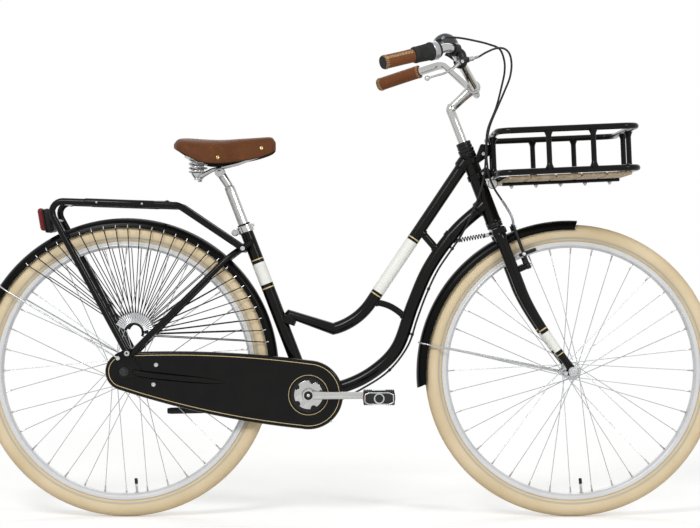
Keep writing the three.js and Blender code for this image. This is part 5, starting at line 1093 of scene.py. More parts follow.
pin_parts = [
    screw_head(LEVER_PIVOT + LEVER_AXIS * 9.9 * MM, LEVER_AXIS, 4, 2),
    screw_head(LEVER_PIVOT - LEVER_AXIS * 9.9 * MM, -LEVER_AXIS, 4, 2),
    screw_head(band_place + RIGHT_GRIP.down * 16 * MM, RIGHT_GRIP.down, 3.6, 3),
]
finished("brake_bracket_screws", pin_parts, "steering", bolt_steel, "steel")
blade = [LEVER_PIVOT, RIGHT_GRIP.at(8, 50), RIGHT_GRIP.at(34, 57), RIGHT_GRIP.at(62, 58), LEVER_TIP]
ball = [(6.5 * sin(pi * i / 16), -6.5 * cos(pi * i / 16)) for i in range(1, 16)]
lever_parts = [
    oval_bar("lever blade", even(smooth(blade), 26), spread([10, 13, 12, 10.6, 10, 9, 7], 27),
             spread([10, 8, 6, 5.4, 5.4, 5.6, 6.4], 27), RIGHT_GRIP.down, 24),
    turned("pivot boss", chamfered(-7.8, 7.8, 6.4, 7, 0.6), LEVER_PIVOT, LEVER_AXIS, 32),
    turned("ball", [(0.01, -6.5), *ball, (0.01, 6.5)], LEVER_TIP, RIGHT_GRIP.line, 32),
]
finished("brake_lever_dressed", lever_parts, "brake_lever", hub_alloy, "dark_steel", "brake_lever")

# Bell: a dark polished dome and a lighter chrome skirt, partly a painted reflection of the floor on the
# lower band, on a black base, clamped on the rising stretch of the bar, rung by a thumb lever.
clamp_start, clamp_end = bar_corners(-1)[1:3]
BELL_BAR = clamp_start.lerp(clamp_end, 0.62)
BELL = BELL_BAR + mm(-36, 0, 31.5)
BELL_PIN = BELL + mm(-12, -14, -16)
dark_chrome = material_with(
    "black chrome", (0.075, 0.077, 0.081), (0.06, 0.062, 0.066), (0.12, 0.2), 30, metallic=0.9
)
# On the skirt this lighter chrome is partly a painted floor reflection; the thumb lever wears it plainly.
grey_chrome_and_painted_reflection = material_with("grey chrome", (0.16, 0.162, 0.168), (0.12, 0.122, 0.128), (0.16, 0.26), 40,
                            metallic=0.9)
inside = [(31 * cos(radians(a)), 36 * sin(radians(a))) for a in range(14, 90, 8)]
outside = [(33 * cos(radians(a)), 38 * sin(radians(a))) for a in range(14, 90, 4)]
dome = [(0.01, 35.8), *reversed(inside), (31.4, 7.6), (32.6, 8.2), *outside, (0.01, 37.9)]
skirt = [
    (31.2, 8.4), (32.7, 8.4), (33, 7.4), (33, 2.2), (32.6, 1), (31.6, 0.2), (30.8, 0.4), (30.9, 4),
    (31.2, 8.4),
]
finished("bell_dome_dressed", turned("dome", dome, BELL, UPWARD, 72), "steering", dark_chrome, "dark_steel",
         "bell_dome", angle=30)
# The skirt: lighter chrome, partly a painted reflection of the floor on the bell's lower band.
finished("bell_skirt", turned("skirt", skirt, BELL, UPWARD, 72), "steering", grey_chrome_and_painted_reflection, "dark_steel")
bell_parts = [
    turned("bell clamp", chamfered(-6, 6, 15, 16, 1, 11.7), BELL_BAR,
           (clamp_end - clamp_start).normalized(), 40),
    turned("bell base", [(0.01, -6), (25.6, -6), (27, -4.8), (27, -3), (24, -2), (0.01, -2)], BELL,
           UPWARD, 56),
    turned("bell post", [(0.01, -4), (3, -4), (3, 33.6), (0.01, 34)], BELL, UPWARD, 20),
    oval_bar("bell arm", [BELL_BAR.lerp(BELL + mm(0, 0, -5), t) for t in (0.12, 0.4, 0.7, 0.9)],
             [16, 15, 16, 20], [12, 11, 11, 12], SIDEWAYS, 24),
    rod("bell pin", BELL_PIN, BELL_PIN + mm(0, 0, 12), 3),
    screw_head(BELL_BAR + mm(0, -9, -13.4), mm(0, -9, -13.4).normalized(), 3.4, 2.8),
]
finished("bell_base_dressed", bell_parts, "steering", black_plastic, "black_plastic", "bell_base")
pin_x, pin_y, pin_z = BELL_PIN / MM
thumb = plate("thumb", link_outline((pin_x, pin_y), 7, (pin_x - 12, pin_y - 22), 5), 6.4 - BELL.z / MM,
              -2.2 - pin_z, 1.6)
moved(thumb, Matrix.Rotation(radians(-90), 4, "X"))
finished("bell_lever_dressed", thumb, "bell_lever", grey_chrome_and_painted_reflection, "chrome", "bell_lever")

# Seat post: a chromed alloy post with fine lengthwise flutes and a narrower neck, held in the seat
# tube by a polished collar whose quick-release lever lies across it.
SADDLE_CLAMP, POST_HEAD = mm(-315.45, 0, 838.05), mm(-315.45, 0, 844.05)
CLAMP_BOLT = mm(-278.78, 0, 695.81)
FLUTES, FLUTE_DEPTH = 28, 0.3
post_chrome = material_with(
    "fluted post alloy", (0.50, 0.50, 0.495), (0.45, 0.45, 0.445), (0.16, 0.24), 16, metallic=0.95
)
post_profile = [
    (276.6, 12.7, 0), (440, 12.7, 0), (448, 12.7, 1), (528, 12.7, 1), (536, 12.7, 0), (540.4, 12.5, 0),
    (541, 11.4, 0),
]
post_parts = [
    ribbed("post", Along(CRANK, on_seat(600)), post_profile, FLUTES, FLUTE_DEPTH, 6),
    tube("neck", [on_seat(533), on_seat(548), POST_HEAD], 11, 28, [11, 10.2, 11]),
    turned("neck ring", [(10, 541), (12.2, 541.6), (12.4, 544), (10.4, 546.5)], CRANK, SEAT_UP, 36),
    turned("head", chamfered(-10.9, 10.9, 10.4, 11, 0.7), POST_HEAD, SIDEWAYS, 40),
]
finished("seat_post_dressed", post_parts, "seat_post", post_chrome, "chrome", "seat_post", angle=25)
ear = link_outline(flat(on_seat(433.6, -23.5)), 7, flat(CLAMP_BOLT), 7)
collar_parts = [
    turned("collar", chamfered(424.6, 442.6, 19, 20, 1.2, 16.3), CRANK, SEAT_UP, 56),
    rod("bolt", CLAMP_BOLT + mm(0, -17, 0), CLAMP_BOLT + mm(0, 17, 0), 3, 16),
    turned("nut", [(3, -17), (6.6, -17), (8, -15.6), (8, -11), (6.8, -10.1), (3, -10.1), (3, -17)],
           CLAMP_BOLT, SIDEWAYS, 32),
    *[plate("ear", ear, side * 9 - 1.5, side * 9 + 1.5, 0.5) for side in (-1, 1)],
]
finished("seat_collar_dressed", collar_parts, "frame", polished_alloy, "alloy", "seat_clamp")
tip = CLAMP_BOLT + (SEAT_AHEAD * 50 + SEAT_UP * 3) * MM
blade = [CLAMP_BOLT.lerp(tip, i / 14) + mm(0, 25 - 2.6 * sin(pi * i / 14), 0) for i in range(15)]
lever_parts = [
    turned("cam", [(3.3, 13.5), (7, 13.5), (8, 14.6), (8, 25.6), (7, 26.8), (3.3, 26.8), (3.3, 13.5)],
           CLAMP_BOLT, SIDEWAYS, 36),
    oval_bar("blade", blade, spread([8, 9.4, 8, 7.2, 7.6, 6], 15), spread([3, 3.6, 3.4, 3], 15),
             SIDEWAYS, 20),
]
finished("seat_clamp_lever_dressed", lever_parts, "seat_clamp_lever", polished_alloy, "alloy",
         "seat_clamp_lever")

# Saddle: a broad sprung saddle of thick brown leather, moulded over a steel frame and riveted at
# the flanks and nose, with a black lining whose edge shows below the leather.
SADDLE_REAR, SADDLE_LONG, SADDLE_WIDE, SADDLE_TOP, RIM_POINTS = -109.4, 247, 206, 90, 41
saddle_run = smooth([Vector(s) for s in (
    (0, 0.55, 0.86, 0.7), (0.05, 0.86, 0.975, 0.6), (0.14, 1, 1, 0.46), (0.29, 0.97, 0.985, 0.28),
    (0.44, 0.78, 0.97, 0.26), (0.64, 0.47, 0.985, 0.33), (0.84, 0.34, 1.02, 0.45), (0.95, 0.29, 1.03, 0.56),
    (0.99, 0.2, 0.92, 0.64),
)], 7)


def by_saddle(x, y, z):
    return SADDLE_CLAMP + mm(x, y, z)


def saddle_ring(station, inset, drop):
    place, width, top, edge = station
    half, high, low = width * SADDLE_WIDE / 2 - inset, top * SADDLE_TOP - inset, edge * SADDLE_TOP - drop
    ring = []
    for i in range(RIM_POINTS):
        turn = pi * i / (RIM_POINTS - 1)
        across = copysign(abs(cos(turn)) ** 0.8, cos(turn))
        rise = sin(turn) ** 0.55 if 0 < i < RIM_POINTS - 1 else 0
        dish = 3.4 * exp(-(across / 0.42) ** 2) * max(0, sin(pi * min(1, place / 0.62)))
        ring.append(by_saddle(SADDLE_REAR + place * SADDLE_LONG, half * across,
                              low + (high - low - dish) * rise))
    return ring


def saddle_skin(name, inset, drop, thickness):
    """The moulded cover as an open shell with its own thickness."""
    ends = []
    for (place, width, top, edge), shift, shrink in ((saddle_run[0], -0.006, 0.72),
                                                     (saddle_run[-1], 0.008, 0.6)):
        middle, half = (top + edge) / 2, (top - edge) / 2 * (shrink + 0.1)
        ends.append((place + shift, width * shrink, middle + half, middle - half))
    rings = [saddle_ring(s, inset, drop) for s in (ends[0], *saddle_run, ends[1])]
    count, last = len(rings[0]), len(rings) - 1
    faces = [
        (r * count + i, r * count + i + 1, (r + 1) * count + i + 1, (r + 1) * count + i)
        for r in range(last) for i in range(count - 1)
    ]
    faces += [tuple(range(count)), tuple(last * count + i for i in range(count))]
    piece = closed_up(active_mesh(name, [p for ring in rings for p in ring], (), faces))
    apply_modifier(piece, "SOLIDIFY", thickness=thickness * MM, offset=-1, use_even_offset=False)
    apply_modifier(piece, "SMOOTH", factor=0.5, iterations=2)
    return apply_modifier(piece, "SUBSURF", levels=1)


saddle_leather = leather_material(
    "saddle leather", (0.082, 0.026, 0.0085), (0.145, 0.052, 0.017), (0.24, 0.105, 0.045), 650, 0.3
)
lining = leather_material(
    "black lining", (0.012, 0.011, 0.01), (0.02, 0.018, 0.016), (0.03, 0.028, 0.026), 800, 0.2
)
brass = material_with("brass", (0.62, 0.48, 0.22), (0.45, 0.33, 0.14), (0.2, 0.36), 120, metallic=1.0)
finished("saddle_cover_leather", saddle_skin("cover", 0, 0, 3.2), "saddle", saddle_leather, "leather",
         "saddle_cover", angle=60)
finished("saddle_lining", saddle_skin("lining", 2.6, 1.6, 1.6), "saddle", lining, "leather", angle=60)
rivets = []
for share, k in ((0.43, 1), (0.852, 3)):
    i = min(range(len(saddle_run)), key=lambda i: abs(saddle_run[i][0] - share))
    ring, after = saddle_ring(saddle_run[i], 0, 0), saddle_ring(saddle_run[i + 1], 0, 0)
    for at, sign in ((k, 1), (RIM_POINTS - 1 - k, -1)):
        outward = (ring[at + 1] - ring[at - 1]).cross(after[at] - ring[at]).normalized()
        if outward.y * sign < 0:
            outward.negate()
        profile = [(0.01, -1.4), (4.6, -1.4), (4.6, 0.2), (4, 1), (2.6, 1.5), (1.5, 1.2), (0.01, 1.0)]
        rivets.append(turned("rivet", profile, ring[at], outward, 24))
finished("saddle_rivets", rivets, "saddle", brass, "steel")
SPRING_X, SPRING_SIDE = -54, 60
cantle_outline = [
    (-28, -72), (-30, -30), (-30, 30), (-28, 72), (-14, 84), (12, 82), (26, 60), (24, 20), (20, 0), (24, -20),
    (26, -60), (12, -82), (-14, -84),
]
nose_outline = [(-14, -20), (-14, 20), (12, 17), (15, 0), (12, -17)]
underplates = []
for outline, radius, place in ((cantle_outline, 5, (SPRING_X, 0, 42)), (nose_outline, 4, (116, 0, 60))):
    underplate = plate("underplate", softened(outline, radius), -1.4, 1.4, 0.6)
    underplates.append(moved(underplate, spot(by_saddle(*place)), Matrix.Rotation(radians(90), 4, "X")))
finished("saddle_underplates", underplates, "saddle", bolt_steel, "steel")
rail_parts = [
    rod("nose bar", by_saddle(116, -10, 54.6), by_saddle(116, 10, 54.6), 3.5),
    tube("rear bar", rounded([by_saddle(SPRING_X, -SPRING_SIDE, -7), by_saddle(SPRING_X - 1, 0, -7),
                              by_saddle(SPRING_X, SPRING_SIDE, -7)], 40, 4), 3.5),
]
spring_seat = [(0.01, -11), (5, -10.4), (9, -6), (12.6, 0), (13, 1.4), (12, 2), (0.01, 2)]
cheek = [(0.01, 0), (11, 0), (12, 0.8), (12, 5), (11.2, 6), (11.2, 8), (12, 9), (12, 15.6), (11, 17),
         (7.6, 17.5),
         (0.01, 17.5)]
for side in (-1, 1):
    out, cheek_foot = SIDEWAYS * side, POST_HEAD + mm(0, side * 11.4, 0)
    rail = [(116, side * 9, 54), (42, side * 20, 27), (-20, side * 24, 12),
            (SPRING_X, side * (SPRING_SIDE - 14), -7)]
    rail_parts += [
        tube("rail", rounded([by_saddle(*p) for p in rail], 22), 3.5),
        turned("spring seat", spring_seat, by_saddle(SPRING_X, side * SPRING_SIDE, 0), UPWARD, 32),
        nut(by_saddle(SPRING_X, side * SPRING_SIDE, -15), UPWARD, 6, 4.6),
        turned("clamp cheek", cheek, cheek_foot, out, 40),
        nut(cheek_foot + out * 14.4 * MM, out, 6.6, 3.2),
    ]
finished("saddle_rails_dressed", rail_parts, "saddle", post_chrome, "steel", "saddle_rails")


def helix(name, low, high, radius, wire_radius, turns, closed_ends=0.0):
    """A coil spring between two places, with this share of its turns closed at each end."""
    heading = (high - low).normalized()
    side = heading.orthogonal().normalized()
    across = heading.cross(side)
    steps = int(turns * 28)
    line = []
    for i in range(steps + 1):
        lift = min(1, max(0, (i / steps - closed_ends) / (1 - 2 * closed_ends)))
        turn = 2 * pi * turns * i / steps
        line.append(low.lerp(high, lift) + (side * cos(turn) + across * sin(turn)) * radius * MM)
    return tube(name, line, wire_radius, 12)


for side, label in ((-1, "right"), (1, "left")):
    foot, top = by_saddle(SPRING_X, side * SPRING_SIDE, 5), by_saddle(SPRING_X, side * SPRING_SIDE, 37.2)
    finished(f"saddle_spring_{label}_dressed", helix("spring", foot, top, 16.6, 2.5, 4.2, 0.12), "saddle",
             post_chrome, "steel", f"saddle_spring_{label}")

# Rear rack: bent steel tube in gloss black from the seat stays over the wheel and down to the
# dropouts, with two cross rows, two long rods and a bar for the lamp.
RACK_BOLT, RACK_FOOT, RACK_SIDE = mm(-257.5, 0, 657.3), mm(-536.5, 0, 403), 70
rack_parts, rack_screws = [], []
for side in (-1, 1):
    out = SIDEWAYS * side
    line = rounded([RACK_BOLT + out * 50.3 * MM, mm(-413, side * RACK_SIDE, 762),
                    mm(-737, side * RACK_SIDE, 773),
                    RACK_FOOT + out * 69.3 * MM], 26)
    raised = [mm(-470 - 170 * t, side * RACK_SIDE, 764.2 + 5.8 * t) for t in (0, 0.02, 0.98, 1)]
    rack_parts += [
        tube("rack side", line, 8, 28),
        turned("rack eye", chamfered(42.3, 58, 9.2, 10, 0.8), RACK_BOLT, out, 32),
        tube("raised stretch", raised, 9, 28, [8.2, 9, 9, 8.2]),
        turned("foot", [(0.01, -3), (9, -3), (9, 2), (6.4, 4), (0.01, 4.6)], line[-1],
               (line[-1] - line[-2]).normalized(), 28),
    ]
    rack_screws += [
        screw_head(RACK_BOLT + out * 58 * MM, out, 6, 3.6),
        screw_head(mm(-500, side * 78.6, 765.2), out, 2.6, 1.6),
        screw_head(mm(-610, side * 78.6, 768.9), out, 2.6, 1.6),
        screw_head(RACK_FOOT + out * 77 * MM, out, 6.6, 3.2),
    ]
for name, start, end, radius, buried, sides in (
    ("row", (-690, -70, 768), (-690, 70, 768), 4.8, 1.7, 16),
    ("row", (-440, -70, 768), (-440, 70, 768), 4.8, 1.7, 16),
    ("long rod", (-440, -26, 769), (-690, -26, 772), 4.8, 1, 16),
    ("long rod", (-440, 26, 769), (-690, 26, 772), 4.8, 1, 16),
    ("lamp bar", (-713, -70, 725), (-713, 70, 725), 5.6, 1.5, 20),
):
    rack_parts.append(flared(name, straight(mm(*start), mm(*end), 12), radius, (buried, buried), sides))
finished("rear_rack_dressed", rack_parts, "frame", black_paint, "black_paint", "rear_rack")
finished("rack_screws", rack_screws, "frame", bolt_steel, "steel")

# Tail lamp: a black moulded housing on the lamp bar behind a ribbed red lens.
LAMP_TILT = Matrix.Rotation(radians(-10), 4, "Y")
HOUSING, LENS = spot(mm(-732, 0, 726)) @ LAMP_TILT, spot(mm(-747.4, 0, 728)) @ LAMP_TILT


def block(name, size, edge, segments, *moves):
    """A moulded block with rounded edges, put in its place by these moves."""
    bpy.ops.mesh.primitive_cube_add(size=1)
    piece = moved(bpy.context.object, Matrix.Diagonal((*(s * MM for s in size), 1)))
    piece.name = name
    apply_modifier(piece, "BEVEL", width=edge * MM, segments=segments, limit_method="ANGLE")
    return moved(piece, *moves)


housing = [
    block("housing", (22, 92, 58), 10, 5, HOUSING),
    block("rib", (4, 92, 58), 1.8, 3, HOUSING, spot(mm(-9, 0, 0))),
    block("bracket", (8.5, 40, 11), 2, 3, spot(mm(-723, 0, 725))),
]
finished("tail_light_housing_dressed", housing, "frame", black_plastic, "black_plastic", "tail_light_housing")
lens = [block("lens", (15.6, 88, 56), 7.6, 6, LENS)]
lens += [block("rib", (1.6, 78, 2.2), 0.7, 2, LENS, spot(mm(-7.3, 0, -18 + 6 * i))) for i in range(7)]
red_glass = material_with("red lens", (0.12, 0.002, 0.003), (0.18, 0.003, 0.004), (0.12, 0.2), 120, shine=0.3)
finished("tail_light_lens_dressed", lens, "frame", red_glass, "red_lens", "tail_light_lens")

# Fenders: rolled steel blades in gloss black with beaded edges, held by wire stays with eyes.
FENDER_RADIUS, FENDER_HALF, FENDER_DEPTH, FENDER_WALL = 373.5, 29.5, 22, 1.6
FENDER_STEPS, BEAD, WIRE = 120, 1.7, 2
FRONT_FENDER_CENTRE = mm(540.5, 0, 352)
fender_paint = material_with(
    "fender enamel", (0.002, 0.002, 0.002), (0.0035, 0.0035, 0.003), (0.2, 0.28), 22, bump=0.006, shine=0.07
)
section = even(smooth([
    Vector((x, y, 0)) for x, y in ((-1, 1), (-0.84, 0.36), (-0.4, 0.02), (0.4, 0.02), (0.84, 0.36), (1, 1))
]), 26)


def fender(end, centre, first, last, leans, body):
    """A blade as a skin through rings from its first to its last angle, with a bead along each edge."""
    rings, beads = [], [[], []]
    for i in range(FENDER_STEPS + 1):
        t = i / FENDER_STEPS
        turn = first + (last - first) * t
        lean = leans[0] * max(0, 1 - t * 40) + leans[1] * max(0, 1 - (1 - t) * 40)
        rings.append([
            about(centre, FENDER_RADIUS - wall - s.y * (FENDER_DEPTH - wall), turn + lean * s.y,
                  s.x * (FENDER_HALF - wall * min(1, s.y * 2)))
            for wall, shape in ((0, section), (FENDER_WALL, section[::-1])) for s in shape
        ])
        for line, sign in zip(beads, (-1, 1)):
            line.append(about(centre, FENDER_RADIUS - FENDER_DEPTH + 1.2, turn, sign * (FENDER_HALF - 1.4)))
    parts = [skin("blade", rings), *[tube("bead", line[1:-1], BEAD, 10) for line in beads]]
    finished(f"{end}_fender_dressed", parts, body, fender_paint, "black_paint", f"{end}_fender", angle=50)


fender("rear", REAR_AXLE, 3, 188, (0, 0), "frame")
fender("front", FRONT_FENDER_CENTRE, 87, 185.5, (1.3, -1.2), "steering")


def fender_stay(end, eye_x, eye_z, wall, centre, degrees, body):
    """A wire up one side, over the blade and down the other, flattened to an eye at each bolt."""
    over = [
        about(centre, FENDER_RADIUS - down * FENDER_DEPTH + 2.3 * (1 - down), degrees,
              across * (FENDER_HALF + 2.3))
        for across, down in ((-1, 0.95), (-0.84, 0.3), (-0.4, 0), (0.4, 0), (0.84, 0.3), (1, 0.95))
    ]
    lows = [mm(eye_x, side * (wall + 3.8), eye_z) for side in (-1, 1)]
    parts, bolts = [tube("wire", rounded([lows[0], *over, lows[1]], 5, 4), WIRE, 12)], []
    for side in (-1, 1):
        face, out = mm(eye_x, side * (wall + 0.3), eye_z), SIDEWAYS * side
        eye = [(0.01, 0), (4.2, 0), (4.4, 0.6), (4.4, 4.4), (4.0, 5), (0.01, 5)]
        parts.append(turned("eye", eye, face, out, 24))
        bolts.append(screw_head(face + out * 5 * MM, out, 5.4, 2.6))
    finished(f"{end}_fender_stay_dressed", parts, body, spoke_steel, "steel", f"{end}_fender_stay")
    finished(f"{end}_fender_stay_bolts", bolts, body, bolt_steel, "steel")


fender_stay("rear", -559.5, 391, 61, REAR_AXLE, 146, "frame")
fender_stay("front", 527.5, 354, 54.5, FRONT_FENDER_CENTRE, 168.5, "steering")

# Skirt guards: black elastic strings in pairs from bright hooks on the rear fender's edge to a
# moulded half ring inside each seat stay.
GUARD_RING = mm(-523, 0, 452)
STRINGS, FIRST_STRING, LAST_STRING = 26, 11.6, 132.6
cord_black = material_with(
    "elastic cord", (0.005, 0.005, 0.005), (0.009, 0.0085, 0.008), (0.6, 0.8), 400, bump=0.3, shine=0.15
)
coils = [(0.01, 1.5), *[(2.0 + 0.35 * (k % 2), 2 + k * 1.4) for k in range(18)], (0.01, 27)]
knot = [(0.01, -1.8), (1.3, -1.4), (1.7, 0), (1.3, 1.4), (0.01, 1.8)]
peg = [(0.01, -0.4), (2.2, -0.4), (2.2, 0.8), (1.4, 1.4), (0.01, 1.6)]
for side, label in ((-1, "right"), (1, "left")):
    strings, hooks = [], []
    for i in range(STRINGS):
        share = i / (STRINGS - 1)
        own = FIRST_STRING + (LAST_STRING - FIRST_STRING) * share
        hook = about(REAR_AXLE, 350.5, own, side * 31.7)
        end = about(GUARD_RING, 22, -20 + 180 * share, side * 38)
        heading, edge = (hook - end).normalized(), about(REAR_AXLE, 351.6, own, side * 30)
        outward = (edge - REAR_AXLE).normalized() * MM
        strings += [
            rod("string", end, hook, 1.15, 8),
            *[turned("knot", knot, hook - heading * back * MM, heading, 8) for back in (6, 24)],
        ]
        line = [edge + mm(0, side * 0.4, 0) + outward * 6, edge + mm(0, side * 1.6, 0),
                edge + mm(0, side * 2.2, 0) - outward * 2]
        hooks += [turned("string spring", coils, end, heading, 8), tube("hook", line, 1.1, 8)]
    outline = [flat(about(GUARD_RING, 25, -25 + 190 * k / 24)) for k in range(25)]
    outline += [flat(about(GUARD_RING, 18.5, 165 - 190 * k / 24)) for k in range(25)]
    tab = [GUARD_RING + mm(x, side * y, z) for x, y, z in ((20, 38, 2), (29, 41, 2.4), (33, 44, 3))]
    pegs = [about(GUARD_RING, 21.8, -20 + 180 * (2 * k + 0.5) / (STRINGS - 1), side * 40) for k in range(13)]
    ring_parts = [
        plate("half ring", outline, side * 36, side * 40, 0.9),
        *[turned("peg", peg, at, SIDEWAYS * side, 12) for at in pegs],
        oval_bar("tab", tab, [12, 9, 8], [4, 4, 5], UPWARD, 20),
    ]
    name = f"skirt_guard_{label}"
    finished(name + "_strings", strings, "frame", cord_black, "black_cord", name)
    finished(name + "_half_ring", ring_parts, "frame", black_plastic, "black_plastic")
    finished(name + "_hooks", hooks, "frame", bolt_steel, "steel")

# Chain case: two pressed halves in gloss black meeting at a beaded seam, lined with a gold
# pinstripe, fixed with small screws, with a gold-rimmed window round the cranks and an axle hole.
CASE_FRONT, CASE_REAR, CASE_TOP_BULGE, CASE_LOW_BULGE, ARC_STEPS, SIDE_STEPS = 83.6, 46, 10, 12, 36, 24
CASE_OUTER, CASE_INNER, CHAIN_LINE, CASE_WALL, CASE_WINDOW, SHOULDER = -55.4, -36.5, -46, 1.5, 45, 5.2


def case_line(inset, y):
    """The case's outline at this y, this far inside its edge."""
    span = REAR_AXLE - CRANK
    heading, lean = atan2(span.z, span.x), acos((CASE_FRONT - CASE_REAR) * MM / span.length)
    top, bottom = heading - lean, heading + lean

    def arc(centre, radius, first, last):
        turns = [first + (last - first) * i / ARC_STEPS for i in range(ARC_STEPS + 1)]
        return [centre + mm((radius - inset) * cos(a), y, (radius - inset) * sin(a)) for a in turns]

    def bulged(a, b, bulge, angle):
        shares = [i / SIDE_STEPS for i in range(1, SIDE_STEPS)]
        return [a.lerp(b, t) + mm(cos(angle), 0, sin(angle)) * 4 * bulge * t * (1 - t) for t in shares]

    front, rear = arc(CRANK, CASE_FRONT, bottom - 2 * pi, top), arc(REAR_AXLE, CASE_REAR, top, bottom)
    upper = bulged(front[-1], rear[0], CASE_TOP_BULGE, top)
    return [*front, *upper, *rear, *bulged(rear[-1], front[0], CASE_LOW_BULGE, bottom)]


def cut(cutter, *pieces):
    """Takes a cutter's space out of the pieces."""
    for piece in pieces:
        apply_modifier(piece, "BOOLEAN", operation="DIFFERENCE", solver="EXACT", object=cutter)
    bpy.data.objects.remove(cutter)


def drilled(piece, centre, y, radius, sides=96):
    """Cuts a round hole through a piece that lies at this y."""
    bpy.ops.mesh.primitive_cylinder_add(
        vertices=sides, radius=radius * MM, depth=0.03, location=centre + SIDEWAYS * y * MM,
        rotation=(pi / 2, 0, 0)
    )
    cut(bpy.context.object, piece)


def case_half(face, parting, holes, *others):
    """A pressed shell: flat face with round holes, shoulder and wall, with the stays' space left free."""
    turn = 1 if parting > face else -1
    profile = [
        (0, abs(parting - face)), (0, SHOULDER), (SHOULDER * 0.12, SHOULDER * 0.5),
        (SHOULDER * 0.45, SHOULDER * 0.14), (SHOULDER, 0), (SHOULDER + 6, 0),
    ]
    shell = skin("case", [case_line(inset, face + turn * depth) for inset, depth in profile], True, False)
    apply_modifier(shell, "SOLIDIFY", thickness=CASE_WALL * MM, offset=-1)
    for centre, radius in holes:
        drilled(shell, centre, face, radius)
    for stay in (chain_stay, seat_stay):
        line = stay_line(stay, -1)
        cut(tube("stay space", [line[0] + (line[0] - line[1]) * 0.2, *line], 9, 24), shell, *others)
    return shell


seam = tube("seam", case_line(0.4, CHAIN_LINE - 1.4), 1.1, 8, cyclic=True)
outer_half = case_half(CASE_OUTER, CHAIN_LINE - 0.2, ((CRANK, CASE_WINDOW), (REAR_AXLE, 12)), seam)
window_centre = CRANK + mm(0, CASE_OUTER, 0)
lip = [(CASE_WINDOW + r, y) for r, y in (
    (0, 0.2), (2.6, -0.1), (2.2, -1.2), (0.6, -1.4), (-0.6, -0.4), (-0.6, 2), (0, 2), (0, 0.2),
)]
outer_parts = [outer_half, turned("window lip", lip, window_centre, SIDEWAYS, 96), seam]
finished("chain_case_outer_dressed", outer_parts, "frame", black_paint, "black_paint", "chain_case_outer")
inner_half = case_half(CASE_INNER, CHAIN_LINE + 0.2, ((CRANK, 24.5), (REAR_AXLE, 34)))
finished("chain_case_inner_dressed", inner_half, "frame", black_paint, "black_paint", "chain_case_inner")
stripe_edges = ((7.6, -0.12), (9.1, -0.12), (9.1, 0.08), (7.6, 0.08), (7.6, -0.12))
stripe = [case_line(inset, CASE_OUTER + y) for inset, y in stripe_edges]
finished("chain_case_pinstripe", skin("stripe", stripe, False, False), "frame", gold_line, "steel")
ring = [(CASE_WINDOW + r, y) for r, y in ((2.6, -0.14), (3.9, -0.14), (3.9, 0.1), (2.6, 0.1), (2.6, -0.14))]
finished("chain_case_window_ring", turned("ring", ring, window_centre, SIDEWAYS, 96), "frame", gold_line,
         "steel")
case_screws = [
    screw_head(mm(x, CASE_OUTER, z), -SIDEWAYS, radius, height) for x, z, radius, height in (
        (-467.977, 373.993, 5.4, 2.4), (-474.051, 326.612, 5.4, 2.4), (-538.44, 401.935, 5.4, 2.4),
        (-556.663, 386.141, 5.4, 2.4), (-42.766, 236.71, 2.6, 1.3),
    )
]
finished("chain_case_screws", case_screws, "frame", bolt_steel, "steel")

# Chain, ring and sprocket: half-inch roller chain round a toothed ring on a five-armed spider and a
# toothed sprocket on the hub.
RING_PITCH, SPROCKET_PITCH, HALF_INCH = 72.9, 32.6, 12.7
chain_steel = material_with(
    "oiled chain steel", (0.16, 0.15, 0.14), (0.09, 0.085, 0.08), (0.3, 0.5), 140, metallic=1.0, bump=0.2
)
loop = [mm(x, CHAIN_LINE, z) for x, z in link_outline(flat(CRANK), RING_PITCH, flat(REAR_AXLE),
                                                      SPROCKET_PITCH, 60)]
loop.append(loop[0])
links = 2 * round(sum((b - a).length for a, b in zip(loop, loop[1:])) / MM / (2 * HALF_INCH))
pins = even(loop, links)
roller = [
    (0.01, -3.9), (1.8, -3.9), (1.8, -2), (3.4, -1.9), (3.4, 1.9), (1.8, 2), (1.8, 3.9), (0.01, 3.9),
]
chain_parts = []
for i, (pin, after) in enumerate(zip(pins, pins[1:])):
    chain_parts.append(turned("roller", roller, pin, SIDEWAYS, 10))
    for sign in (-1, 1):
        y = CHAIN_LINE + sign * (3.3 if i % 2 else 2.3)
        chain_parts.append(plate("link", link_outline(flat(pin), 3.8, flat(after), 3.6, 4), y - 0.45,
                                 y + 0.45, 0))
finished("chain_dressed", chain_parts, "frame", chain_steel, "steel", "chain")


def toothed(name, centre, teeth, pitch_radius, inside, low, high):
    """A ring with chain teeth round it."""
    outline = [
        (pitch_radius + rise, 360 * (i + share) / teeth) for i in range(teeth)
        for share, rise in ((0, -3.3), (0.16, -3), (0.34, 0.9), (0.5, 2.4), (0.66, 0.9), (0.84, -3))
    ]
    rings = [[about(centre, radius, turn, y) for radius, turn in outline] for y in (low, high)]
    rings += [[about(centre, inside, point[1], y) for point in outline] for y in (high, low)]
    return skin(name, [*rings, rings[0]], False, False)


ring_parts = [toothed("ring", CRANK, 36, RING_PITCH, 27, -47.4, -45.2)]
ring_parts += [screw_head(about(CRANK, 46, 54 + 72 * i, -47.4), -SIDEWAYS, 4, 1.2) for i in range(5)]
finished("chainring_teeth", ring_parts, "cranks", black_alloy, "dark_steel")
SPIDER_RADIUS, NOTCH_RADIUS, FIRST_NOTCH = 35, 7.2, 3
spider_outline = []
for i in range(5):
    notch = FIRST_NOTCH + 72 * i
    middle = about(CRANK, SPIDER_RADIUS, notch)
    spider_outline += [about(middle, NOTCH_RADIUS, notch - 98 - 164 * step / 9) for step in range(10)]
    spider_outline += [about(CRANK, SPIDER_RADIUS, notch + 13.5 + 45 * step / 9) for step in range(10)]
spider = plate("spider", [flat(p) for p in spider_outline], -48.6, -45.4, 0.5)
drilled(spider, CRANK, CHAIN_LINE, 16.6, 48)
finished("chainring_dressed", spider, "cranks", polished_alloy, "alloy", "chainring")
boss = [(6, -44.6), (13, -44.6), (14, -43.6), (14, -36.8), (6, -36.8), (6, -44.6)]
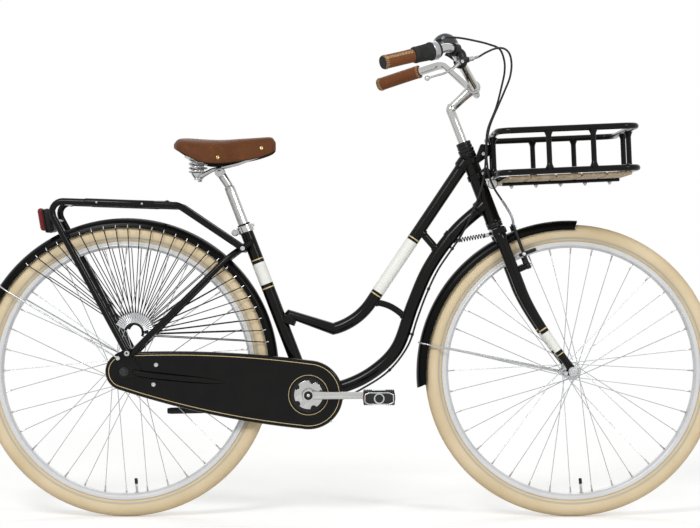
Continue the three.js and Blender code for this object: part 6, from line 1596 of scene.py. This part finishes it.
sprocket_parts = [
    toothed("sprocket", REAR_AXLE, 16, SPROCKET_PITCH, 6, -47.2, -44.8),
    turned("sprocket boss", boss, REAR_AXLE, SIDEWAYS, 40),
]
finished("rear_sprocket_dressed", sprocket_parts, "sprocket", chain_steel, "steel", "rear_sprocket")

# Bottom bracket and cranks: a steel cartridge and its cups, tapered forged arms with a scalloped
# boss, a dark fixing bolt under its ring, and a spindle end at each pedal.
cups = [
    (8.9, -37), (15.4, -37), (16.8, -36), (16.8, 36), (15.4, 37), (12, 37), (11.6, 36.4), (8.9, 36.4),
    (8.9, -37),
]
axle = [(0.01, -74), (7, -74), (8.4, -72.6), (8.5, -50), (8.5, 50), (8.4, 72.6), (7, 74), (0.01, 74)]
finished("bottom_bracket_dressed", turned("cups", cups, CRANK, SIDEWAYS, 48), "frame", bolt_steel, "steel",
         "bottom_bracket")
finished("crank_axle_dressed", turned("axle", axle, CRANK, SIDEWAYS, 40), "cranks", bolt_steel, "steel",
         "crank_axle")
CRANK_LENGTH, ARM_START, ARM_SIDE, ARM_STATIONS, ARM_SIDES = 170, 10.4, 72.5, 25, 28
arm_root = [
    (9, 42.2), (14.6, 42.2), (16, 43.4), (16, 64), (15.4, 66.4), (15.4, 77.8), (14.4, 79), (10.6, 79),
    (10.2, 75.4),
    (9, 75), (9, 42.2),
]
arm_end = [(0.01, 66.3), (10.2, 66.3), (11.2, 67.2), (11.2, 77.8), (10.2, 78.8), (0.01, 78.8)]
pedal_axle = [
    (0.01, 62.5), (5, 63), (6, 64), (6, 79), (7.6, 80), (7.6, 83), (6, 84), (6, 183), (5, 185), (0.01, 185),
]
arm_bolt = [
    (0.01, 74.4), (9.8, 74.4), (10, 76), (8.8, 77.4), (5.4, 78), (4.4, 77.2), (4.2, 75.4), (0.01, 75.2),
]
arm_socket = [(0.01, 75), (3.9, 75), (3.9, 77.4), (3, 78), (0.01, 78)]


def crank_arm(side, label):
    """An arm with hollowed flanks, its boss, the pedal's spindle and the bolt."""
    rings = []
    for i in range(ARM_STATIONS + 1):
        t = i / ARM_STATIONS
        reach = ARM_START + (CRANK_LENGTH - ARM_START) * t
        half_high, half_thick = 9.2 + 2 * exp((ARM_START - reach) / 16) - 0.8 * t, 6.4 - 0.6 * sin(pi * t)
        rings.append([
            CRANK + mm(-side * reach, side * ARM_SIDE + copysign(abs(cos(a)) ** 0.55, cos(a)) * half_thick,
                       copysign(abs(sin(a)) ** 0.8, sin(a)) * half_high)
            for a in (2 * pi * k / ARM_SIDES for k in range(ARM_SIDES))
        ])
    end, out, name = CRANK + mm(-side * CRANK_LENGTH, 0, 0), SIDEWAYS * side, f"crank_{label}"
    parts = [
        skin("arm", rings), turned("root", arm_root, CRANK, out, 48), turned("end", arm_end, end, out, 40),
        turned("spindle", pedal_axle, end, out, 32),
    ]
    finished(name + "_dressed", parts, "cranks", polished_alloy, "alloy", name)
    finished(name + "_bolt", turned("bolt", arm_bolt, CRANK, out, 32), "cranks", black_alloy, "dark_steel")
    finished(name + "_bolt_socket", turned("socket", arm_socket, CRANK, out, 24), "cranks", bolt_steel,
             "steel")


crank_arm(-1, "right")
crank_arm(1, "left")

# Pedals: two ribbed rubber blocks in a bright cage of end plates on a barrel with dust caps, and
# an amber reflector let into each block's outer face.
cage_steel = material_with(
    "pedal cage steel", (0.56, 0.57, 0.58), (0.4, 0.41, 0.42), (0.25, 0.45), 60, metallic=1.0, bump=0.1
)
amber = material_with("amber reflector", (0.75, 0.23, 0.015), (0.62, 0.17, 0.01), (0.08, 0.18), 200, coat=0.7)
BLOCK_AHEAD = 26.5
end_outline = [(-33, -9), (-33, 9), (-24, 13), (24, 13), (33, 9), (33, -9), (24, -13), (-24, -13)]
cage_outline = [(-33.6, -9), (-33.6, 9), (-24, 13.4), (24, 13.4), (33.6, 9), (33.6, -9), (24, -13.4),
                (-24, -13.4)]
cap_ring = [(9.6, 186.6), (12.6, 186.6), (12.6, 188.2), (9.6, 188.2), (9.6, 186.6)]
dust_cap = [(0.01, 186.9), (9, 186.9), (9, 187.8), (8, 188.6), (0.01, 189)]
barrel = [
    (6.6, 93), (9, 93), (10, 94), (10, 100), (8.8, 104), (8.4, 140), (8.8, 176), (10, 180), (10, 185.6),
    (8.6, 187),
    (0.01, 187), (0.01, 185.6), (6.6, 185.6), (6.6, 93),
]


def pedal(side, label):
    centre, middle, out = CRANK + mm(-side * CRANK_LENGTH, 0, 0), side * 140, SIDEWAYS * side
    blocks, cage, lights = [], [], []
    for x in (-BLOCK_AHEAD, BLOCK_AHEAD):
        blocks.append(block("block", (21.5, 89, 29), 3, 3, spot(centre + mm(x, middle, 0))))
        blocks += [
            block("rib", (3, 84, 2.6), 0.8, 2, spot(centre + mm(x - 8.6 + 4.3 * k, middle, face * 15)))
            for face in (-1, 1) for k in range(5)
        ]
        light_place = centre + mm(x + copysign(11.1, x), middle, 0)
        lights.append(block("light", (2.4, 46, 13), 1, 2, spot(light_place)))
        for z in (-7, 7):
            cage.append(rod("tie", centre + mm(x, side * 93.4, z), centre + mm(x, side * 186.8, z), 2.6, 12))
    for y in (side * 95, side * 185):
        blocks.append(plate("cage plate", softened(end_outline, 4, 4, centre), y - 1.9, y + 1.9, 0.7))
    for y in (side * 92.6, side * 187):
        line = rounded([centre + mm(x, y, z) for x, z in cage_outline], 4, 4, True)
        cage.append(tube("rail", line, 1.5, 10, cyclic=True))
    blocks.append(turned("cap", dust_cap, centre, out, 32))
    cage += [turned("cap ring", cap_ring, centre, out, 40), turned("barrel", barrel, centre, out, 36)]
    body = f"pedal_{label}"
    finished(body + "_blocks", blocks, body, black_rubber, "rubber", body)
    finished(body + "_cage", cage, body, cage_steel, "steel")
    finished(body + "_reflectors", lights, body, amber, "clear_lens")


pedal(-1, "right")
pedal(1, "left")

# Kickstand: a forged alloy head on its pin, a tapered leg and a black rubber shoe.
kick_start, kick_end = KICK + mm(0, 41.15, 0), KICK + mm(-286, 65.15, -8)
shoe_start = kick_start.lerp(kick_end, 0.68)
leg_line = [kick_start.lerp(kick_end, t) for t in (0.02, 0.06, 0.14, 0.3, 0.5, 0.7, 0.86, 0.985)]
shoe_line = [shoe_start.lerp(kick_end, t) for t in (0, 0.03, 0.3, 0.6, 0.92, 1)]
kick_parts = [
    turned("head", [(5.4, 34.4), (10, 34.4), (11, 35.4), (11, 46.8), (10, 47.9), (5.4, 47.9), (5.4, 34.4)],
           KICK, SIDEWAYS, 40),
    oval_bar("leg", leg_line, spread([16, 15, 13.6, 13], 8), spread([13, 14, 13, 13], 8), SIDEWAYS, 24),
]
shoe = oval_bar("shoe", shoe_line, [14.6, 16, 16, 16, 16, 13], [14.6, 16, 16, 16, 16, 12], SIDEWAYS, 28)
finished("kickstand_dressed", kick_parts, "kickstand", hub_alloy, "alloy", "kickstand")
finished("kickstand_shoe", shoe, "kickstand", black_rubber, "rubber")
finished("kickstand_bolt", screw_head(KICK + mm(0, 49, 0), SIDEWAYS, 7, 3.4), "frame", bolt_steel, "steel")

# Rim brake: black linear-pull arms on the fork's studs, rubber pads on their posts, and the bent
# guide pipe with its boot that takes the cable across.
ARM_AHEAD, PAD_HEIGHT = 38.6, 309
brake_eye = [(4.2, 33.7), (7.4, 33.7), (8, 34.4), (8, 42.8), (7.4, 43.5), (4.2, 43.5), (4.2, 33.7)]
for side, label in ((-1, "right"), (1, "left")):
    body, out = f"brake_arm_{label}", SIDEWAYS * side
    arm_line = even(smooth([
        on_steer(height, ahead, side * across) for height, ahead, across in (
            (277, ARM_AHEAD, STUD_SIDE), (310, ARM_AHEAD, 40.8), (350, ARM_AHEAD, 41.5), (383, 39.6, 37),
        )
    ], 6), 14)
    parts = [
        turned("eye", brake_eye, on_steer(279, 0, side * STUD_SIDE), STEER_AHEAD, 32),
        oval_bar("arm", arm_line, spread([13, 11, 9.4, 9, 8.6], 15), spread([9, 8.4, 8, 8], 15),
                 STEER_AHEAD, 20),
        rod("post", on_steer(PAD_HEIGHT, ARM_AHEAD, side * 23), on_steer(PAD_HEIGHT, ARM_AHEAD, side * 46),
            3.4, 16),
    ]
    bolts = [
        screw_head(on_steer(279, 43.6, side * STUD_SIDE), STEER_AHEAD, 5.2, 3.6),
        nut(on_steer(PAD_HEIGHT, ARM_AHEAD, side * 43), out, 4.6, 3.4),
        screw_head(on_steer(378, 43.2, side * 38), STEER_AHEAD, 3.4, 2.4),
    ]
    pad_line = [on_steer(PAD_HEIGHT, ahead, side * 20.5) for ahead in (28, 30, 40, 50, 60, 70, 72)]
    pad = oval_bar("pad", pad_line, [7.6, 9.4, 9.6, 9.6, 9.6, 9.4, 7.6], [6, 8.4, 9, 9, 9, 8.4, 6],
                   STEER_UP, 20)
    finished(body + "_dressed", parts, body, black_alloy, "black_plastic", body)
    finished(body + "_bolts", bolts, body, bolt_steel, "steel")
    finished(f"brake_pad_{label}", pad, body, black_rubber, "rubber")
pipe_line = smooth([
    on_steer(381, 39.6, -37),
    *[STEER_FOOT + mm(*p) for p in ((-103.1, -37, 389.7), (-114.1, -36, 411.7), (-127.7, -35, 432.7))],
])
wire_line = smooth([on_steer(384.4, 39.6, -17), on_steer(385, 39.6, 0), on_steer(383, 39.6, 33)], 6)
boot_line = [on_steer(383 + 1.6 * sin(pi * (s + 34) / 68), 39.6, s)
             for s in (-31, -25, -20, -15, -10, -5, 0, 5)]
finished("brake_guide_pipe", tube("pipe", pipe_line, 3, 16), "brake_arm_right", satin_grey, "steel")
finished("brake_wire", tube("wire", wire_line, 0.8, 8), "brake_arm_left", spoke_steel, "steel")
boot = tube("boot", boot_line, 3.4, 16, [2.6, 3.6, 2.8, 3.6, 2.8, 3.4, 2.6, 1.6])
finished("brake_boot", boot, "brake_arm_right", black_rubber, "rubber")

# Cables: black sheathed shift and brake cables in one loop each from the bar, the shift cable
# clipped under the down tube and run along the chain stay to the hub; the coil spring between the
# down tube and the crown keeps the front wheel straight.
CABLE, CABLE_SIDES, UNDER_TUBE = 2.5, 14, 21.7
sheath = material_with(
    "cable sheath", (0.011, 0.011, 0.012), (0.02, 0.02, 0.021), (0.3, 0.45), 150, bump=0.1, shine=0.25
)
SHIFT_EXIT = RIGHT_GRIP.at(25, -22)
shift_out = (SHIFT_EXIT - RIGHT_GRIP.at(49, -16)).normalized()
shift_points = [
    SHIFT_EXIT + shift_out * 0.6 * MM, SHIFT_EXIT + shift_out * 9 * MM,
    *[mm(*p) for p in (
        (241, -209, 1153), (262, -197, 1153), (300, -172, 1149), (336, -146, 1143), (362, -125, 1134),
        (374, -110, 1108), (375.5, -100, 1082), (369, -85, 1046), (358, -68, 1000), (338, -50, 945),
        (335, -40, 905), (334, -34, 870), (330, -31, 830), (312, -28, 768), (276, -14, 690),
    )],
    *[on_down(share, UNDER_TUBE)[0] for share in (0.79, 0.7, 0.6, 0.5, 0.4, 0.3, 0.2)],
    *[mm(*p) for p in (
        (-45, -18, 278), (-97.5, -28, 276), (-130, -30, 290), (-159, -30, 303.5), (-191, -30.5, 308),
        (-240, -32, 313), (-300, -33.5, 318),
    )],
]
shift_cable = finished("shift_cable_dressed", tube("cable", smooth(shift_points, 7), CABLE, CABLE_SIDES),
                       None, sheath,
                       "cable_sheath", "shift_cable")
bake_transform(shift_cable)
brake_points = [
    BRAKE_EXIT + exit_heading * 0.6 * MM, BRAKE_EXIT + mm(28, 4, 7).normalized() * 9 * MM,
    *[mm(*p) for p in (
        (323.2, -180, 1119.2), (350, -171, 1131), (369, -163, 1131.5), (382, -155, 1121.8),
        (388.7, -145, 1099),
        (386.1, -132, 1066.7), (375.1, -120, 1036.7), (361.8, -105, 1004.3), (342, -85, 955), (336, -75, 925),
        (334, -65, 895), (337, -56, 860), (342, -50, 834), (354, -43, 805),
    )],
    pipe_line[-1] + mm(-0.6, 0, 1),
]
finished("brake_cable_dressed", tube("cable", smooth(brake_points, 7), CABLE, CABLE_SIDES), "steering",
         sheath,
         "cable_sheath", "brake_cable")
ferrules = [
    turned("ferrule", [(0.01, 0), (3.1, 0), (3.3, 0.6), (3.3, 9), (2.7, 10), (0.01, 10)], place, out, 16)
    for place, out in (
        (SHIFT_EXIT + shift_out * 0.4 * MM, shift_out), (BRAKE_EXIT + exit_heading * 0.2 * MM, exit_heading),
    )
]
finished("cable_ferrules", ferrules, "steering", satin_grey, "dark_steel")
clip = [(2.6, -3.4), (3.6, -3.2), (3.9, 0), (3.6, 3.2), (2.6, 3.4), (2.6, -3.4)]
clips = [turned("clip", clip, *on_down(share, UNDER_TUBE), 20) for share in (0.44, 0.8, 0.62, 0.3)]
finished("cable_clips", clips, "frame", black_plastic, "black_plastic")
dark_spring = material_with(
    "dark spring steel", (0.07, 0.07, 0.075), (0.035, 0.035, 0.038), (0.25, 0.42), 100, metallic=0.9, bump=0.1
)
SPRING_BACK, SPRING_FRONT = on_steer(397.7, -100), on_steer(384, -26)
spring_axis = (SPRING_FRONT - SPRING_BACK).normalized()
low, high = SPRING_BACK + spring_axis * 7 * MM, SPRING_FRONT - spring_axis * 7 * MM
spring_end = [(0.01, 4.6), (4.6, 4.6), (5.4, 5.4), (5.4, 8), (3, 9), (0.01, 9)]
spring_parts = [
    helix("coils", low, high, 5.2, 1.3, 9),
    turned("end", spring_end, SPRING_BACK, spring_axis, 24),
    turned("end", spring_end, SPRING_FRONT, -spring_axis, 24),
]
spring = finished("steering_spring_dressed", spring_parts, None, dark_spring, "dark_steel", "steering_spring")
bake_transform(spring)
for name, place, body in (
    ("steering_spring_eyes", SPRING_BACK, "frame"), ("steering_spring_fork_eye", SPRING_FRONT, "steering"),
):
    eye = turned("eye", chamfered(-5.2, 5.2, 4.8, 5.6, 1.2), place, SIDEWAYS, 24)
    finished(name, eye, body, bolt_steel, "steel")

# Front carrier: two rounded loops of black tube joined by uprights with flared welds, hung on two
# bands round the head tube by cast brackets.
BASKET_REAR, BASKET_TILT = mm(356, 0, 834), 2.4
BASKET_RUN, BASKET_HALF, BASKET_RISE = 328, 212.5, 98.5
BASKET_ALONG, BASKET_UP = (about(Vector((0, 0, 0)), 1000, BASKET_TILT + turn) for turn in (0, 90))


def in_basket(height, ahead, side=0.0):
    return BASKET_REAR + (BASKET_UP * height + BASKET_ALONG * ahead + SIDEWAYS * side) * MM


basket_parts = []
for height in (0, BASKET_RISE):
    corners = [
        in_basket(height, ahead, side * BASKET_HALF)
        for ahead, side in ((0, -1), (BASKET_RUN, -1), (BASKET_RUN, 1), (0, 1))
    ]
    basket_parts.append(tube("loop", rounded(corners, 34, 10, True), 7.5, 28, cyclic=True))
gusset = [(0.01, 5.4), (11.5, 5.4), (9.6, 8.6), (7.6, 13), (6.2, 19), (0.01, 19)]
posts = [(share * BASKET_RUN, side * BASKET_HALF) for share in (0.36, 0.68) for side in (-1, 1)]
posts += [(BASKET_RUN, -50), (BASKET_RUN, 50), (0, -30), (0, 30)]
for ahead, side in posts:
    foot, top = in_basket(0, ahead, side), in_basket(BASKET_RISE, ahead, side)
    basket_parts += [
        flared("upright", straight(foot, top, 16), 6.5, (1.15, 1.15), 20),
        turned("gusset", gusset, foot, BASKET_UP, 28), turned("gusset", gusset, top, -BASKET_UP, 28),
    ]
bar_line = straight(in_basket(66, 0, -30), in_basket(66, 0, 30), 8)
basket_parts.append(flared("bar", bar_line, 5, (1.3, 1.3), 16))
brackets = [
    plate("bracket", softened(outline, 4, 4), -15, 15, 2) for outline in (
        ((300, 866), (318, 866), (352, 890), (356, 910), (324, 914), (312, 882)),
        ((312, 824), (352, 830), (354, 846), (336, 858), (314, 842)),
    )
]
for start, end, radius in ((380, 568, 19.4), (577, 640, 20.6)):
    cut(tube("clearance", [on_steer(start), on_steer(end)], radius, 40), *brackets)
band = [(19.4, -7), (21.2, -7), (22, -6.2), (22, 6.2), (21.2, 7), (19.4, 7), (19.4, -7)]
bands = [turned("head band", band, on_steer(height), STEER_UP, 56) for height in (568, 527)]
finished("basket_frame_dressed", [*basket_parts, *brackets, *bands], "frame", black_paint, "black_paint",
         "basket_frame")
basket_bolts = [
    screw_head(mm(330, side * 15, z), SIDEWAYS * side, 4.6, 2.6) for side in (-1, 1) for z in (889, 841)
]
finished("basket_bracket_bolts", basket_bolts, "frame", bolt_steel, "steel")

# Carrier floor: five pale oiled slats across the loop, bolted through to one black bar below.
wood, tree = new_material("oiled pale wood", {})
node(tree, "place", "TexCoord")
node(tree, "stretch", "Mapping", {"Scale": (60, 3.2, 60)})
node(tree, "rings", "TexNoise", {"Scale": 1.6, "Detail": 8, "Distortion": 1.4})
node(tree, "fine stretch", "Mapping", {"Scale": (900, 24, 900)})
node(tree, "fibre", "TexNoise", {"Scale": 1, "Detail": 3})
ramp(tree, "tones", (0.34, (0.33, 0.25, 0.15)), (0.62, (0.50, 0.41, 0.28)))
node(tree, "tint", "Mix", {"B": (0.72, 0.64, 0.52, 1)}, data_type="RGBA", blend_type="MULTIPLY")
node(tree, "relief", "Bump", {"Strength": 0.3, "Distance": 0.0005})
node(tree, "gloss", "MapRange", {"To Min": 0.42, "To Max": 0.62})
wire(
    tree, "place.Object > stretch.Vector", "place.Object > fine stretch.Vector", "stretch.0 > rings.Vector",
    "fine stretch.0 > fibre.Vector", "rings.Fac > tones.Fac", "tones.Color > tint.A",
    "fibre.Fac > tint.Factor",
    "tint.Result > Principled BSDF.Base Color", "fibre.Fac > relief.Height",
    "relief.0 > Principled BSDF.Normal",
    "fibre.Fac > gloss.Value", "gloss.0 > Principled BSDF.Roughness",
)
SLATS, SLAT_TOP, SLAT_THICK, SLAT_STEP, SLAT_FIRST, BOLT_END = 5, -7.8, 9, 60.3, 43, -24.2
FIRST_SPARE, FLOOR_MIDDLE = 7, SLAT_FIRST + SLAT_STEP * 2
basket_turn = Matrix.Rotation(radians(-BASKET_TILT), 4, "Y")
bolt_head = [(0.01, -0.6), (6, -0.6), (6, 0.6), (4.2, 1.8), (2.2, 2.3), (0.01, 2.4)]
slats, slat_bolts = [], []
for i in range(SLATS):
    ahead, spare = SLAT_FIRST + i * SLAT_STEP, 0 if i else FIRST_SPARE
    end = in_basket(BOLT_END, ahead)
    slat_place = spot(in_basket(SLAT_TOP - SLAT_THICK / 2, ahead + spare / 2))
    slats.append(block("slat", (56.6 - spare, 410, 8.8), 2.4, 3, slat_place, basket_turn))
    slat_bolts += [
        *[turned("head", bolt_head, in_basket(SLAT_TOP, ahead, side), BASKET_UP, 24)
          for side in (-150, 0, 150)],
        nut(end, -BASKET_UP, 5.4, 4),
        turned("end", [(0.01, 3), (3, 3), (3, 6.4), (2.4, 7), (0.01, 7)], end, -BASKET_UP, 16),
    ]
finished("basket_slats", slats, "frame", wood, "wood", "basket_floor")
bar_place = spot(in_basket(SLAT_TOP - SLAT_THICK - 3.5, FLOOR_MIDDLE))
floor_bar = block("bar", (SLAT_STEP * 4 + 47, 26, 8), 1.4, 3, bar_place, basket_turn)
finished("basket_floor_bar", floor_bar, "frame", black_paint, "black_paint")
finished("basket_slat_bolts", slat_bolts, "frame", bolt_steel, "steel")

# Front reflector: a clear prismatic disc in a thin rim, on a stem below the carrier's rear corner.
REFLECTOR = mm(352, -26, 815)
prism, tree = new_material("clear prism reflector", {"Roughness": 0.1, "Coat Weight": 1.0})
node(tree, "place", "TexCoord")
node(tree, "cells", "TexVoronoi", {"Scale": 520, "Randomness": 0.15})
node(tree, "tint", "Mix", {"A": (0.74, 0.75, 0.74, 1), "B": (0.42, 0.43, 0.43, 1)}, data_type="RGBA")
node(tree, "relief", "Bump", {"Strength": 0.5, "Distance": 0.0006})
wire(
    tree, "place.Object > cells.Vector", "cells.Distance > tint.Factor",
    "tint.Result > Principled BSDF.Base Color", "cells.Distance > relief.Height",
    "relief.0 > Principled BSDF.Normal",
)
disc = turned("disc", chamfered(-3.9, 3.9, 10.4, 11.4, 0.9), REFLECTOR, SIDEWAYS, 48)
rim_parts = [
    turned("rim", [(11, -3.6), (12, -3.4), (12, 3.4), (11, 3.6), (11, -3.6)], REFLECTOR, SIDEWAYS, 48),
    rod("stem", REFLECTOR + UPWARD * 11 * MM, in_basket(-8.2, -2, -26), 2.5, 12),
]
finished("front_reflector_dressed", disc, "frame", prism, "clear_lens", "front_reflector")
finished("front_reflector_rim", rim_parts, "frame", black_plastic, "black_plastic")
